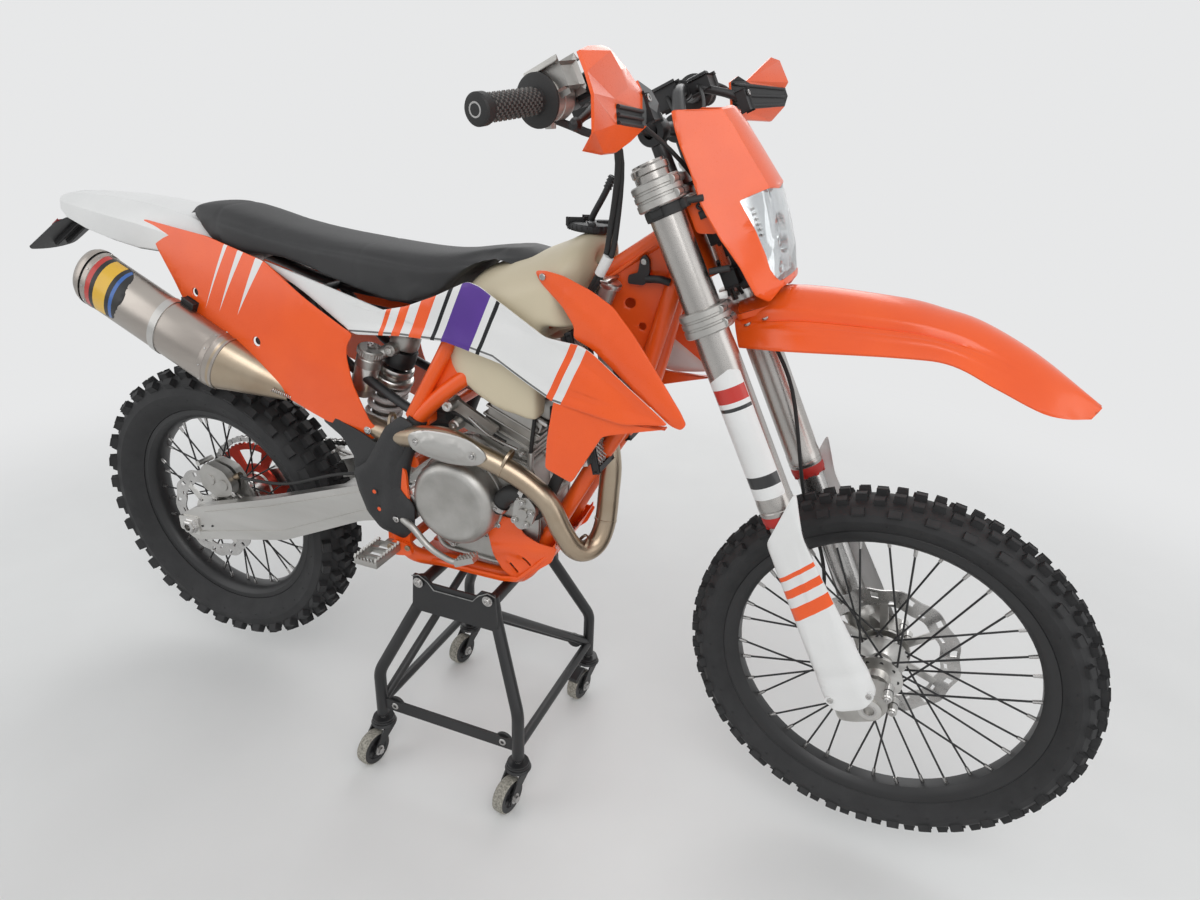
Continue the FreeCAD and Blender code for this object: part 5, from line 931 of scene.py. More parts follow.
def chain_pins():
    gap = shaft - Vector((0, 341.0))
    slope = math.atan2(gap.y, gap.x)
    lean = math.acos((REAR_PITCH - FRONT_PITCH) / gap.length)
    run = gap.length * math.sin(lean)
    rear_arc = (math.tau - 2 * lean) * REAR_PITCH
    front_arc = 2 * lean * FRONT_PITCH
    total = rear_arc + front_arc + 2 * run
    count = round(total / 15.875)
    count += count % 2
    pins = []
    for index in range(count):
        s = total * index / count
        if s < rear_arc:
            angle = slope + lean + s / REAR_PITCH
            pins.append(Vector((0, 341.0)) + Vector((math.cos(angle), math.sin(angle))) * REAR_PITCH)
        elif s < rear_arc + run:
            out = Vector((math.cos(slope - lean), math.sin(slope - lean)))
            pins.append(Vector((0, 341.0)).lerp(shaft, (s - rear_arc) / run)
                        + out * (REAR_PITCH + (FRONT_PITCH - REAR_PITCH) * (s - rear_arc) / run))
        elif s < rear_arc + run + front_arc:
            angle = slope - lean + (s - rear_arc - run) / FRONT_PITCH
            pins.append(shaft + Vector((math.cos(angle), math.sin(angle))) * FRONT_PITCH)
        else:
            t = (s - rear_arc - run - front_arc) / run
            out = Vector((math.cos(slope + lean), math.sin(slope + lean)))
            pins.append(shaft.lerp(Vector((0, 341.0)), t)
                        + out * (FRONT_PITCH + (REAR_PITCH - FRONT_PITCH) * t))
    return pins


def chain():
    stock = Stock()
    pins = chain_pins()
    for index, pin in enumerate(pins):
        after = pins[(index + 1) % len(pins)]
        way = (after - pin).normalized()
        normal = Vector((-way.y, way.x))
        outline = []
        for centre, start in ((pin, 0.5), (after, -0.5)):
            for step in range(7):
                angle = math.pi * (start + step / 6)
                outline.append(centre + way * 6.6 * math.cos(angle) + normal * 6.6 * math.sin(angle))
            if start > 0:
                outline.append(pin.lerp(after, 0.5) - normal * 4.8)
        outline.append(pin.lerp(after, 0.5) + normal * 4.8)
        offset = 6.9 if index % 2 else 5.0
        for side in (-1, 1):
            low = CHAIN_SIDE + side * offset - 0.8
            stock.prism([bike(p.x, low, p.y) for p in outline], LEFT * 1.6 * MM, "steel", smooth=False)
        stock.rod(bike(pin.x, CHAIN_SIDE - 8.2, pin.y), bike(pin.x, CHAIN_SIDE + 8.2, pin.y), 2.5, "steel",
                  sides=8)
        stock.rod(bike(pin.x, CHAIN_SIDE - 4.0, pin.y), bike(pin.x, CHAIN_SIDE + 4.0, pin.y), 5.0, "steel",
                  sides=10)
    stock.done("chain_linked", "chassis", ["chain"], 40.0)


def rear_sprocket():
    stock = Stock()
    centre = bike(0, CHAIN_SIDE, 341)
    axis = LEFT
    radii = (44.0, 58.0, 66.0, 104.0, 114.0, 118.0, 122.0)
    around = 208

    def place(row, index, side):
        angle = math.tau * index / around
        radius = radii[row]
        if row == 6:
            radius = (122.0, 119.0, 116.5, 119.0)[index % 4]
        return centre + (Vector((math.cos(angle), 0, math.sin(angle))) * radius + axis * 2.8 * side) * MM

    def is_open(row, index):
        return row == 2 and (index % 34) > 9 and index < 204

    ring_net(stock, place, 7, around, is_open, "red")
    for index in range(6):
        angle = math.tau * (index + 0.1) / 6
        spot = centre + Vector((math.cos(angle), 0, math.sin(angle))) * 52 * MM
        stock.bolt(spot + axis * 2.8 * MM, axis, 6.0, "steel", 4)
    stock.lathe(centre - axis * 40 * MM, axis, [(25, -3), (40, -3), (42, 0), (42, 34), (46, 37), (25, 37)],
                "machined", 40)
    stock.done("rear_sprocket_toothed", "rear_wheel", ["rear_sprocket"], 30.0)


chain()
rear_sprocket()


# Swingarm: two deep forged arms with a sunk panel, adjusters, the chain guide and the axle nuts
def swingarm():
    stock = Stock()
    arm = rounded_line([(0, 304), (-28, 324), (-28, 362), (12, 388), (236, 459), (472, 543), (590, 549),
                        (618, 524), (602, 495), (472, 464), (266, 367)], 18.0)
    rib_high = rounded_line([(40, 383), (236, 443), (470, 528), (560, 536), (560, 526), (470, 515),
                             (236, 432), (44, 374)], 4.0)
    rib_low = rounded_line([(20, 318), (262, 377), (470, 473), (560, 494), (560, 505), (470, 486), (262, 390),
                            (20, 330)], 4.0)
    for side in (-1, 1):
        near = side * 96.0
        way = Vector((0, side, 0))
        stock.prism(side_on(arm, near), way * 26 * MM, "brushed", 2.5)
        for rib in (rib_high, rib_low):
            stock.prism(side_on(rib, near + side * 25.0), way * 4.0 * MM, "brushed", 1.2)
        block_line = rounded_line([(-34, 326), (-34, 360), (22, 366), (22, 320)], 6.0)
        stock.prism(side_on(block_line, near + side * 22.0), way * 7.5 * MM, "machined", 1.5)
        hub_end = bike(0, side * 125.5, 341)
        stock.lathe(hub_end, way, [(9, 0), (19, 0), (19, 3), (16, 5), (16, 10), (13, 12), (9, 12)], "steel",
                    6)
        stock.rod(bike(-44, side * 110, 342), bike(-28, side * 110, 342), 4.5, "steel", sides=12)
        stock.rod(bike(-40, side * 110, 342), bike(-34, side * 110, 342), 7.0, "steel", sides=6)
        for x, z in ((30, 345), (60, 352)):
            stock.rod(bike(x, side * 121, z), bike(x, side * 124, z), 2.4, "coat", sides=10)
    stock.rod(bike(590, -122, 535), bike(590, 122, 535), 24, "machined", sides=28, chamfer=2)
    for side in (-1, 1):
        stock.rod(bike(590, side * 121, 535), bike(590, side * 124.5, 535), 17, "steel", sides=6)
    brace = rounded_line([(388, 448), (388, 505), (446, 525), (446, 468)], 8.0)
    stock.prism(side_on(brace, -97), Vector((0, 194 * MM, 0)), "brushed", 3)
    stock.done("swingarm_forged", "chassis", ["swingarm"], 34.0)
    guide = Stock()
    outline = rounded_line([(96, 268), (84, 330), (104, 372), (168, 372), (196, 340), (170, 292)], 10.0)
    for side in (-1, 1):
        guide.prism(side_on(outline, CHAIN_SIDE + side * 11 - 1.5), Vector((0, 3 * MM, 0)), "black", 0.8)
    for x, z in ((112, 352), (160, 356), (150, 300)):
        guide.rod(bike(x, CHAIN_SIDE - 12, z), bike(x, CHAIN_SIDE + 14, z), 4, "steel", sides=12)
    slider = [(628, 560), (560, 560), (430, 528), (300, 488)]
    for level in (0, -9):
        guide.tube([bike(x, 92, z + level) for x, z in slider], 5, "black", sides=10)
    guide.done("chain_guide", "chassis")


swingarm()


# Engine: turned covers with bolted flanges, ribbed cylinder, pump, clamps and lines
def cover(stock, x, z, way, side, profile, bosses, boss_ring, first, finish_name="cast"):
    centre = bike(x, side, z)
    stock.lathe(centre, way, profile, finish_name, 64, False)
    for index in range(bosses):
        angle = math.tau * (index + first) / bosses
        spot = centre + Vector((math.cos(angle), 0, math.sin(angle))) * boss_ring * MM
        stock.rod(spot, spot + way * 11 * MM, 7.5, finish_name, 6.5, sides=16)
        stock.bolt(spot + way * 11 * MM, way, 5.0, "steel", 4.5)


def engine_covers():
    stock = Stock()
    cover(stock, 682, 549, RIGHT, -78.0, [(91, 0), (91, 8), (89.5, 10), (87, 10.5), (86.2, 13), (86, 34),
                                          (84.6, 41), (81, 47), (76.5, 51.5), (72, 54.0), (68, 55.3),
                                          (63.5, 55.0), (60.5, 54.0), (0.1, 53.6)], 7, 87.5, 0.0)
    stock.lathe(bike(682, -78, 549), RIGHT, [(70, 54.7), (71.7, 52.9), (69.5, 54.0)], "machined", 64)
    filler = bike(684, -80, 622)
    stock.rod(filler, filler + RIGHT * 32 * MM, 15, "cast", sides=24, chamfer=1.5)
    stock.lathe(filler + RIGHT * 32 * MM, RIGHT, [(14, 0), (14, 5), (12.5, 7), (3, 7)], "plug", 10)
    cover(stock, 745, 492, LEFT, 70.0, [(62, 0), (62, 8), (59, 10), (57, 12), (57, 34), (54, 41), (49, 45),
                                        (42, 49), (38, 49.6), (0.1, 49)], 7, 58.0, 0.5)
    stock.lathe(bike(745, 119, 492), LEFT, [(12, 0), (12, 2), (9, 3), (1, 1.5)], "machined", 24)
    stock.done("engine_covers_turned", "chassis", ["engine_covers"], 38.0)


def cylinder():
    stock = Stock()
    lean = math.radians(21.8)
    up = Vector((math.sin(lean), 0, math.cos(lean)))
    ahead = Vector((math.cos(lean), 0, -math.sin(lean)))
    foot = bike(752, 0, 640)

    def block(along, size, finish_name, edge, shift=0.0, top=1.0):
        stock.box(basis(foot + up * along * MM + ahead * shift * MM, ahead, LEFT, up), size, finish_name,
                  edge, top)

    block(6, (124, 134, 12), "cast", 3)
    block(57, (112, 122, 96), "cast", 9)
    for level in (26, 44, 62, 80):
        block(level, (119, 129, 5), "cast", 2)
    block(108, (126, 130, 8), "machined", 2)
    block(136, (126, 117, 46), "cast", 8)
    block(159, (118, 108, 6), "machined", 2)
    block(172, (104, 96, 26), "cast", 9, top=0.9)
    block(185, (60, 54, 5), "cast", 2)
    for shift in (-44, 44):
        for side in (-1, 1):
            spot = foot + up * 183 * MM + ahead * shift * MM + LEFT * side * 39 * MM
            stock.bolt(spot, up, 6, "steel", 5)
    for level, shift in ((122, -40), (122, 36), (30, -38), (30, 40), (88, 44)):
        spot = foot + up * level * MM + ahead * shift * MM + RIGHT * 61 * MM
        stock.rod(spot, spot + RIGHT * 5 * MM, 8, "cast", 7, sides=14)
        stock.bolt(spot + RIGHT * 5 * MM, RIGHT, 4.5, "steel", 4)
    plug = foot + up * 128 * MM + RIGHT * 55 * MM + ahead * 5 * MM
    stock.rod(plug, plug + RIGHT * 8 * MM, 16, "cast", 14, sides=20)
    stock.done("cylinder_cast", "chassis", ["cylinder"], 34.0)


def crankcase():
    stock = Stock()
    outline = rounded_line([(612, 474), (624, 440), (664, 421), (800, 420), (834, 446), (842, 500),
                            (842, 590), (822, 636), (790, 643), (640, 643), (614, 612)], 16.0)
    stock.prism(side_on(outline, -78), LEFT * 148 * MM, "cast", 5)
    middle = Vector((727, 532))
    for y, thick, grow in ((-8, 5, 1.02), (-72, 6, 1.016), (60, 6, 1.016)):
        line = [middle + (Vector(p) - middle) * grow for p in outline]
        stock.prism([bike(p.x, y, p.y) for p in line], LEFT * thick * MM, "cast", 1.5)
    for index in range(5):
        stock.box(upright(bike(690 + index * 26, -20, 420)), (4, 100, 7), "cast", 1)
    stock.lathe(bike(828, -76, 562), RIGHT, [(26, 0), (26, 8), (22, 10), (22, 30), (20, 34), (0.3, 34)],
                "cast", 36, False)
    stock.rod(bike(800, 0, 600), bike(860, 0, 566), 26, "cast", sides=28, chamfer=4)
    stock.rod(bike(656, 70, 543), bike(656, 96, 543), 22, "machined", sides=28, chamfer=3)
    outline = rounded_line([(610, 590), (700, 606), (716, 560), (700, 500), (640, 486), (606, 520)], 16.0)
    stock.prism(side_on(outline, 96), LEFT * 8 * MM, "black", 3)
    for x, z in ((622, 582), (700, 592), (640, 498)):
        stock.rod(bike(x, 70, z), bike(x, 103, z), 6, "cast", sides=16)
        stock.bolt(bike(x, 104, z), LEFT, 4.6, "steel", 4)
    stock.done("crankcase_cast", "chassis", ["crankcase"], 34.0)


def engine_parts():
    stock = Stock()
    face = bike(830, -112, 562)
    outline = rounded_line([(812, 586), (838, 596), (856, 574), (846, 538), (822, 524), (806, 540)], 9.0)
    stock.prism(side_on(outline, -108), RIGHT * 10 * MM, "cast", 2)
    for x, z in ((828, 584), (836, 540), (813, 545), (846, 566)):
        stock.rod(bike(x, -116, z), bike(x, -122, z), 7, "cast", sides=14)
        stock.bolt(bike(x, -122, z), RIGHT, 4.6, "steel", 4)
    stock.rod(face + LEFT * 10 * MM, face + RIGHT * 12 * MM, 14, "cast", 10, sides=24)
    for x, z in ((612, 640), (720, 655), (660, 440), (790, 470), (620, 470)):
        stock.rod(bike(x, -79, z), bike(x, -88, z), 8, "cast", 7, sides=14)
        stock.bolt(bike(x, -88, z), RIGHT, 4.5, "steel", 4)
    seam = [(618, 470), (632, 430), (680, 422), (800, 424), (836, 470)]
    stock.tube(side_on(seam, -80), 5, "cast", sides=10)
    for x, z in ((678, 698), (665, 734)):
        stock.rod(bike(x, -66, z), bike(x, -98, z), 13, "cast", 11, sides=20)
        stock.lathe(bike(x, -98, z), RIGHT, [(11, 0), (9, 3), (4, 3), (1, 1)], "machined", 20)
    stock.prism(side_on(rounded_line([(655, 726), (672, 744), (760, 700), (742, 680), (690, 686)], 8.0), -70),
                RIGHT * 8 * MM, "cast", 2)
    stock.done("engine_fittings", "chassis", (), 36.0)
    hoses = Stock()
    hoses.tube([bike(766, -96, 548), bike(782, -100, 575), bike(806, -102, 590), bike(832, -100, 582)], 17,
               "rubber", sides=20)
    for x, z, way in ((772, 558, Vector((0.6, 0, 0.8))), (820, 589, Vector((0.95, 0, -0.2)))):
        way = way.normalized()
        hoses.lathe(bike(x, -99, z), way, [(17.4, -5), (18.6, -5), (18.6, 5), (17.4, 5)], "steel", 28)
        hoses.bolt(bike(x, -99, z) + RIGHT * 17 * MM, RIGHT, 3.5, "steel", 5)
    hoses.tube([bike(812, -80, 530), bike(850, -80, 556), bike(892, -84, 650), bike(940, -84, 712)], 11,
               "rubber", sides=16)
    hoses.tube([bike(850, -36, 800), bike(872, -44, 838), bike(900, -72, 842)], 11, "rubber", sides=16)
    hoses.rod(bike(735, 0, 750), bike(690, 0, 759), 32, "rubber", 30, sides=28)
    hoses.rod(bike(690, 0, 759), bike(640, 0, 770), 28, "cast", 28, sides=28)
    hoses.lathe(bike(700, 0, 757), Vector((0.98, 0, -0.2)).normalized(),
                [(32, -4), (34, -4), (34, 4), (32, 4)], "steel", 32)
    hoses.done("engine_hoses_clamped", "chassis", ["engine_hoses"], 36.0)
    lines = Stock()
    lines.tube([bike(560, -70, 640), bike(600, -66, 700), bike(660, -74, 716), bike(720, -72, 690),
                bike(770, -74, 672)], 6, "rubber", sides=10)
    lines.tube([bike(700, -80, 712), bike(745, -84, 686), bike(800, -82, 668)], 3.2, "steel", sides=8)
    lines.tube([bike(818, -70, 620), bike(826, -72, 700), bike(838, -70, 790), bike(850, -60, 850)], 4,
               "rubber", sides=8)
    lines.lathe(bike(820, -70, 640), Vector((0.1, 0, 1)).normalized(),
                [(4, -30), (8, -28), (8, -10), (6, -6), (6, 20), (4, 24)], "cast", 14)
    for x, z in ((862, 700), (866, 740), (858, 780)):
        lines.box(upright(bike(x, -40, z)), (26, 44, 30), "black", 3)
    lines.done("engine_lines", "chassis", (), 36.0)


crankcase()
engine_covers()
cylinder()
engine_parts()


# Exhaust: header springs and rings, the leaf-shaped shield, and the oval silencer with a label near its end
# and a black disc inside its outlet for painted shade
def heat_shield():
    stock = Stock()
    outline = smooth_ring([(614, 680), (622, 694), (650, 704), (700, 706), (745, 700), (770, 684), (772, 670),
                           (757, 657), (725, 650), (688, 648), (645, 655), (622, 664)])

    def place(x, z, depth):
        dome = 9.0 * soft(line_distance((x, z), [(640, 679), (745, 676)]), 40.0)
        oval = ((x - 692) / 44.0) ** 2 + ((z - 678) / 17.0) ** 2
        rim = 1.6 * max(0.0, 1.0 - abs(oval - 1.0) * 4.0)
        return bike(x, -150.5 - dome - rim + depth, z)

    panel(stock, outline, 5.0, place, "brushed", thick=3.0)
    for x, z in ((634, 680), (749, 675)):
        spot = place(x, z, 0.5)
        stock.lathe(spot, RIGHT, [(9, -1), (9, 1.2), (6, 0.6)], "brushed", 20)
        stock.bolt(spot, RIGHT, 4.8, "steel", 3.2)
    stock.done("heat_shield_pressed", "chassis", ["heat_shield"], 40.0)


def smooth_ring(points, steps=5):
    held = [Vector((*p, 0)) for p in points]
    line = smooth_line(held[-2:] + held + held[:2], steps)
    start = 2 * steps
    return [(p.x, p.y) for p in line[start:start + len(points) * steps]]


def silencer():
    front, rear = bike(175, -131, 752), bike(-118, -135, 886)
    heading = (rear - front).normalized()
    side_way = (LEFT - heading * heading.dot(LEFT)).normalized()
    tall_way = side_way.cross(heading).normalized()
    tall_way = tall_way if tall_way.z > 0 else -tall_way
    length = (rear - front).length / MM
    mouth = bike(316, -96, 704.5)

    def oval(centre, tall, wide, sides=72):
        return [centre + tall_way * math.cos(math.tau * i / sides) * tall * MM
                + side_way * math.sin(math.tau * i / sides) * wide * MM for i in range(sides)]

    def at(share):
        return front + heading * (length * share * MM)

    stock = Stock()
    stock.skin([oval(at(0.0), 59.4, 43.4), oval(at(0.005), 60, 44), oval(at(0.995), 60, 44),
                oval(at(1.0), 59, 43)], "silencer")
    stock.skin([oval(mouth, 23.5, 23.5), oval(mouth.lerp(front, 0.06), 24.5, 24.5),
                oval(mouth.lerp(front, 0.5), 41, 33.5), oval(mouth.lerp(front, 0.94), 58, 42),
                oval(front, 59.4, 43.4)], "header")
    stock.skin([oval(mouth + (front - mouth) * 0.93, 58.5, 42.5), oval(mouth.lerp(front, 0.935), 59.6, 43.6),
                oval(mouth.lerp(front, 0.965), 59.6, 43.6), oval(mouth.lerp(front, 0.97), 58.5, 42.5)],
               "silencer")
    for share in (0.03, 0.95):
        stock.skin([oval(at(share), 60, 44), oval(at(share + 0.004), 61.4, 45.4),
                    oval(at(share + 0.036), 61.4, 45.4), oval(at(share + 0.04), 60, 44)], "silencer")
        for index in range(10):
            angle = math.tau * (index + 0.5) / 10
            spot = (at(share + 0.02) + tall_way * math.cos(angle) * 61.2 * MM
                    + side_way * math.sin(angle) * 45.2 * MM)
            way = (tall_way * math.cos(angle) / 61 + side_way * math.sin(angle) / 45).normalized()
            stock.rod(spot - way * MM, spot + way * 1.3 * MM, 2.6, "steel", 1.8, sides=10)
    stock.skin([oval(at(0.40), 60, 44), oval(at(0.402), 61.8, 45.8), oval(at(0.45), 61.8, 45.8),
                oval(at(0.452), 60, 44)], "brushed")
    cap = [(0.0, 62, 46), (4.0, 62, 46), (12.0, 60, 44), (20.0, 55, 40), (24.0, 48, 34), (25.5, 36, 28),
           (24.5, 27, 24), (20.0, 22, 20), (24.0, 20, 18), (38.0, 18, 17), (40.0, 17, 16), (39.0, 15, 14),
           (10.0, 14.5, 13.5)]
    stock.skin([oval(rear + heading * place * MM, tall, wide) for place, tall, wide in cap], "silencer")
    # black disc 10 mm inside the outlet: painted shade standing for the dark inside of the pipe
    stock.skin([oval(rear + heading * 10 * MM, 14.5, 13.5), oval(rear + heading * 10 * MM, 0.5, 0.5)], "coat")
    start = length * 0.70

    def wrap(u, v, depth):
        angle = v / 52.0
        lift = 0.55 - depth
        return (front + heading * u * MM + tall_way * math.cos(angle) * (60 + lift) * MM
                - side_way * math.sin(angle) * (44 + lift) * MM)

    label = rounded_line([(start, 14), (start + 20, -6), (start + 96, -6), (start + 96, 118),
                          (start + 66, 128), (start + 8, 112), (start - 12, 60)], 8.0)
    regions = [("label_blue", ring_bar(start + 12, 8)), ("label_yellow", ring_bar(start + 30, 30)),
               ("label_red", ring_bar(start + 70, 16))]
    panel(stock, label, 11.0, wrap, "coat", regions, thick=0.5)
    band_foot = at(0.36)
    stock.box(basis(band_foot + tall_way * 58 * MM + LEFT * 18 * MM, heading, side_way, tall_way),
              (26, 14, 22), "coat", 2)
    stock.done("silencer_rolled", "chassis", ["silencer"], 36.0)
    extra = Stock()
    for start_place, end_place in (((330, -74, 706), (296, -92, 722)), ((326, -118, 700), (292, -132, 716))):
        a, b = bike(*start_place), bike(*end_place)
        way = (b - a).normalized()
        first, second = across(way)
        coil = [a.lerp(b, i / 60) + (first * math.cos(i * 1.1) + second * math.sin(i * 1.1)) * 3.6 * MM
                for i in range(61)]
        extra.tube(coil, 1.0, "steel", sides=6)
    for place, way, size in (((548, -104, 682), (1, 0.3, 0.05), 21.5), ((862, -10, 744), (1, 0, -0.1), 24.0),
                             ((930, -78, 500), (0.7, 0.4, -0.6), 21.2), ((800, -120, 664), (-0.7, -0.05, 0.3),
                                                                         21.2)):
        extra.lathe(bike(*place), Vector(way).normalized(), [(19, -3), (size, -2.4), (size, 2.4), (19, 3)],
                    "header", 32)
    extra.done("exhaust_springs", "chassis", (), 36.0)


heat_shield()
silencer()


# Front end: everything that turns with the bars, laid out along the fork, ahead of it and to its side
def row_at(table, share):
    """The values at a share of a table's own run, straight between its rows."""
    for low, high in zip(table, table[1:]):
        if share <= high[0] or high is table[-1]:
            t = (share - low[0]) / (high[0] - low[0])
            return [a + (b - a) * t for a, b in zip(low[1:], high[1:])]


def smooth_table(table, steps=6):
    """The same table with rows added along a smooth curve through its own."""
    width = len(table[0])
    pads = [Vector((row + (0.0,) * (6 - width))[:3]) for row in table]
    rest = [Vector((row + (0.0,) * (6 - width))[3:6]) for row in table]
    joined = zip(smooth_line(pads, steps), smooth_line(rest, steps))
    return [tuple(list(a) + list(b))[:width] for a, b in joined]


LEG_LEAD = 22
LEG_SIDE = 98


def clamps():
    stock = Stock()
    line = rounded_line([(-24, -30), (-24, 30), (-14, 62), (46, 70), (50, 40), (46, 0), (50, -40), (46, -70),
                         (-14, -62)], 14.0)
    for middle, tube in ((899, 27), (700, 28.5)):
        stock.prism([local(middle - 16, lead, side) for lead, side in line], steer_axis * 32 * MM, "machined",
                    3)
        for side in (-1, 1):
            centre = local(middle, LEG_LEAD, LEG_SIDE * side)
            ring = tube + 10.6
            profile = [(tube + 0.3, -19), (ring - 2, -19), (ring, -17), (ring, -8), (ring - 1.6, -7),
                       (ring - 1.6, -4), (ring, -3), (ring, 4), (ring - 1.6, 5), (ring - 1.6, 8), (ring, 9),
                       (ring, 17), (ring - 2, 19), (tube + 0.3, 19)]
            stock.lathe(centre, steer_axis, profile, "cast", 56)
            for along in (middle - 10, middle + 10):
                start = local(along, 54, LEG_SIDE * side - side * 24)
                stock.rod(start, start + side_axis * side * 44 * MM, 7, "cast", sides=16, chamfer=1)
                stock.bolt(start, side_axis * -side, 5, "steel", 4)
                stock.rod(local(along, 54, LEG_SIDE * side - 1.2), local(along, 54, LEG_SIDE * side + 1.2),
                          7.4, "coat", sides=16)
    for side in (-1, 1):
        stock.rod(local(918, 30, 52 * side), local(976, 30, 52 * side), 13, "coat", 12, sides=24)
        stock.lathe(local(985, 30, 52 * side), side_axis, [(11.3, -14), (21, -14), (22, -12), (22, 12),
                                                           (21, 14), (11.3, 14)], "coat", 36)
        for lead in (14, 46):
            stock.bolt(local(996, lead, 52 * side), steer_axis, 5, "steel", 8)
    stock.rod(local(918, 0, 0), local(921, 0, 0), 20, "machined", sides=6)
    stock.rod(local(921, 0, 0), local(926, 0, 0), 13, "machined", sides=28)
    tray = rounded_line([(22, -42), (22, 42), (127, 42), (127, -42)], 8.0)
    stock.prism([local(893, lead, side) for lead, side in tray], steer_axis * 5 * MM, "black", 1.5)
    stock.rod(local(893, 80, 0), local(929, 80, 0), 8, "black", sides=20)
    stock.done("upper_clamp_machined", "steering", ["upper_clamp"], 34.0)
    lower = Stock()
    lower.rod(local(680, 0), local(921, 0), 13.8, "steel", sides=28)
    lower.done("steering_stem", "steering", ["lower_clamp"], 34.0)


def fork_tubes():
    outer = Stock()
    profile = [(24.4, 371), (29.2, 370.6), (30.0, 372), (30.0, 378), (29.2, 379), (29.2, 381), (30, 382),
               (30, 394), (29.4, 396), (29.6, 640), (28.2, 670), (28.2, 742), (27, 762), (27, 928), (29, 930),
               (29, 938), (27.5, 940), (25, 941), (25, 944), (22, 944), (22, 941), (12, 941), (11, 943.6),
               (5, 943.6), (0.3, 943)]
    for side in (-1, 1):
        foot = local(0, LEG_LEAD, LEG_SIDE * side)
        outer.lathe(foot, steer_axis, profile, "tube", 56, False)
        outer.lathe(foot, steer_axis, [(24.4, 371), (24.4, 390)], "tube", 56, False)
        outer.rod(local(941, LEG_LEAD, LEG_SIDE * side), local(944, LEG_LEAD, LEG_SIDE * side), 7,
                  "label_red", sides=6)
        outer.rod(local(940, 36, LEG_SIDE * side), local(944, 36, LEG_SIDE * side), 3, "header", sides=12)

        def wrap(u, v, depth, side=side):
            angle = v / 30.0
            out = side_axis * side * math.cos(angle) + lead_axis * math.sin(angle)
            return local(u, LEG_LEAD, LEG_SIDE * side) + out * (30.1 - depth) * MM

        label = rounded_line([(404, -30), (404, 34), (614, 34), (622, 16), (606, -30)], 4.0)
        regions = [("label_black", ring_bar(424, 20)), ("label_black", ring_bar(556, 6)),
                   ("label_red", ring_bar(570, 24))]
        panel(outer, label, 7.0, wrap, "white", regions, thick=0.1)
        strap = local(872, LEG_LEAD, LEG_SIDE * side)
        outer.lathe(strap, steer_axis, [(27.2, -9), (31, -8), (31.5, 0), (31, 7), (27.2, 7.6)], "rubber", 40)
        outer.box(basis(strap + lead_axis * 30 * MM, lead_axis, side_axis, steer_axis), (16, 22, 14),
                  "rubber", 2.5)
        outer.box(steered(strap + side_axis * side * 32 * MM), (8, 14, 11), "rubber", 2)
    outer.done("fork_outer_turned", "steering", ["fork_outer_tubes"], 30.0)
    wiper = Stock()
    for side in (-1, 1):
        foot = local(0, LEG_LEAD, LEG_SIDE * side)
        wiper.lathe(foot, steer_axis, [(24.2, 352), (26.5, 352), (28.5, 355), (29.6, 359), (29.8, 366),
                                       (29.0, 370.4), (24.2, 370.4)], "red_rubber", 48)
        for index in range(8):
            angle = math.tau * index / 8
            out = side_axis * math.cos(angle) + lead_axis * math.sin(angle)
            place = local(353.5, LEG_LEAD, LEG_SIDE * side) + out * 27 * MM
            wiper.box(basis(place, out, out.cross(steer_axis), steer_axis), (3, 6, 4), "red_rubber", 0.8)
    wiper.done("fork_wipers_moulded", "steering", ["fork_wipers"], 30.0)
    inner = Stock()
    lug = rounded_line([(-24, 22), (-24, 62), (-4, 88), (18, 88), (30, 64), (60, 48), (60, 2), (-18, -2)],
                       10.0)
    for side in (-1, 1):
        foot = local(0, LEG_LEAD, LEG_SIDE * side)
        inner.lathe(foot, steer_axis, [(24, 372), (24, 74), (24.3, 72), (27.5, 68), (29, 60), (29, 52),
                                       (28.2, 50), (28.2, 20), (29, 16), (29, -8), (26, -16), (16, -20),
                                       (0.3, -20)], "cast", 48, False)
        inner.rod(local(80, LEG_LEAD, LEG_SIDE * side), local(371, LEG_LEAD, LEG_SIDE * side), 24.3, "steel",
                  sides=48)
        inner.prism([local(a, l, LEG_SIDE * side - 21) for a, l in lug], side_axis * 42 * MM, "cast", 4)
        inner.lathe(local(0, 57, LEG_SIDE * side), side_axis * side, [(9.2, -24), (20, -24), (20, 24),
                                                                      (17, 25), (15, 25.6), (9.2, 25.6)],
                    "machined", 40)
        for along in (-12, 14):
            place = local(along, 90, LEG_SIDE * side)
            inner.rod(place + side_axis * -17 * MM, place + side_axis * 17 * MM, 8, "machined", sides=16,
                      chamfer=1.5)
            for way in (-1, 1):
                inner.bolt(place + side_axis * 17 * way * MM, side_axis * way, 5.5, "steel", 4)
            inner.rod(place + side_axis * -1 * MM, place + side_axis * 1 * MM, 8.4, "coat", sides=16)
    axle = [(9, -124), (12.4, -124), (12.4, 124), (9, 124)]
    inner.lathe(front_axle, side_axis, axle, "steel", 32)
    inner.done("fork_inner_polished", "steering", ["fork_inner_tubes"], 32.0)


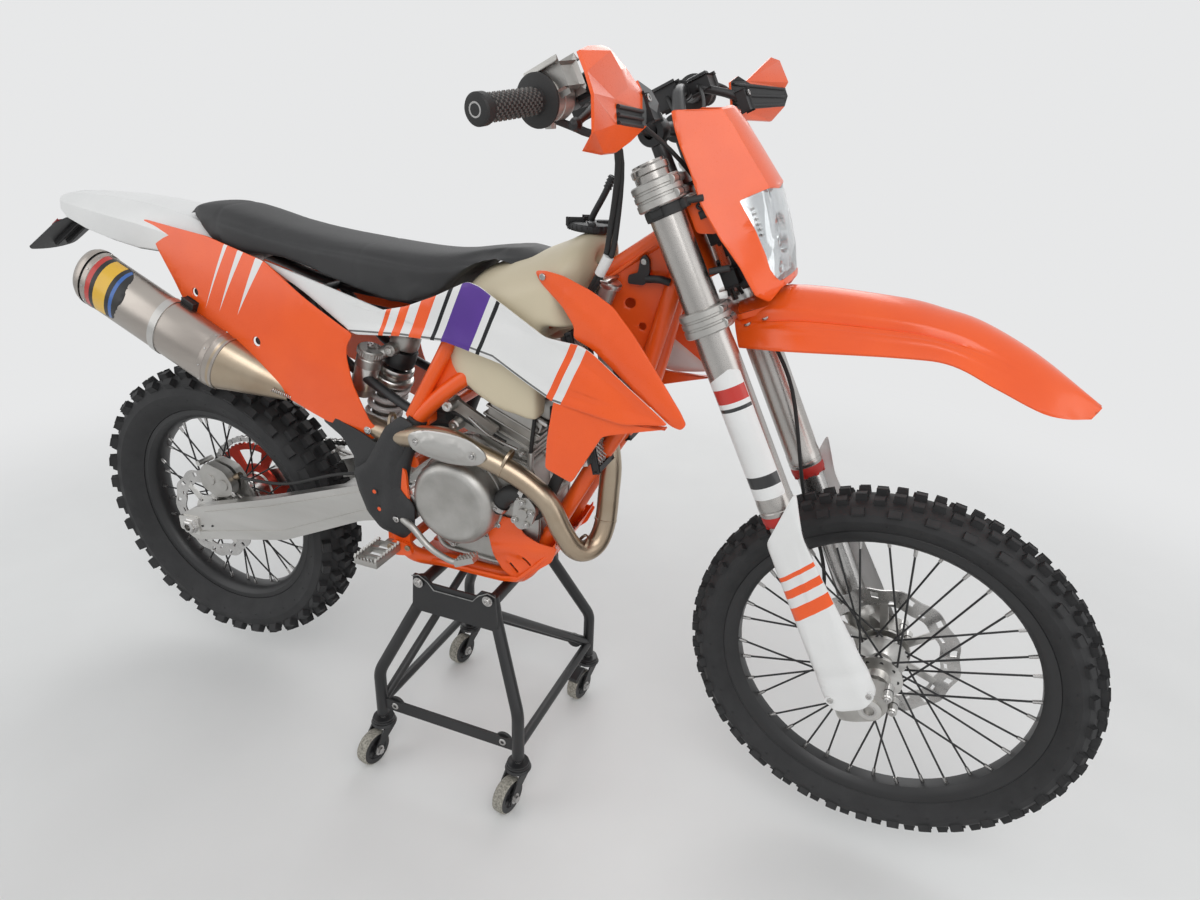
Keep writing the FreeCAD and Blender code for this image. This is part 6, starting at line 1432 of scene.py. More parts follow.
def fork_guards():
    stock = Stock()
    outline = rounded_line([(408, 70), (328, -8), (62, -15), (22, -12), (6, 8), (8, 52), (26, 78), (70, 76),
                            (200, 66), (330, 56)], 14.0)
    regions = [("orange", [(start, -30), (start + wide, -30), (start + wide + 40, 90), (start + 40, 90)])
               for start, wide in ((176, 24), (218, 15), (250, 8))]
    for side in (-1, 1):
        def place(u, v, depth, side=side):
            front = max(0.0, v - 52.0)
            rear = max(0.0, 4.0 - v)
            fold = 0.026 * front * front + 0.05 * rear * rear
            rib = 1.6 * soft(abs(v - 22 - (u - 20) * 0.05), 9.0) * soft(abs(u - 235), 160.0)
            foot = -3.0 * soft(abs(u - 74), 22.0)
            return local(u, v, (131.0 - fold + rib + foot - depth) * side)

        panel(stock, outline, 10.0, place, "white", regions, thick=3.2)
        for u, v in ((30, 2), (30, 66)):
            spot = place(u, v, 0)
            stock.lathe(spot, side_axis * side, [(8.5, -2), (8.5, 1.2), (6, 0.4), (0.3, 0.4)], "white", 20)
            stock.bolt(spot, side_axis * side, 5, "steel", 2.6)
    stock.done("fork_guards_shaped", "steering", ["fork_guards"], 40.0)


def front_fender():
    table = smooth_table([(0.0, 700, 640, 60), (0.20, 697, 614, 84), (0.52, 628, 562, 88),
                          (0.65, 590, 532, 84), (0.75, 555, 480, 78), (0.87, 490, 418, 60),
                          (1.0, 396, 386, 14)])
    stock = Stock()
    rows, under = [], []
    across_steps = 72
    for index in range(61):
        u = index / 60
        crown, edge, half = row_at(table, u)
        lead = 40 + 446 * u
        row, low = [], []
        for step in range(across_steps + 1):
            t = -1 + 2 * step / across_steps
            lift = 1 - abs(t) ** 2.1
            fade = soft(abs(u - 0.40), 0.46)
            groove = -5.0 * soft(abs(abs(t) - 0.645), 0.05) * min(1.0, fade * 2.6)
            band = 3.0 * soft(abs(t), 0.52) * min(1.0, fade * 2)
            lip = 3.4 * soft(abs(abs(t) - 0.80), 0.045) * min(1.0, fade * 2)
            fall = min(1.0, max(0.0, (abs(t) - 0.60) / 0.035)) * (1 - 0.7 * max(0.0, (abs(t) - 0.64) / 0.36))
            groove -= 7.0 * fall * min(1.0, fade * 2.6)
            height = edge + (crown - edge) * lift + groove + lip - (3.0 - band) * (1 - abs(t)) * 0.5
            nose = 16.0 * t * t * soft(1 - u, 0.12)
            row.append(local(height, lead - nose, half * t))
            low.append(local(height - 3.2, lead - nose, half * t * 0.985))
        rows.append(row)
        under.append(low)
    section = [row + low[::-1] for row, low in zip(rows, under)]
    stock.skin(section, "orange", capped=True)
    for side in (-1, 1):
        for lead, along in ((62, 668), (92, 668)):
            stock.bolt(local(along, lead, side * 46), steer_axis * -1, 6, "steel", 4)
    brace = rounded_line([(46, -48), (46, 48), (150, 34), (150, -34)], 14.0)
    stock.prism([local(676 - (lead - 46) * 0.05, lead, side) for lead, side in brace], steer_axis * 9 * MM,
                "orange", 2)
    stock.done("front_fender_shaped", "steering", ["front_fender"], 50.0)


def soften(thing, width):
    """Rounds the creases of a folded sheet."""
    edges = thing.modifiers.new("creases", "BEVEL")
    edges.width = width
    edges.segments = 2
    edges.limit_method = "ANGLE"
    edges.angle_limit = math.radians(14.0)
    edges.use_clamp_overlap = True
    edges.harden_normals = False


MASK_ROWS = [(688, 131, 110, 64, 42), (708, 136, 106, 82, 45), (752, 149, 97, 89, 45), (795, 156, 88, 91, 43),
             (846, 161, 79, 87, 41), (909, 148, 75, 80, 40), (947, 140, 73, 74, 38), (975, 132, 71, 67, 35),
             (1000, 125, 70, 62, 33)]


def mask_lead(along, side):
    front, back, half, crease = row_at(MASK_ROWS, min(max(along, 688.0), 1000.0))
    out = abs(side)
    if out < crease:
        return front + 4.0 * (1 - (out / crease) ** 2)
    return back + (front - back) * (1 - (out - crease) / (half - crease))


def headlight_mask():
    stock = Stock()
    outline = rounded_line([(974, -36), (976, 0), (974, 36), (999, 61), (947, 75), (863, 87), (800, 91),
                            (708, 84), (690, 62), (703, 46), (703, 0), (703, -46), (690, -62), (708, -84),
                            (800, -91), (863, -87), (947, -75), (999, -61)], 3.0)
    hole = rounded_line([(713, -50), (713, 50), (734, 60), (844, 64), (844, 42), (838, 0), (844, -42),
                         (844, -64), (734, -60)], 4.0)
    face = [(row[0], row[4]) for row in MASK_ROWS] + [(row[0], -row[4]) for row in reversed(MASK_ROWS)]

    def place(u, v, depth):
        return local(u, mask_lead(u, v) - depth, v)

    panel(stock, outline, 9.0, place, "orange", [("orange", face)], [hole], 3.2)
    for side in (-1, 1):
        for along in (760, 868):
            arm = local(along, 78, side * 84)
            stock.tube([arm, local(along + 4, 62, side * 94), local(along + 6, 52, side * 98)], 5, "rubber",
                       sides=12)
    mask = stock.done("headlight_mask_shaped", "steering", ["headlight_mask"], 24.0)
    soften(mask, 1.4 * MM)
    lamp = Stock()

    def glass(u, v, depth):
        return local(u, mask_lead(u, v) - 1.0 - depth, v)

    grown = rounded_line([(710, -52), (710, 52), (732, 63), (847, 67), (847, 43), (841, 0), (847, -43),
                          (847, -67), (732, -63)], 4.0)
    panel(lamp, grown, 9.0, glass, "lens", (), (), 2.2)
    lamp.done("headlight_lens", "steering", ["headlight"], 40.0)
    bucket = Stock()

    def wall(u, v, depth):
        return local(u, mask_lead(u, v) - 10.0 - depth, v)

    eye = circle((776, 0), 30.0, 28)
    panel(bucket, grown, 9.0, wall, "chrome", (), [eye, circle((730, -24), 8.0, 16),
                                                   circle((730, 24), 8.0, 16)], 2.0)
    centre = local(776, 138, 0)
    bucket.lathe(centre, lead_axis, [(31, 4), (29, -8), (24, -20), (16, -29), (7, -33), (6, -14), (0.3, -12)],
                 "chrome", 40, False)
    for side in (-1, 1):
        bucket.lathe(local(730, 126, 24 * side), lead_axis, [(9, 8), (7, -4), (0.3, -7)], "chrome", 20, False)
        for index in range(6):
            bucket.box(steered(local(786 + 8 * index, mask_lead(786 + 8 * index, 52) - 9, side * 52)),
                       (12, 3, 3), "chrome", 0.6)
    back = rounded_line([(716, -30), (716, 30), (836, 40), (836, -40)], 12.0)
    bucket.prism([local(a, 66, s) for a, s in back], lead_axis * 34 * MM, "black", 5)
    bucket.done("headlight_reflector", "steering", (), 40.0)


def cockpit():
    stock = Stock()
    gauge = basis(local(954, 78), lead_axis, side_axis, steer_axis)
    stock.box(gauge, (28, 72, 46), "black", 7)
    stock.box(steered(local(978, 78)), (60, 24, 3), "screen", 1.2)
    for side in (-1, 1):
        stock.rod(local(974, 78, 30 * side), local(979, 78, 30 * side), 4, "rubber", sides=16)
    stock.done("instrument_cased", "steering", ["instrument"], 36.0)
    rest = Stock()
    for side in (-1, 1):
        plate = rounded_line([(874, 46), (864, 76), (826, 90), (812, 76), (824, 46)], 7.0)
        rest.prism([local(a, l, 72 * side) for a, l in plate], side_axis * side * 3 * MM, "orange", 1)
        rest.box(steered(local(846, 70, 75 * side)), (5, 16, 9), "black", 1.5)
        rest.tube([local(851, 68, 76 * side), local(860, 62, 77 * side), local(862, 70, 77 * side),
                   local(852, 76, 76 * side)], 2.2, "black", sides=8)
    for index in range(16):
        along = 720 + spread.uniform(0, 120)
        lead = 48 + spread.uniform(0, 30)
        side = spread.uniform(-52, 52)
        end = local(along + spread.uniform(-60, 60), lead + spread.uniform(-10, 6),
                    side + spread.uniform(-24, 24))
        middle = local(along + spread.uniform(-20, 20), lead - spread.uniform(2, 10),
                       side + spread.uniform(-16, 16))
        rest.tube([local(along, lead, side), middle, end], 3.2, "rubber", sides=8)
    for along, lead, side in ((742, 62, -40), (786, 56, 30), (812, 60, -28), (868, 62, 18), (862, 60, -52)):
        rest.box(steered(local(along, lead, side)), (30, 18, 24), "black", 3)
    rest.done("head_wiring", "steering", (), 36.0)


def controls():
    grip = Stock()
    gear = Stock()
    for side in (-1, 1):
        end = local(1053, -22, 406 * side)
        way = (local(1053, 8, 190 * side) - end).normalized()
        first, second = across(way)
        grip.lathe(end, way, [(0.3, -1.8), (12, -1.8), (17, -0.5), (19, 2), (19, 12), (17, 14), (15.6, 16),
                              (15.6, 108), (17, 112), (30, 114), (33, 116), (33, 119), (30, 121),
                              (11.4, 121.6)], "rubber", 40, False)
        grip.lathe(end, way, [(9, -2), (7, -2), (7, -1.6), (9, -1.6)], "steel", 28)
        for along in range(20):
            for turn in range(14):
                angle = math.tau * (turn + 0.5 * (along % 2)) / 14
                out = first * math.cos(angle) + second * math.sin(angle)
                place = end + way * (20 + along * 4.5) * MM + out * 15.8 * MM
                grip.box(basis(place, way, way.cross(out), out), (2.9, 4.6, 1.8), "grip_dot", 0.0, 0.7)
        start = end + way * 124 * MM
        if side < 0:
            gear.lathe(start, way, [(12, 0), (24, 0), (27.4, 3), (28, 8), (28, 13), (27, 14), (27, 16),
                                    (28, 17), (28, 34), (26, 40), (18, 42), (12, 42)], "cast", 44)
            gear.box(basis(start + way * 21 * MM + steer_axis * 14 * MM + lead_axis * 16 * MM, way, lead_axis,
                           steer_axis), (38, 34, 30), "cast", 9)
            gear.rod(start + way * 18 * MM + second * 14 * MM,
                     start + way * 18 * MM + second * 14 * MM - steer_axis * 20 * MM - lead_axis * 8 * MM,
                     9, "cast", 7, sides=20)
        else:
            gear.lathe(start, way, [(12, 0), (17, 0), (18, 2), (18, 32), (16, 36), (12, 36)], "black", 36)
        perch = [local(1056, 12, 222 * side), local(1056, 50, 222 * side)]
        gear.rod(perch[0], perch[1], 13.5, "coat", sides=28, chamfer=2)
        gear.lathe(local(1052, 4, 222 * side), side_axis, [(11.3, -11), (17, -11), (17, 11), (11.3, 11)],
                   "coat", 32)
        gear.box(steered(local(1048, 40, 214 * side)), (48, 26, 22), "coat", 5)
        gear.box(steered(local(1060, 40, 212 * side)), (44, 24, 4), "black", 1.5)
        blade = [local(1052, 34, 232 * side), local(1036, 56, 250 * side), local(1020, 62, 280 * side),
                 local(1008, 62, 310 * side), local(1000, 58, 334 * side)]
        gear.tube(blade, [7, 5.6, 5, 4.6, 4.4], "coat", sides=14)
        gear.lathe(local(998, 56, 340 * side), side_axis, [(0.3, -9), (6, -6.5), (8.5, 0), (6, 6.5),
                                                           (0.3, 9)], "coat", 20, False)
        gear.bolt(local(1066, 32, 234 * side), steer_axis, 6, "steel", 4)
    gear.box(steered(local(1048, -6, 160)), (26, 34, 34), "black", 5)
    gear.box(steered(local(1048, -6, -160)), (22, 30, 30), "black", 5)
    for along, side, colour in ((1044, 160, "label_red"), (1056, 160, "label_yellow"),
                                (1044, -160, "label_red")):
        gear.rod(local(along, -22, side), local(along, -26, side), 5, colour, sides=16)
    grip.done("grips_studded", "steering", ["grips"], 34.0)
    gear.done("bar_controls_cast", "steering", ["bar_controls"], 34.0)


# The folded hand guards: corners as (along, lead, side), and the triangles that join them in each colour
GUARD_CORNERS = {"a": (1054, 118, 392), "b": (1059, 118, 368), "c": (1061, 118, 330), "d": (1058, 118, 312),
                 "e": (1039, 111, 268), "f": (1013, 103, 226), "g": (1005, 102, 232), "h": (1000, 103, 318),
                 "i": (992, 99, 238), "j": (972, 91, 240), "k": (979, 95, 318), "l": (974, 94, 230),
                 "m": (962, 80, 262), "n": (954, 74, 300), "o": (955, 74, 335), "p": (962, 78, 386),
                 "q": (972, 104, 401), "r": (1006, 121, 404), "s": (1030, 122, 401), "t": (1050, 128, 336),
                 "u": (1032, 122, 312), "v": (1017, 108, 278), "w": (1005, 107, 324), "x": (979, 98, 328),
                 "y": (1029, 101, 222), "z": (1014, 107, 206), "0": (996, 108, 200), "1": (980, 100, 206)}
GUARD_FOLDS = [("orange", "abt ats stu suw swr uvw vgw bct cdt dut deu evu efv fgv rwh rhk rkx rxq wgi wih"),
               ("black", "hij hjk"), ("orange", "kjl klx qxo qop xlm xmn xno"),
               ("grey", "fyz fz0 f0g g0i i01 i1j j1l")]
LEFT_CORNERS = {"a": (1027, 98, 262), "b": (1055, 130, 350), "c": (1048, 134, 388), "d": (1008, 133, 404),
                "e": (1001, 125, 400), "f": (1010, 103, 300), "g": (1031, 88, 206), "h": (1036, 98, 224),
                "i": (986, 124, 404), "j": (971, 114, 398), "k": (990, 76, 206), "l": (984, 82, 240),
                "m": (955, 90, 370), "n": (970, 76, 240)}
LEFT_FOLDS = [("orange", "abc acd ade aef"), ("black", "gha gaf gfe gej eij gjk kjl"), ("orange", "ljm lmn")]


def hand_guards():
    stock = Stock()
    fittings = Stock()
    for side, corners, folds, ribs in ((-1, GUARD_CORNERS, GUARD_FOLDS, "hkij"),
                                       (1, LEFT_CORNERS, LEFT_FOLDS, "gkej")):
        def at(corner, depth, side=side):
            along, lead, out = corner
            return local(along, lead - depth, out * side)

        outer = {key: stock.mesh.verts.new(at(corner, 0.0)) for key, corner in corners.items()}
        inner = {key: stock.mesh.verts.new(at(corner, 4.2)) for key, corner in corners.items()}
        sides = {}
        for colour, keys in [(colour, keys) for colour, run in folds for keys in run.split()]:
            stock.paint([stock.mesh.faces.new([outer[k] for k in keys])], colour)
            stock.paint([stock.mesh.faces.new([inner[k] for k in reversed(keys)])], "orange")
            for first, second in zip(keys, keys[1:] + keys[0]):
                sides[(first, second)] = (second, first) not in sides
                if (second, first) in sides:
                    sides[(first, second)] = sides[(second, first)] = False
        for (first, second), is_rim in sides.items():
            if is_rim:
                stock.paint([stock.mesh.faces.new((outer[first], outer[second], inner[second],
                                                   inner[first]))], "orange")
        for share in (0.1, 0.5, 0.9):
            h, k, i, j = (at(corners[key], -1.5) for key in ribs)
            left, right = h + (k - h) * share, i + (j - i) * share
            fittings.tube([left.lerp(right, 0.03), left.lerp(right, 0.97)], 2.6, "black", sides=10)
        hook = [at(corner, 0.0) for corner in ((998, 96, 214), (1020, 72, 200), (1046, 34, 192))]
        fittings.tube(hook, [8, 7, 7], "black", sides=16)
        fittings.box(steered(at((994, 98, 214), 0.0)), (30, 10, 34), "black", 3)
        inner_end = local(1053, 8, 190 * side)
        way = (local(1053, -22, 406 * side) - inner_end).normalized()
        fittings.rod(inner_end + way * 1 * MM, inner_end + way * 15 * MM, 17, "coat", sides=28, chamfer=1.5)
        fittings.bolt(at((1004, 104, 222), -1.0), lead_axis, 5, "steel", 3)
    guard = stock.done("hand_guards_shaped", "steering", ["hand_guards"], 24.0)
    soften(guard, 2.0 * MM)
    fittings.done("hand_guard_mounts", "steering", (), 34.0)


def front_caliper():
    stock = Stock()
    matrix = basis(local(52, -46, 55), lead_axis, side_axis, steer_axis)

    def at(lead, side, along):
        return matrix @ Vector((lead * MM, side * MM, along * MM))

    for side in (-1, 1):
        body = rounded_line([(-33, -50), (-33, 50), (26, 50), (34, 20), (30, -20), (34, -50)], 9.0)
        stock.prism([at(l, side * 4, a) for l, a in body], side_axis * side * 13 * MM, "cast", 3)
        for along in (-24, 22):
            stock.rod(at(-2, side * 16, along), at(-2, side * 19.5, along), 15, "cast", 13, sides=28)
    for along in (-44, 44):
        stock.rod(at(-26, -17, along), at(-26, 17, along), 6, "machined", sides=20)
        stock.bolt(at(-26, 17, along), side_axis, 5, "steel", 4)
    stock.rod(local(30, 8, 84), local(30, -50, 68), 9, "cast", 8, sides=20)
    stock.rod(local(70, 2, 86), local(74, -40, 70), 8, "cast", 7, sides=20)
    stock.done("front_caliper_cast", "steering", ["front_caliper"], 34.0)
    hose("front_brake_hose", [local(100, -40, 62), local(130, -20, 78), local(200, -4, 84),
                              local(320, 10, 62), local(520, 60, 50), local(640, 54, 50), local(700, 60, 40),
                              local(800, 70, 10), local(930, 56, -60), local(1010, 46, -160),
                              local(1046, 40, -192)], 3.4, "rubber", "steering")
    for side, route in ((1, [(1046, 40, 190), (1010, 60, 120), (960, 66, 40), (900, 62, 20), (820, 56, 12)]),
                        (1, [(1048, -6, 148), (1010, 20, 90), (950, 60, 20), (880, 60, 4)])):
        hose("bar_line_" + str(len(route)), [local(*place) for place in route], 3.0, "rubber", "steering")


def throttle_cables():
    stock = Stock()
    for shift in (-5.0, 5.0):
        start = [local(1030, -8, -268), local(1006, 2, -214 + shift), local(970, 14, -160 + shift)]
        end = [bike(972 + shift, -98, 1062), bike(958 + shift * 0.7, -91, 1018),
               bike(938 + shift * 0.5, -87, 980), bike(916, -84, 944)]
        stock.tube(start + end, 4.6, "rubber", sides=12)
    cables = stock.done("throttle_cables", None)
    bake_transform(cables)
    sleeve = Stock()
    sleeve.rod(bike(966, -93, 1034), bike(950, -90, 1003), 9, "white", 8.4, sides=24, chamfer=1)
    sleeve.done("cable_sleeve", "chassis")


spread = random.Random(7)
clamps()
fork_tubes()
fork_guards()
front_fender()
headlight_mask()
cockpit()
controls()
hand_guards()
front_caliper()
throttle_cables()


# Tank, seat, cooling and frame fittings
def fuel_tank():
    tank = copied("fuel_tank_moulded", "fuel_tank", 0.005)
    for vertex in tank.data.vertices:
        place = vertex.co - bike_origin
        height = soft(abs(place.z / MM - 815), 105.0)
        ahead = max(0.0, min(1.0, (place.x / MM - 680) / 140))
        vertex.co.x -= 36 * MM * height * (1 - ahead * ahead * (3 - 2 * ahead))
        rise = max(0.0, min(1.0, (place.z / MM - 868) / 80))
        front = (924 + (place.z / MM - 987) * 0.33 - 872) / (988 - 872)
        if place.x / MM > 872:
            vertex.co.x += (place.x - 872 * MM) * (front - 1) * rise * rise * (3 - 2 * rise)
    relax = tank.modifiers.new("relax", "SMOOTH")
    relax.factor = 0.6
    relax.iterations = 24
    applied(tank)
    dress(tank, "ivory", "chassis", "fuel_tank")


def copied(name, node_name, voxel):
    """A copy of a solid's mesh as a new thing with an even net."""
    source = frame["nodes"][node_name]
    mesh = bpy.data.meshes.new_from_object(source)
    mesh.transform(source.matrix_world)
    thing = bpy.data.objects.new(name, mesh)
    bpy.context.scene.collection.objects.link(thing)
    even = thing.modifiers.new("even", "REMESH")
    even.mode = "VOXEL"
    even.voxel_size = voxel
    applied(thing)
    return thing


def dress(thing, finish_name, body, replaced):
    thing.data.materials.clear()
    thing.data.materials.append(mat[finish_name])
    for face in thing.data.polygons:
        face.use_smooth = True
        face.material_index = 0
    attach(thing, body)
    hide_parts(replaced)


def fuel_cap():
    cap = Stock()
    cap.lathe(bike(895, 0, 1056), Vector((0.05, 0, 1)).normalized(), [(34, 0), (36, 1), (37, 4), (37, 9),
                                                                      (35, 12), (30, 13.5), (0.3, 14.5)],
              "black", 48, False)
    for index in range(4):
        angle = math.tau * index / 4 + 0.5
        way = Vector((math.cos(angle), math.sin(angle), 0))
        cap.box(basis(bike(895, 0, 1069) + way * 24 * MM, way, UP.cross(way), UP), (26, 13, 8), "black", 3)
    for index in range(24):
        angle = math.tau * index / 24
        way = Vector((math.cos(angle), math.sin(angle), 0))
        cap.rod(bike(895, 0, 1058) + way * 36.6 * MM, bike(895, 0, 1066) + way * 36.6 * MM, 1.6, "black",
                sides=6)
    cap.tube([bike(895, 0, 1068), bike(902, 0, 1084), bike(918, -2, 1112), bike(928, -3, 1132)], 5.4,
             "rubber", sides=16)
    tip = (bike(931, -3, 1139) - bike(918, -2, 1112)).normalized()
    for index in range(4):
        cap.lathe(bike(925 + index * 2.2, -3, 1126 + index * 5), tip, [(3, 0), (7.4, 0), (5.6, 4), (3, 4)],
                  "black", 16)
    cap.done("fuel_cap_vented", "chassis", ["fuel_cap"], 36.0)


def seat_cushion():
    """The seat cover: the solid remeshed, blown up by a cloth run, then given its seams."""
    cover = copied("seat_cushion", "seat", 0.006)
    shrink = cover.modifiers.new("shrink", "DISPLACE")
    shrink.strength = -0.004
    shrink.mid_level = 0.0
    applied(cover)
    relax = cover.modifiers.new("relax", "SMOOTH")
    relax.factor = 0.5
    relax.iterations = 8
    applied(cover)
    for vertex in cover.data.vertices:
        ahead = max(0.0, min(1.0, ((vertex.co.x - bike_origin.x) / MM - 680) / 140))
        vertex.co.z -= 20 * MM * ahead * ahead
    rest = [vertex.co.copy() for vertex in cover.data.vertices]
    cloth = cover.modifiers.new("swell", "CLOTH")
    cloth.settings.use_pressure = True
    cloth.settings.uniform_pressure_force = 4.0
    cloth.settings.effector_weights.gravity = 0.0
    cloth.settings.quality = 4
    for step in range(1, 21):
        bpy.context.scene.frame_set(step)
    applied(cover)
    bpy.context.scene.frame_set(1)
    reach = 0.0052
    normals = [vertex.normal.copy() for vertex in cover.data.vertices]
    for vertex, place, normal in zip(cover.data.vertices, rest, normals):
        moved = vertex.co - place
        if moved.length > reach:
            moved = moved.normalized() * reach
        vertex.co = place + moved
        if normal.z > -0.2:
            here = vertex.co
            width = abs(here.y - bike_origin.y)
            line = (74.0 * MM if here.x < bike_origin.x + 0.62
                    else (74.0 - (here.x - bike_origin.x - 0.62) * 90) * MM)
            vertex.co = vertex.co - normal * 0.0022 * soft(abs(width - line) / MM, 6.0)
            for level in (0.150, 0.480):
                vertex.co = vertex.co - normal * 0.0014 * soft(abs(here.x - bike_origin.x - level) / MM, 5.0)
    fine = cover.modifiers.new("fine", "SUBSURF")
    fine.levels = 1
    fine.render_levels = 1
    applied(cover)
    dress(cover, "seat", "chassis", "seat")


def applied(thing):
    """Replaces the thing's mesh by the result of its modifiers and clears them."""
    shown = thing.evaluated_get(bpy.context.evaluated_depsgraph_get())
    mesh = bpy.data.meshes.new_from_object(shown)
    old = thing.data
    thing.modifiers.clear()
    thing.data = mesh
    bpy.data.meshes.remove(old)


def cooling():
    stock = Stock()
    for side in (-1, 1):
        low, high = bike(968, 0, 674), bike(911, 0, 905)
        up = (high - low).normalized()
        out = LEFT * side
        ahead = out.cross(up) * side
        ahead = ahead if ahead.x > 0 else -ahead
        foot = low + out * 50 * MM
        tall = (high - low).length / MM

        def at(u, v, depth=0.0):
            return foot + out * u * MM + up * v * MM + ahead * depth * MM

        for start, end in (((-2, 0), (66, 0)), ((66, 0), (66, tall)), ((66, tall), (-2, tall)),
                           ((-2, tall), (-2, 0))):
            way = (at(*end) - at(*start)).normalized()
            middle = (at(*start) + at(*end)) / 2
            long = (at(*end) - at(*start)).length / MM + 6
            stock.box(basis(middle, way, way.cross(ahead), ahead), (long, 6, 9), "black", 2)
        step = 9.0
        for lean in (1, -1):
            offset = -tall
            while offset < tall + 68:
                clipped = clip(0.0, offset, 64.0, offset + lean * 64.0 * 0.9, tall)
                if clipped:
                    (u0, v0), (u1, v1) = clipped
                    stock.rod(at(u0, v0, 1.2 * lean), at(u1, v1, 1.2 * lean), 0.9, "steel", sides=5)
                offset += step
        for index in range(26):
            v = 6 + index * (tall - 12) / 25
            stock.box(basis(at(32, v, -6), out, up, ahead), (62, 1.2, 3), "cast")
    stock.done("radiator_grilles_meshed", "chassis", ["radiator_grilles"], 34.0)
    neck = Stock()
    neck.rod(bike(925, -70, 900), bike(957, -68, 982), 19, "cast", 17, sides=28)
    neck.lathe(bike(957, -68, 982), Vector((0.28, 0, 0.96)).normalized(),
               [(15, 0), (21, 0), (22, 2), (22, 8), (20, 10), (8, 11), (0.3, 11)], "machined", 36, False)
    neck.box(upright(bike(960, -68, 994)), (14, 52, 3.5), "machined", 1)
    neck.rod(bike(950, -82, 962), bike(938, -100, 956), 4, "cast", sides=12)
    plate = rounded_line([(982, 984), (982, 998), (998, 1003), (1001, 1026), (1008, 1034), (1016, 1026),
                          (1018, 1006), (1010, 984)], 4.0)
    neck.prism(side_on(plate, -36), RIGHT * 7 * MM, "black", 1.5)
    neck.bolt(bike(1008, -43, 1022), RIGHT, 5, "steel", 3)
    neck.tube([bike(1012, -40, 994), bike(1034, -40, 996), bike(1050, -34, 992)], 6.5, "black", sides=16)
    neck.done("radiator_filler", "chassis", (), 34.0)


def clip(u0, v0, u1, v1, tall):
    """The run cut to heights between 0 and tall, or None."""
    if max(v0, v1) < 0 or min(v0, v1) > tall:
        return None
    pair = []
    for v in (v0, v1):
        held = min(max(v, 0.0), tall)
        t = (held - v0) / (v1 - v0)
        pair.append((u0 + (u1 - u0) * t, held))
    return pair if abs(pair[0][1] - pair[1][1]) > 3.0 else None


def frame_welded():
    stock = Stock()
    stock.lathe(local(752, 0), steer_axis, [(15.5, 0), (31, 0), (31, 10), (29, 13), (29, 107), (31, 110),
                                            (31, 120), (15.5, 120)], "frame", 44)
    for side in (-1, 1):
        top = [local(842, -15, 12 * side), local(812, -170, 50 * side), bike(800, side * 58, 870),
               bike(752, side * 70, 830), bike(706, side * 86, 797), bike(652, side * 99, 752),
               bike(606, side * 107, 700), bike(582, side * 112, 650), bike(566, side * 115, 600),
               bike(556, side * 116, 530), bike(556, side * 116, 440)]
        stock.tube(top, 15, "frame", sides=24)
        branch = [bike(596, side * 108, 706), bike(626, side * 103, 764), bike(658, side * 96, 826),
                  bike(672, side * 84, 862)]
        stock.tube(branch, 13, "frame", sides=22)
        down = [local(797, -12, 12 * side), bike(1004, side * 48, 780), bike(930, side * 55, 636),
                bike(862, side * 60, 500), bike(812, side * 62, 404), bike(756, side * 62, 382),
                bike(640, side * 64, 382), bike(580, side * 100, 402), bike(556, side * 114, 438)]
        stock.tube(down, 15, "frame", sides=24)
        web = [(590, 700), (614, 752), (650, 816), (668, 838), (692, 800), (652, 750), (610, 698)]

        def fork_web(u, v, depth, side=side):
            return bike(u, side * (104 - (v - 690) * 0.12 - depth), v)

        panel(stock, rounded_line(web, 6.0), 14.0, fork_web, "frame", (), (), 6.0)
        plate = rounded_line([(538, 425), (586, 425), (592, 505), (588, 600), (568, 622), (540, 535)], 10.0)
        stock.prism(side_on(plate, side * 123.5), LEFT * side * 6 * MM, "frame", 1.5)

        def gusset(u, v, depth, side=side):
            return bike(u, side * (17 + (1050 - u) * 0.235 - depth), v)

        outline = rounded_line([(1042, 1058), (1054, 1024), (1026, 916), (1006, 858), (968, 914), (918, 962),
                                (962, 1004)], 10.0)
        slots = [circle((1010, 1000), 8.0, 14), circle((984, 950), 9.0, 14), circle((1006, 912), 6.5, 14)]
        panel(stock, outline, 16.0, gusset, "frame", (), slots, 4.0)
        weld = [(1036, 13, 1074), (1000, 24, 1043), (960, 38, 1010), (920, 48, 977)]
        stock.tube([bike(x, side * (y + 9), z - 11) for x, y, z in weld], 3.2, "frame", sides=8)
        for x, y, z, size in ((706, 86, 797, 17), (862, 60, 500, 17), (1000, 48, 772, 17)):
            stock.lathe(bike(x, side * y, z), LEFT, [(13, -6), (size * 0.98, -4), (size, 0), (size * 0.98, 4),
                                                     (13, 6)], "frame", 28)
    for x, half, z, size in ((563, 126, 432, 10), (592, 108, 612, 12), (618, 104, 700, 12)):
        stock.rod(bike(x, -half, z), bike(x, half, z), size, "frame", sides=20)
    stock.box(upright(bike(570, 118, 430)), (60, 32, 50), "frame", 4)
    stock.tube([bike(560, 120, 420), bike(540, 140, 398), bike(525, 156, 386)], 9, "frame", sides=14)
    stock.done("frame_welded", "chassis", ["frame"], 36.0)


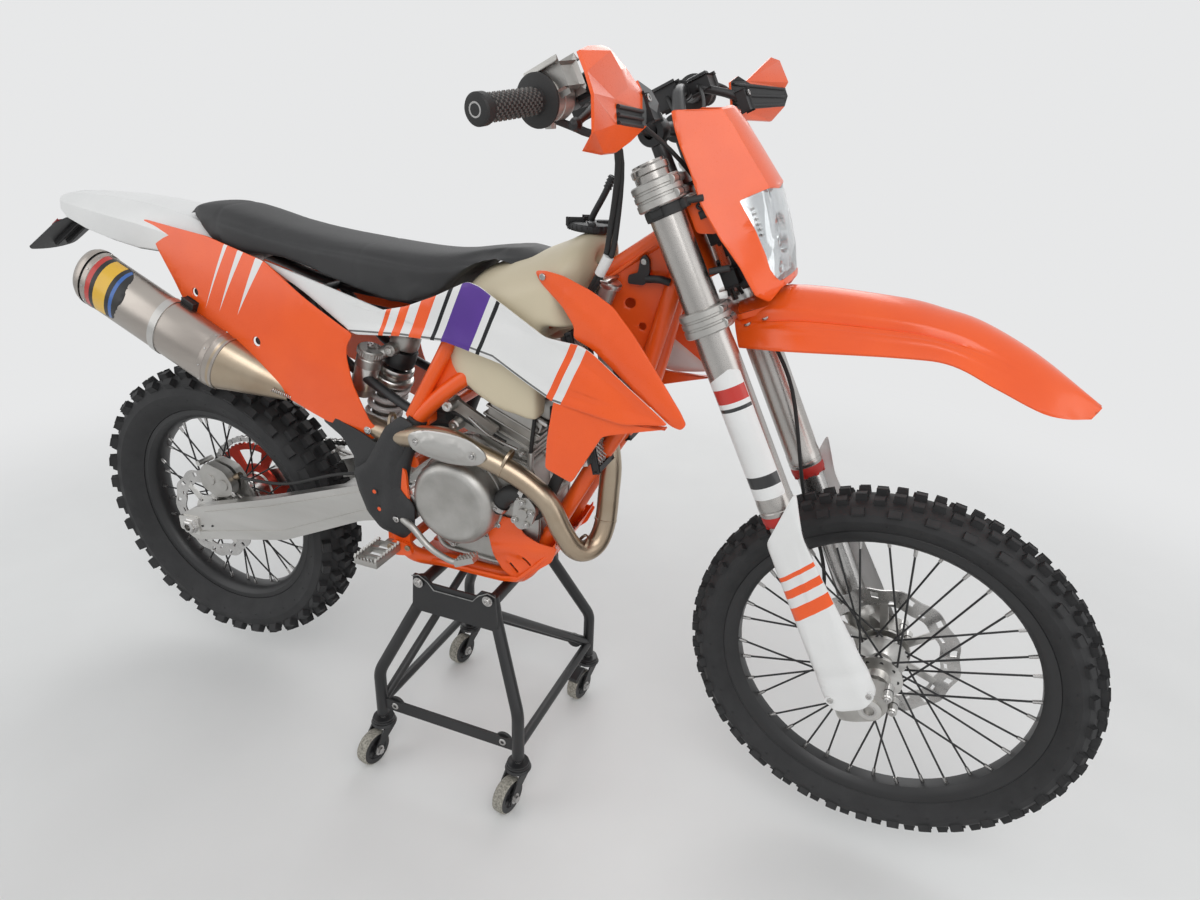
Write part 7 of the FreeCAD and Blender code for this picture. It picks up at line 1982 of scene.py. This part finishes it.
def frame_fittings():
    sleeve = Stock()
    for side in (-1, 1):
        sleeve.tube([bike(614, side * 96, 700), bike(520, side * 80, 732), bike(424, side * 70, 778),
                     bike(380, side * 60, 832), bike(336, side * 51, 888)], 9.4, "coat", sides=16)
        sleeve.tube([bike(740, side * 60, 836), bike(660, side * 58, 862), bike(560, side * 56, 876),
                     bike(330, side * 50, 892), bike(190, side * 47, 925), bike(64, side * 44, 957)], 10,
                    "coat", sides=16)
    for x, half, z in ((560, 56, 875), (330, 50, 892), (72, 44, 955)):
        sleeve.rod(bike(x, -half, z), bike(x, half, z), 9, "coat", sides=18)
    sleeve.box(basis(bike(290, 0, 820), Vector((1, 0, 0.1)).normalized(), LEFT,
                     Vector((-0.1, 0, 1)).normalized()), (120, 84, 92), "black", 14)

    def flap(u, v, depth):
        return bike(u, -(119 + (u - 420) * 0.04 - depth), v)

    edge = [(404, 690), (442, 671), (487, 657), (520, 642), (548, 680), (560, 640), (530, 596), (504, 592),
            (484, 560), (462, 566), (464, 604), (438, 640), (398, 664)]
    panel(sleeve, rounded_line(edge, 5.0), 12.0, flap, "grain_black", (), (), 4.0)
    sleeve.tube([bike(568, -64, 668), bike(606, -64, 690), bike(650, -66, 702)], [15, 13, 14], "rubber",
                sides=20)
    sleeve.done("subframe_stays", "chassis", (), 36.0)
    guard = Stock()
    outline = rounded_line([(550, 684), (584, 712), (614, 700), (590, 648), (571, 606), (574, 560),
                            (604, 528), (600, 478), (576, 452), (522, 464), (494, 494), (478, 536),
                            (468, 580), (500, 602), (524, 640)], 9.0)
    for side in (-1, 1):
        def shell(u, v, depth, side=side):
            back = soft(line_distance((u, v), outline + outline[:1]), 13.0)
            rib = 2.2 * soft(line_distance((u, v), [(600, 690), (556, 600), (548, 500)]), 22.0)
            sunk = 2.0 * soft(line_distance((u, v), [(540, 560), (520, 500)]), 18.0)
            return bike(u, side * (137.5 - 5.5 * back + rib - sunk - depth), v)

        lit = [("orange", circle(place, 4.6, 12)) for place in ((519, 546), (526, 509))]
        panel(guard, outline, 9.0, shell, "grain_black", lit, (), 4.5)
        for u, v in ((519, 546), (526, 509), (562, 497)):
            guard.lathe(shell(u, v, 0.6), LEFT * side, [(4.8, 0), (7.4, 0), (7.4, 1.4), (4.8, 1.4)],
                        "grain_black", 16)
        guard.bolt(shell(562, 497, 1), LEFT * side, 4.2, "steel", 2)
        guard.tube([bike(609, side * 107, 706), bike(584, side * 112, 652), bike(567, side * 115, 600),
                    bike(558, side * 116, 540)], [19, 19.5, 20, 20], "grain_black", sides=24)
        for x, y, z in ((578, 124, 640), (571, 124, 622)):
            guard.rod(bike(x, side * y, z), bike(x, side * (y + 4), z), 3, "orange", sides=10)
    guard.done("frame_guards_moulded", "chassis", ["frame_guards"], 36.0)


fuel_tank()
fuel_cap()
seat_cushion()
cooling()
frame_welded()
frame_fittings()


# Header, shock, skid plate, controls at the feet and the rear brake
def header():
    stock = Stock()
    route = [(842, -10, 742), (900, -8, 741), (938, -10, 712), (958, -18, 650), (960, -26, 590),
             (960, -38, 534), (953, -56, 500), (938, -78, 489), (920, -96, 502), (900, -106, 540),
             (876, -111, 590), (840, -115, 622), (792, -121, 648), (742, -129, 668), (690, -133, 687),
             (640, -135, 684), (596, -126, 672), (545, -106, 660), (470, -86, 662), (400, -84, 680),
             (318, -96, 704)]
    stock.tube([bike(*place) for place in route], 20, "header", sides=32)
    for place, way in (((960, -36, 540), (0.05, 0.2, 1)), ((792, -121, 648), (-0.9, -0.12, 0.36)),
                       ((560, -112, 663), (-1, 0.4, -0.2)), ((350, -91, 697), (-1, -0.1, 0.2))):
        stock.lathe(bike(*place), Vector(way).normalized(), [(19, -3), (21, -2), (21, 2), (19, 3)], "header",
                    32)
    stock.lathe(bike(842, -10, 742), Vector((1, 0.03, 0)).normalized(),
                [(20, 0), (30, 0), (31, 3), (31, 7), (28, 9), (22, 12), (20, 12)], "cast", 36)
    stock.lathe(bike(336, -92, 699), Vector((-0.96, -0.14, 0.24)).normalized(),
                [(20, -8), (26.4, -8), (26.4, 10), (25, 12), (20, 12)], "steel", 36)
    stock.done("header_bent", "chassis", ["header_pipe"], 36.0)


def shock():
    low, high = bike(398, -12, 500), bike(542, -12, 862)
    way = (high - low).normalized()
    length = (high - low).length / MM
    stock = Stock()
    rear = way.cross(LEFT).normalized()

    def ring(share, reach=0.0):
        return low + way * (length * share + reach) * MM

    def turned(share, profile, finish_name, sides=44):
        stock.lathe(ring(share), way, profile, finish_name, sides)

    stock.rod(low - LEFT * 16 * MM, low + LEFT * 16 * MM, 17, "cast", sides=28, chamfer=2)
    stock.rod(low - LEFT * 20 * MM, low + LEFT * 20 * MM, 8, "steel", sides=20)
    stock.rod(ring(0.04), ring(0.30), 12, "chrome", sides=28)
    turned(0.16, [(12, 0), (20, 0), (38, 6), (38.5, 12), (30, 14), (12, 14)], "cast")
    turned(0.30, [(12, -14), (19, -12), (24, -6), (24, 60), (24.4, 62), (24.4, 150), (12, 150)], "tube")
    turned(0.655, [(24.5, -6), (37, -6), (39, -3), (39, 5), (37, 7), (24.5, 7)], "machined")
    turned(0.69, [(24.5, 0), (33, 0), (34, 2), (34, 13), (33, 15), (24.5, 15)], "machined")
    turned(0.745, [(20, 0), (30, 0), (31, 3), (31, 30), (29, 34), (20, 34)], "coat")
    turned(0.845, [(12, 0), (27, 0), (28.5, 3), (28.5, 22), (24, 30), (12, 30)], "cast")
    stock.rod(ring(0.94) - LEFT * 17 * MM, ring(0.94) + LEFT * 17 * MM, 20, "cast", sides=32, chamfer=2)
    stock.rod(ring(0.94) - LEFT * 20 * MM, ring(0.94) + LEFT * 20 * MM, 9, "steel", sides=20)
    stock.rod(ring(0.94), ring(1.0), 14, "cast", sides=28)
    cap_low, cap_high = bike(450, -62, 716), bike(482, -62, 810)
    lean = (cap_high - cap_low).normalized()
    stock.lathe(cap_low, lean, [(0.3, -4), (18, -4), (23, 0), (24, 4), (24, 78), (22.5, 80), (22.5, 83),
                                (25, 84), (25, 96), (23, 98), (8, 98), (7, 94), (0.3, 94)], "cast", 44, False)
    stock.lathe(cap_low, lean, [(24.2, 14), (24.5, 15), (24.5, 60), (24.2, 61)], "machined", 44)
    for index in range(30):
        angle = math.tau * index / 30
        first, second = across(lean)
        out = first * math.cos(angle) + second * math.sin(angle)
        stock.rod(cap_low + lean * 86 * MM + out * 25 * MM, cap_low + lean * 95 * MM + out * 25 * MM, 1.3,
                  "cast", sides=6)
    stock.tube([cap_low + lean * 70 * MM, bike(500, -46, 800), ring(0.87)], 12, "cast", sides=18)
    stock.bolt(cap_high + RIGHT * 6 * MM + lean * 6 * MM, lean, 6, "steel", 4)
    stock.rod(bike(516, -34, 806), bike(516, -56, 806), 12, "cast", sides=20, chamfer=1.5)
    stock.bolt(bike(516, -56, 806), RIGHT, 7, "machined", 4)
    stock.done("shock_turned", "chassis", ["shock"], 34.0)
    spring = Stock()
    first, second = across(way)
    turns, steps = 8.5, 28
    start, end = 0.205, 0.64
    line = []
    for index in range(int(turns * steps) + 1):
        t = index / (turns * steps)
        eased = t - 0.018 * math.sin(math.tau * t)
        angle = math.tau * turns * t
        line.append(ring(start + (end - start) * eased)
                    + (first * math.cos(angle) + second * math.sin(angle)) * 32 * MM)
    rows = []
    for index, place in enumerate(line):
        along = (line[min(index + 1, len(line) - 1)] - line[max(index - 1, 0)]).normalized()
        out = (place - low - way * (place - low).dot(way)).normalized()
        rows.append(ring_points(place, out, along.cross(out).normalized(), 5.6 * MM, 12))
    spring.skin(rows, "spring", capped=True)
    spring.done("shock_spring_coiled", "chassis", ["shock_spring"], 40.0)


def skid_plate():
    stock = Stock()
    stations = [(545, 366, 388), (600, 362, 385), (700, 362, 385), (770, 364, 386), (802, 372, 393),
                (846, 420, 438), (872, 458, 470), (884, 482, 490)]
    rows = []
    for x, low, edge in stations:
        line = [(-95, edge + 7), (-94, edge), (-62, low + 3), (-58, low + 1), (-20, low), (-17, low - 3),
                (17, low - 3), (20, low), (58, low + 1), (62, low + 3), (94, edge), (95, edge + 7)]
        upper = [(y, z + 3.4) for y, z in line]
        rows.append([bike(x, y, z) for y, z in line] + [bike(x, y * 0.97, z) for y, z in reversed(upper)])
    stock.skin(rows, "orange", capped=True, smooth=False)
    outline = rounded_line([(736, 494), (764, 524), (794, 523), (816, 498), (846, 490), (889, 489),
                            (874, 452), (803, 392), (772, 408), (753, 436), (750, 464)], 7.0)
    for side in (-1, 1):
        def wing(u, v, depth, side=side):
            fold = 7.0 * soft(line_distance((u, v), [(752, 462), (812, 470), (889, 488)]), 34.0)
            flare = 10.0 * max(0.0, (v - 470) / 54.0) ** 1.5
            slot = 3.4 * soft(line_distance((u, v), [(784, 436), (806, 414)]), 8.0)
            slot += 3.4 * soft(line_distance((u, v), [(812, 457), (834, 436)]), 8.0)
            return bike(u, side * (90.5 + fold - flare * 0.6 + slot - depth), v)

        slots = [strip([(788, 431), (805, 414)], 6.0), strip([(816, 452), (832, 436)], 6.0)]
        panel(stock, outline, 7.0, wing, "orange", (), slots, 3.2)
        stock.bolt(wing(762, 505, 0, side), LEFT * side, 5, "steel", 3)
    for x, y in ((590, -40), (590, 40), (740, -40), (740, 40)):
        stock.bolt(bike(x, y, 361), Vector((0, 0, -1)), 6, "steel", 3)
    stock.done("skid_plate_pressed", "chassis", ["skid_plate"], 22.0)


def foot_controls():
    pegs = Stock()
    for side in (-1, 1):
        def at(x, y, z):
            return bike(548 + x, side * (180 + y), 438 + z)

        for x in (-23, 23):
            pegs.box(upright(at(x, 0, 0)), (5, 78, 15), "cast", 1.5)
            for index in range(9):
                y = -36 + index * 9
                tooth = [at(x - 2.4, y - 4, 7), at(x + 2.4, y - 4, 7), at(x + 2.4, y + 4, 7),
                         at(x - 2.4, y + 4, 7)]
                pegs.prism(tooth, Vector((0, 0, 1 * MM)), "cast")
                peak = [at(x + 2.4, y - 4, 7.5), at(x + 2.4, y + 4, 7.5), at(x + 2.4, y, 14)]
                pegs.prism(peak, Vector((-4.8 * MM, 0, 0)), "cast", smooth=False)
        for y in (-37, -12, 14, 37):
            pegs.box(upright(at(0, y, -1)), (50, 4.5, 12), "cast", 1.2)
        for index in range(5):
            x = -16 + index * 8
            pegs.prism([at(x - 3, 39.5, 4), at(x + 3, 39.5, 4), at(x, 39.5, 12)], LEFT * -side * 4 * MM,
                       "cast", smooth=False)
        pegs.box(upright(at(6, -46, -1)), (34, 20, 16), "cast", 4)
    pegs.done("footpegs_toothed", "chassis", ["footpegs"], 30.0)
    mounts = Stock()
    for side in (-1, 1):
        for x in (-20, 20):
            outline = rounded_line([(596, 446), (600, 424), (560, 416), (544, 430), (560, 452)], 7.0)
            mounts.prism([bike(u - 2, side * (131 + (6 if x > 0 else 0)), v) for u, v in outline],
                         LEFT * side * 3 * MM, "orange", 1)
        mounts.rod(bike(554, side * 127, 436), bike(554, side * 145, 436), 6, "header", sides=16)
        mounts.bolt(bike(554, side * 145, 436), LEFT * side, 8, "header", 3)
        mounts.bolt(bike(590, side * 141, 440), LEFT * side, 6, "header", 3)
    mounts.done("peg_mounts", "chassis", (), 30.0)
    levers = Stock()
    pedal = [(566, -124, 496), (586, -136, 496), (606, -141, 488), (628, -142, 466), (652, -143, 450),
             (690, -146, 440), (712, -147, 444)]
    levers.tube([bike(*place) for place in pedal], [8, 7.4, 7, 6.4, 6, 5.4], "cast", sides=16)
    levers.rod(bike(566, -112, 496), bike(566, -136, 496), 12, "cast", sides=24, chamfer=1.5)
    levers.bolt(bike(566, -136, 496), RIGHT, 6, "steel", 4)
    pad = rounded_line([(706, 436), (702, 448), (742, 466), (748, 456)], 3.0)
    levers.prism(side_on(pad, -138), RIGHT * 20 * MM, "cast", 1.2)
    for index in range(6):
        x, z = 707 + index * 7, 448 + index * 3.0
        for y in (-140, -148, -156):
            levers.prism([bike(x - 3, y, z), bike(x + 3, y, z + 2), bike(x, y, z + 7)], LEFT * 3 * MM, "cast",
                         smooth=False)
    shifter = [(668, 70, 470), (668, 120, 468), (676, 138, 464), (720, 142, 456), (764, 142, 468),
               (786, 142, 478)]
    levers.tube([bike(*place) for place in shifter], 6.4, "cast", sides=16)
    levers.rod(bike(788, 132, 480), bike(788, 160, 480), 9, "rubber", sides=20, chamfer=2)
    levers.rod(bike(668, 74, 470), bike(668, 92, 470), 13, "cast", sides=24, chamfer=1.5)
    levers.done("foot_levers_forged", "chassis", ["foot_levers"], 34.0)


def rear_caliper():
    stock = Stock()
    outline = rounded_line([(8, 424), (6, 462), (28, 486), (78, 474), (98, 444), (92, 418), (50, 404)], 12.0)
    for near, depth in ((-66, -20), (-58, 20)):
        stock.prism(side_on(outline, near), Vector((0, depth * MM, 0)), "cast", 3.5)
    for x, z in ((36, 446), (72, 440)):
        stock.rod(bike(x, -84, z), bike(x, -88.5, z), 14, "cast", 12.5, sides=28)
    carrier = rounded_line([(-6, 366), (-12, 430), (14, 470), (94, 452), (112, 404), (70, 396), (30, 372)],
                           10.0)
    stock.prism(side_on(carrier, -50), LEFT * 7 * MM, "cast", 2)
    stock.rod(bike(4, -84, 478), bike(4, -44, 478), 6, "machined", sides=18)
    stock.bolt(bike(100, -86, 424), RIGHT, 6, "steel", 4)
    stock.rod(bike(92, -66, 456), bike(106, -66, 464), 7, "header", sides=16)
    stock.done("rear_caliper_cast", "chassis", ["rear_caliper"], 34.0)
    hose("rear_brake_hose", [bike(104, -66, 462), bike(150, -84, 470), bike(260, -90, 486),
                             bike(400, -96, 540), bike(500, -100, 560), bike(560, -100, 520)], 3.4, "rubber",
         "chassis")


header()
shock()
skid_plate()
foot_controls()
rear_caliper()


# Paddock stand: bolts and painted highlights along the plate edges; casters with their treads, forks and
# swivels
STAND = (682.0, 15.0)
FLOOR = -75.0
CASTERS = {"rear_right": (-1, -1), "front_right": (1, -1), "rear_left": (-1, 1), "front_left": (1, 1)}


def stand_fittings():
    stock = Stock()
    for side in (-1, 1):
        way = LEFT * side
        for end in (-1, 1):
            top = bike(STAND[0] + end * 78, STAND[1] + side * 148, 360)
            stock.rod(top - way * 12 * MM, top, 11, "coat", sides=24, chamfer=1)
            stock.lathe(top, way, [(2, 0), (11, 0), (11, 1.6), (2, 1.6)], "steel", 28)
            stock.bolt(top + way * 1.6 * MM, way, 7, "steel", 4.5)
            foot = bike(STAND[0] + end * 128, STAND[1] + side * 183, 60)
            stock.rod(foot - way * 6 * MM, foot, 19, "coat", sides=32, chamfer=1)
            stock.lathe(foot, way, [(2, 0), (12, 0), (12, 1.6), (2, 1.6)], "steel", 28)
            stock.bolt(foot + way * 1.6 * MM, way, 8, "steel", 4.5)
        # a pale grey line along each plate's upper edge: a painted highlight where the edge catches the light
        edge = [(-94, 372), (-78, 377), (-58, 366), (-44, 350), (44, 350), (58, 366), (78, 377), (94, 372)]
        for near, far in zip(edge, edge[1:]):
            stock.rod(bike(STAND[0] + near[0], STAND[1] + side * 146.6, near[1] - 0.6),
                      bike(STAND[0] + far[0], STAND[1] + side * 146.6, far[1] - 0.6), 1.1, "painted_edge_highlight",
                      sides=6)
    stock.done("stand_bolts", "chassis", (), 34.0)


def caster(name, end, side):
    head = bike(STAND[0] + end * 162, STAND[1] + side * 185, FLOOR + 100)
    turn = math.radians(10.0)
    trail = Vector((-math.sin(turn), -math.cos(turn), 0))
    axle = Vector((math.cos(turn), -math.sin(turn), 0))
    centre = head + trail * 36 * MM
    centre.z = bike(0, 0, FLOOR + 37.5).z
    body = "caster_" + name
    wheel = Stock()
    profile = [(8, -12), (10, -12), (10, -10), (22, -10), (24, -12.6), (33, -12.8), (35.6, -10.5), (37, -6),
               (37.1, 0), (37, 6), (35.6, 10.5), (33, 12.8), (24, 12.6), (22, 10), (10, 10), (10, 12),
               (8, 12)]
    wheel.lathe(centre, axle, profile, "coat", 56)
    tread = [(33.5, -12.4), (36, -10.6), (37.3, -6), (37.5, 0), (37.3, 6), (36, 10.6), (33.5, 12.4)]
    wheel.lathe(centre, axle, tread, "caster", 64)
    for index in range(6):
        angle = math.tau * index / 6
        out = trail * math.cos(angle) + UP * math.sin(angle)
        wheel.box(basis(centre + out * 16 * MM, out, axle, out.cross(axle)), (10, 22, 4), "coat", 1)
    wheel.done("caster_wheel_" + name + "_treaded", body + "_wheel",
               ["caster_wheel_" + name], 34.0)
    fork = Stock()
    for way in (-1, 1):
        near = centre + axle * way * 16 * MM
        line = rounded_line([(-13, -12), (13, -12), (13, 4), (-20, 44), (-52, 44), (-52, 36), (-14, 8)], 6.0)
        fork.prism([near + trail * u * MM + UP * v * MM for u, v in line], axle * way * 3 * MM, "coat", 0.8)
        fork.lathe(near + axle * way * 3 * MM, axle * way, [(2, 0), (11, 0), (11, 1.5), (2, 1.5)], "steel",
                   24)
        fork.rod(near + axle * way * 4.5 * MM, near + axle * way * 10 * MM, 7.5, "steel", sides=6)
    level = bike(0, 0, FLOOR + 84).z - head.z
    fork.rod(head + UP * level - UP * 2 * MM, head + UP * level + UP * 3 * MM, 27, "coat", 24, sides=36)
    fork.lathe(head + UP * (level + 3 * MM), UP, [(6, 0), (22, 0), (24, 2), (24, 4), (20, 6), (22, 7),
                                                  (22, 10), (6, 10)], "coat", 36)
    fork.rod(head + UP * (level + 10 * MM), head + UP * (level + 15 * MM), 9, "steel", sides=6)
    if name == "front_left":
        pad = rounded_line([(-14, 30), (30, 22), (34, 34), (0, 50)], 4.0)
        fork.prism([centre - axle * 12 * MM + trail * u * MM + UP * v * MM for u, v in pad], axle * 24 * MM,
                   "coat", 2)
    fork.done("caster_fork_" + name + "_pressed", body, ["caster_fork_" + name], 34.0)


stand_fittings()
for caster_name, (caster_end, caster_side) in CASTERS.items():
    caster(caster_name, caster_end, caster_side)


# Studio: a pale floor that stays pale, soft lamps, and the camera at the photograph's place
def studio():
    floor_half = 14.0
    mesh = bpy.data.meshes.new("studio_floor")
    corners = [(-floor_half, -floor_half, 0), (floor_half, -floor_half, 0), (floor_half, floor_half, 0),
               (-floor_half, floor_half, 0)]
    mesh.from_pydata([(x, y, -0.0005) for x, y, z in corners], [], [(0, 1, 2, 3)])
    floor = bpy.data.objects.new("studio_floor", mesh)
    bpy.context.scene.collection.objects.link(floor)
    pale = finish("pale_floor", (0.80, 0.80, 0.79), (0.77, 0.77, 0.76), (0.75, 0.85), mottle=3.0, grain=60.0,
                  bump=0.0)
    backdrop = (0.80, 0.805, 0.81, 1.0)
    tree = pale.node_tree
    glow = tree.nodes.new("ShaderNodeEmission")
    glow.inputs["Color"].default_value = backdrop
    place = tree.nodes.new("ShaderNodeNewGeometry")
    flat = tree.nodes.new("ShaderNodeVectorMath")
    flat.operation = "LENGTH"
    away = tree.nodes.new("ShaderNodeMapRange")
    away.interpolation_type = "SMOOTHERSTEP"
    away.inputs["From Min"].default_value = 1.5
    away.inputs["From Max"].default_value = 3.0
    ray = tree.nodes.new("ShaderNodeLightPath")
    seen = tree.nodes.new("ShaderNodeMath")
    seen.operation = "MULTIPLY"
    blend = tree.nodes.new("ShaderNodeMixShader")
    shaded = next(node for node in tree.nodes if node.type == "BSDF_PRINCIPLED")
    output = next(node for node in tree.nodes if node.type == "OUTPUT_MATERIAL")
    tree.links.new(place.outputs["Position"], flat.inputs[0])
    tree.links.new(flat.outputs["Value"], away.inputs["Value"])
    tree.links.new(away.outputs["Result"], seen.inputs[0])
    tree.links.new(ray.outputs["Is Camera Ray"], seen.inputs[1])
    tree.links.new(seen.outputs["Value"], blend.inputs["Fac"])
    tree.links.new(shaded.outputs["BSDF"], blend.inputs[1])
    tree.links.new(glow.outputs["Emission"], blend.inputs[2])
    tree.links.new(blend.outputs["Shader"], output.inputs["Surface"])
    floor.data.materials.append(pale)
    world = bpy.data.worlds.new("studio")
    bpy.context.scene.world = world
    world.use_nodes = True
    tree = world.node_tree
    light = tree.nodes["Background"]
    light.inputs["Color"].default_value = (0.93, 0.95, 0.97, 1.0)
    light.inputs["Strength"].default_value = 0.62
    seen = tree.nodes.new("ShaderNodeBackground")
    seen.inputs["Color"].default_value = backdrop
    seen.inputs["Strength"].default_value = 1.0
    ray = tree.nodes.new("ShaderNodeLightPath")
    share = ray.outputs["Is Camera Ray"]
    for kind in ("Is Glossy Ray", "Is Transmission Ray"):
        more = tree.nodes.new("ShaderNodeMath")
        more.operation = "MAXIMUM"
        tree.links.new(share, more.inputs[0])
        tree.links.new(ray.outputs[kind], more.inputs[1])
        share = more.outputs["Value"]
    blend = tree.nodes.new("ShaderNodeMixShader")
    tree.links.new(share, blend.inputs["Fac"])
    tree.links.new(light.outputs["Background"], blend.inputs[1])
    tree.links.new(seen.outputs["Background"], blend.inputs[2])
    tree.links.new(blend.outputs["Shader"], tree.nodes["World Output"].inputs["Surface"])
    for name, place, power, size in (("key", (1.6, -2.6, 3.4), 46.0, 2.4),
                                     ("fill", (-3.0, -2.2, 2.2), 20.0, 2.6), ("rim", (-0.5, 2.8, 2.8), 32.0,
                                                                              2.4), ("front", (3.6, -0.6,
                                                                                               1.6), 12.0,
                                                                                     2.0)):
        light = bpy.data.lights.new(name, "AREA")
        light.energy = power
        light.size = size
        lamp = bpy.data.objects.new(name, light)
        lamp.location = place
        aim = Vector((0, 0, 0.75)) - lamp.location
        lamp.rotation_euler = aim.to_track_quat("-Z", "Y").to_euler()
        bpy.context.scene.collection.objects.link(lamp)


def photo_camera():
    yaw, pitch, roll = (math.radians(angle) for angle in (20.714, 23.684, 2.360))
    focal_pixels = 804.75
    photo_width = 1200.0
    sensor = 36.0
    ahead = Vector((-math.sin(yaw) * math.cos(pitch), math.cos(yaw) * math.cos(pitch), -math.sin(pitch)))
    level_right = ahead.cross(Vector((0, 0, 1))).normalized()
    level_up = level_right.cross(ahead)
    right = level_right * math.cos(roll) + level_up * math.sin(roll)
    up = level_up * math.cos(roll) - level_right * math.sin(roll)
    camera = bpy.data.objects.new("camera", bpy.data.cameras.new("camera"))
    camera.data.sensor_width = sensor
    camera.data.lens = focal_pixels / photo_width * sensor
    camera.matrix_world = basis(bike(1413.3, -1279.7, 1260.7), right, up, -ahead)
    bpy.context.scene.collection.objects.link(camera)
    bpy.context.scene.camera = camera


studio()
photo_camera()
bpy.context.scene.view_settings.view_transform = "Standard"
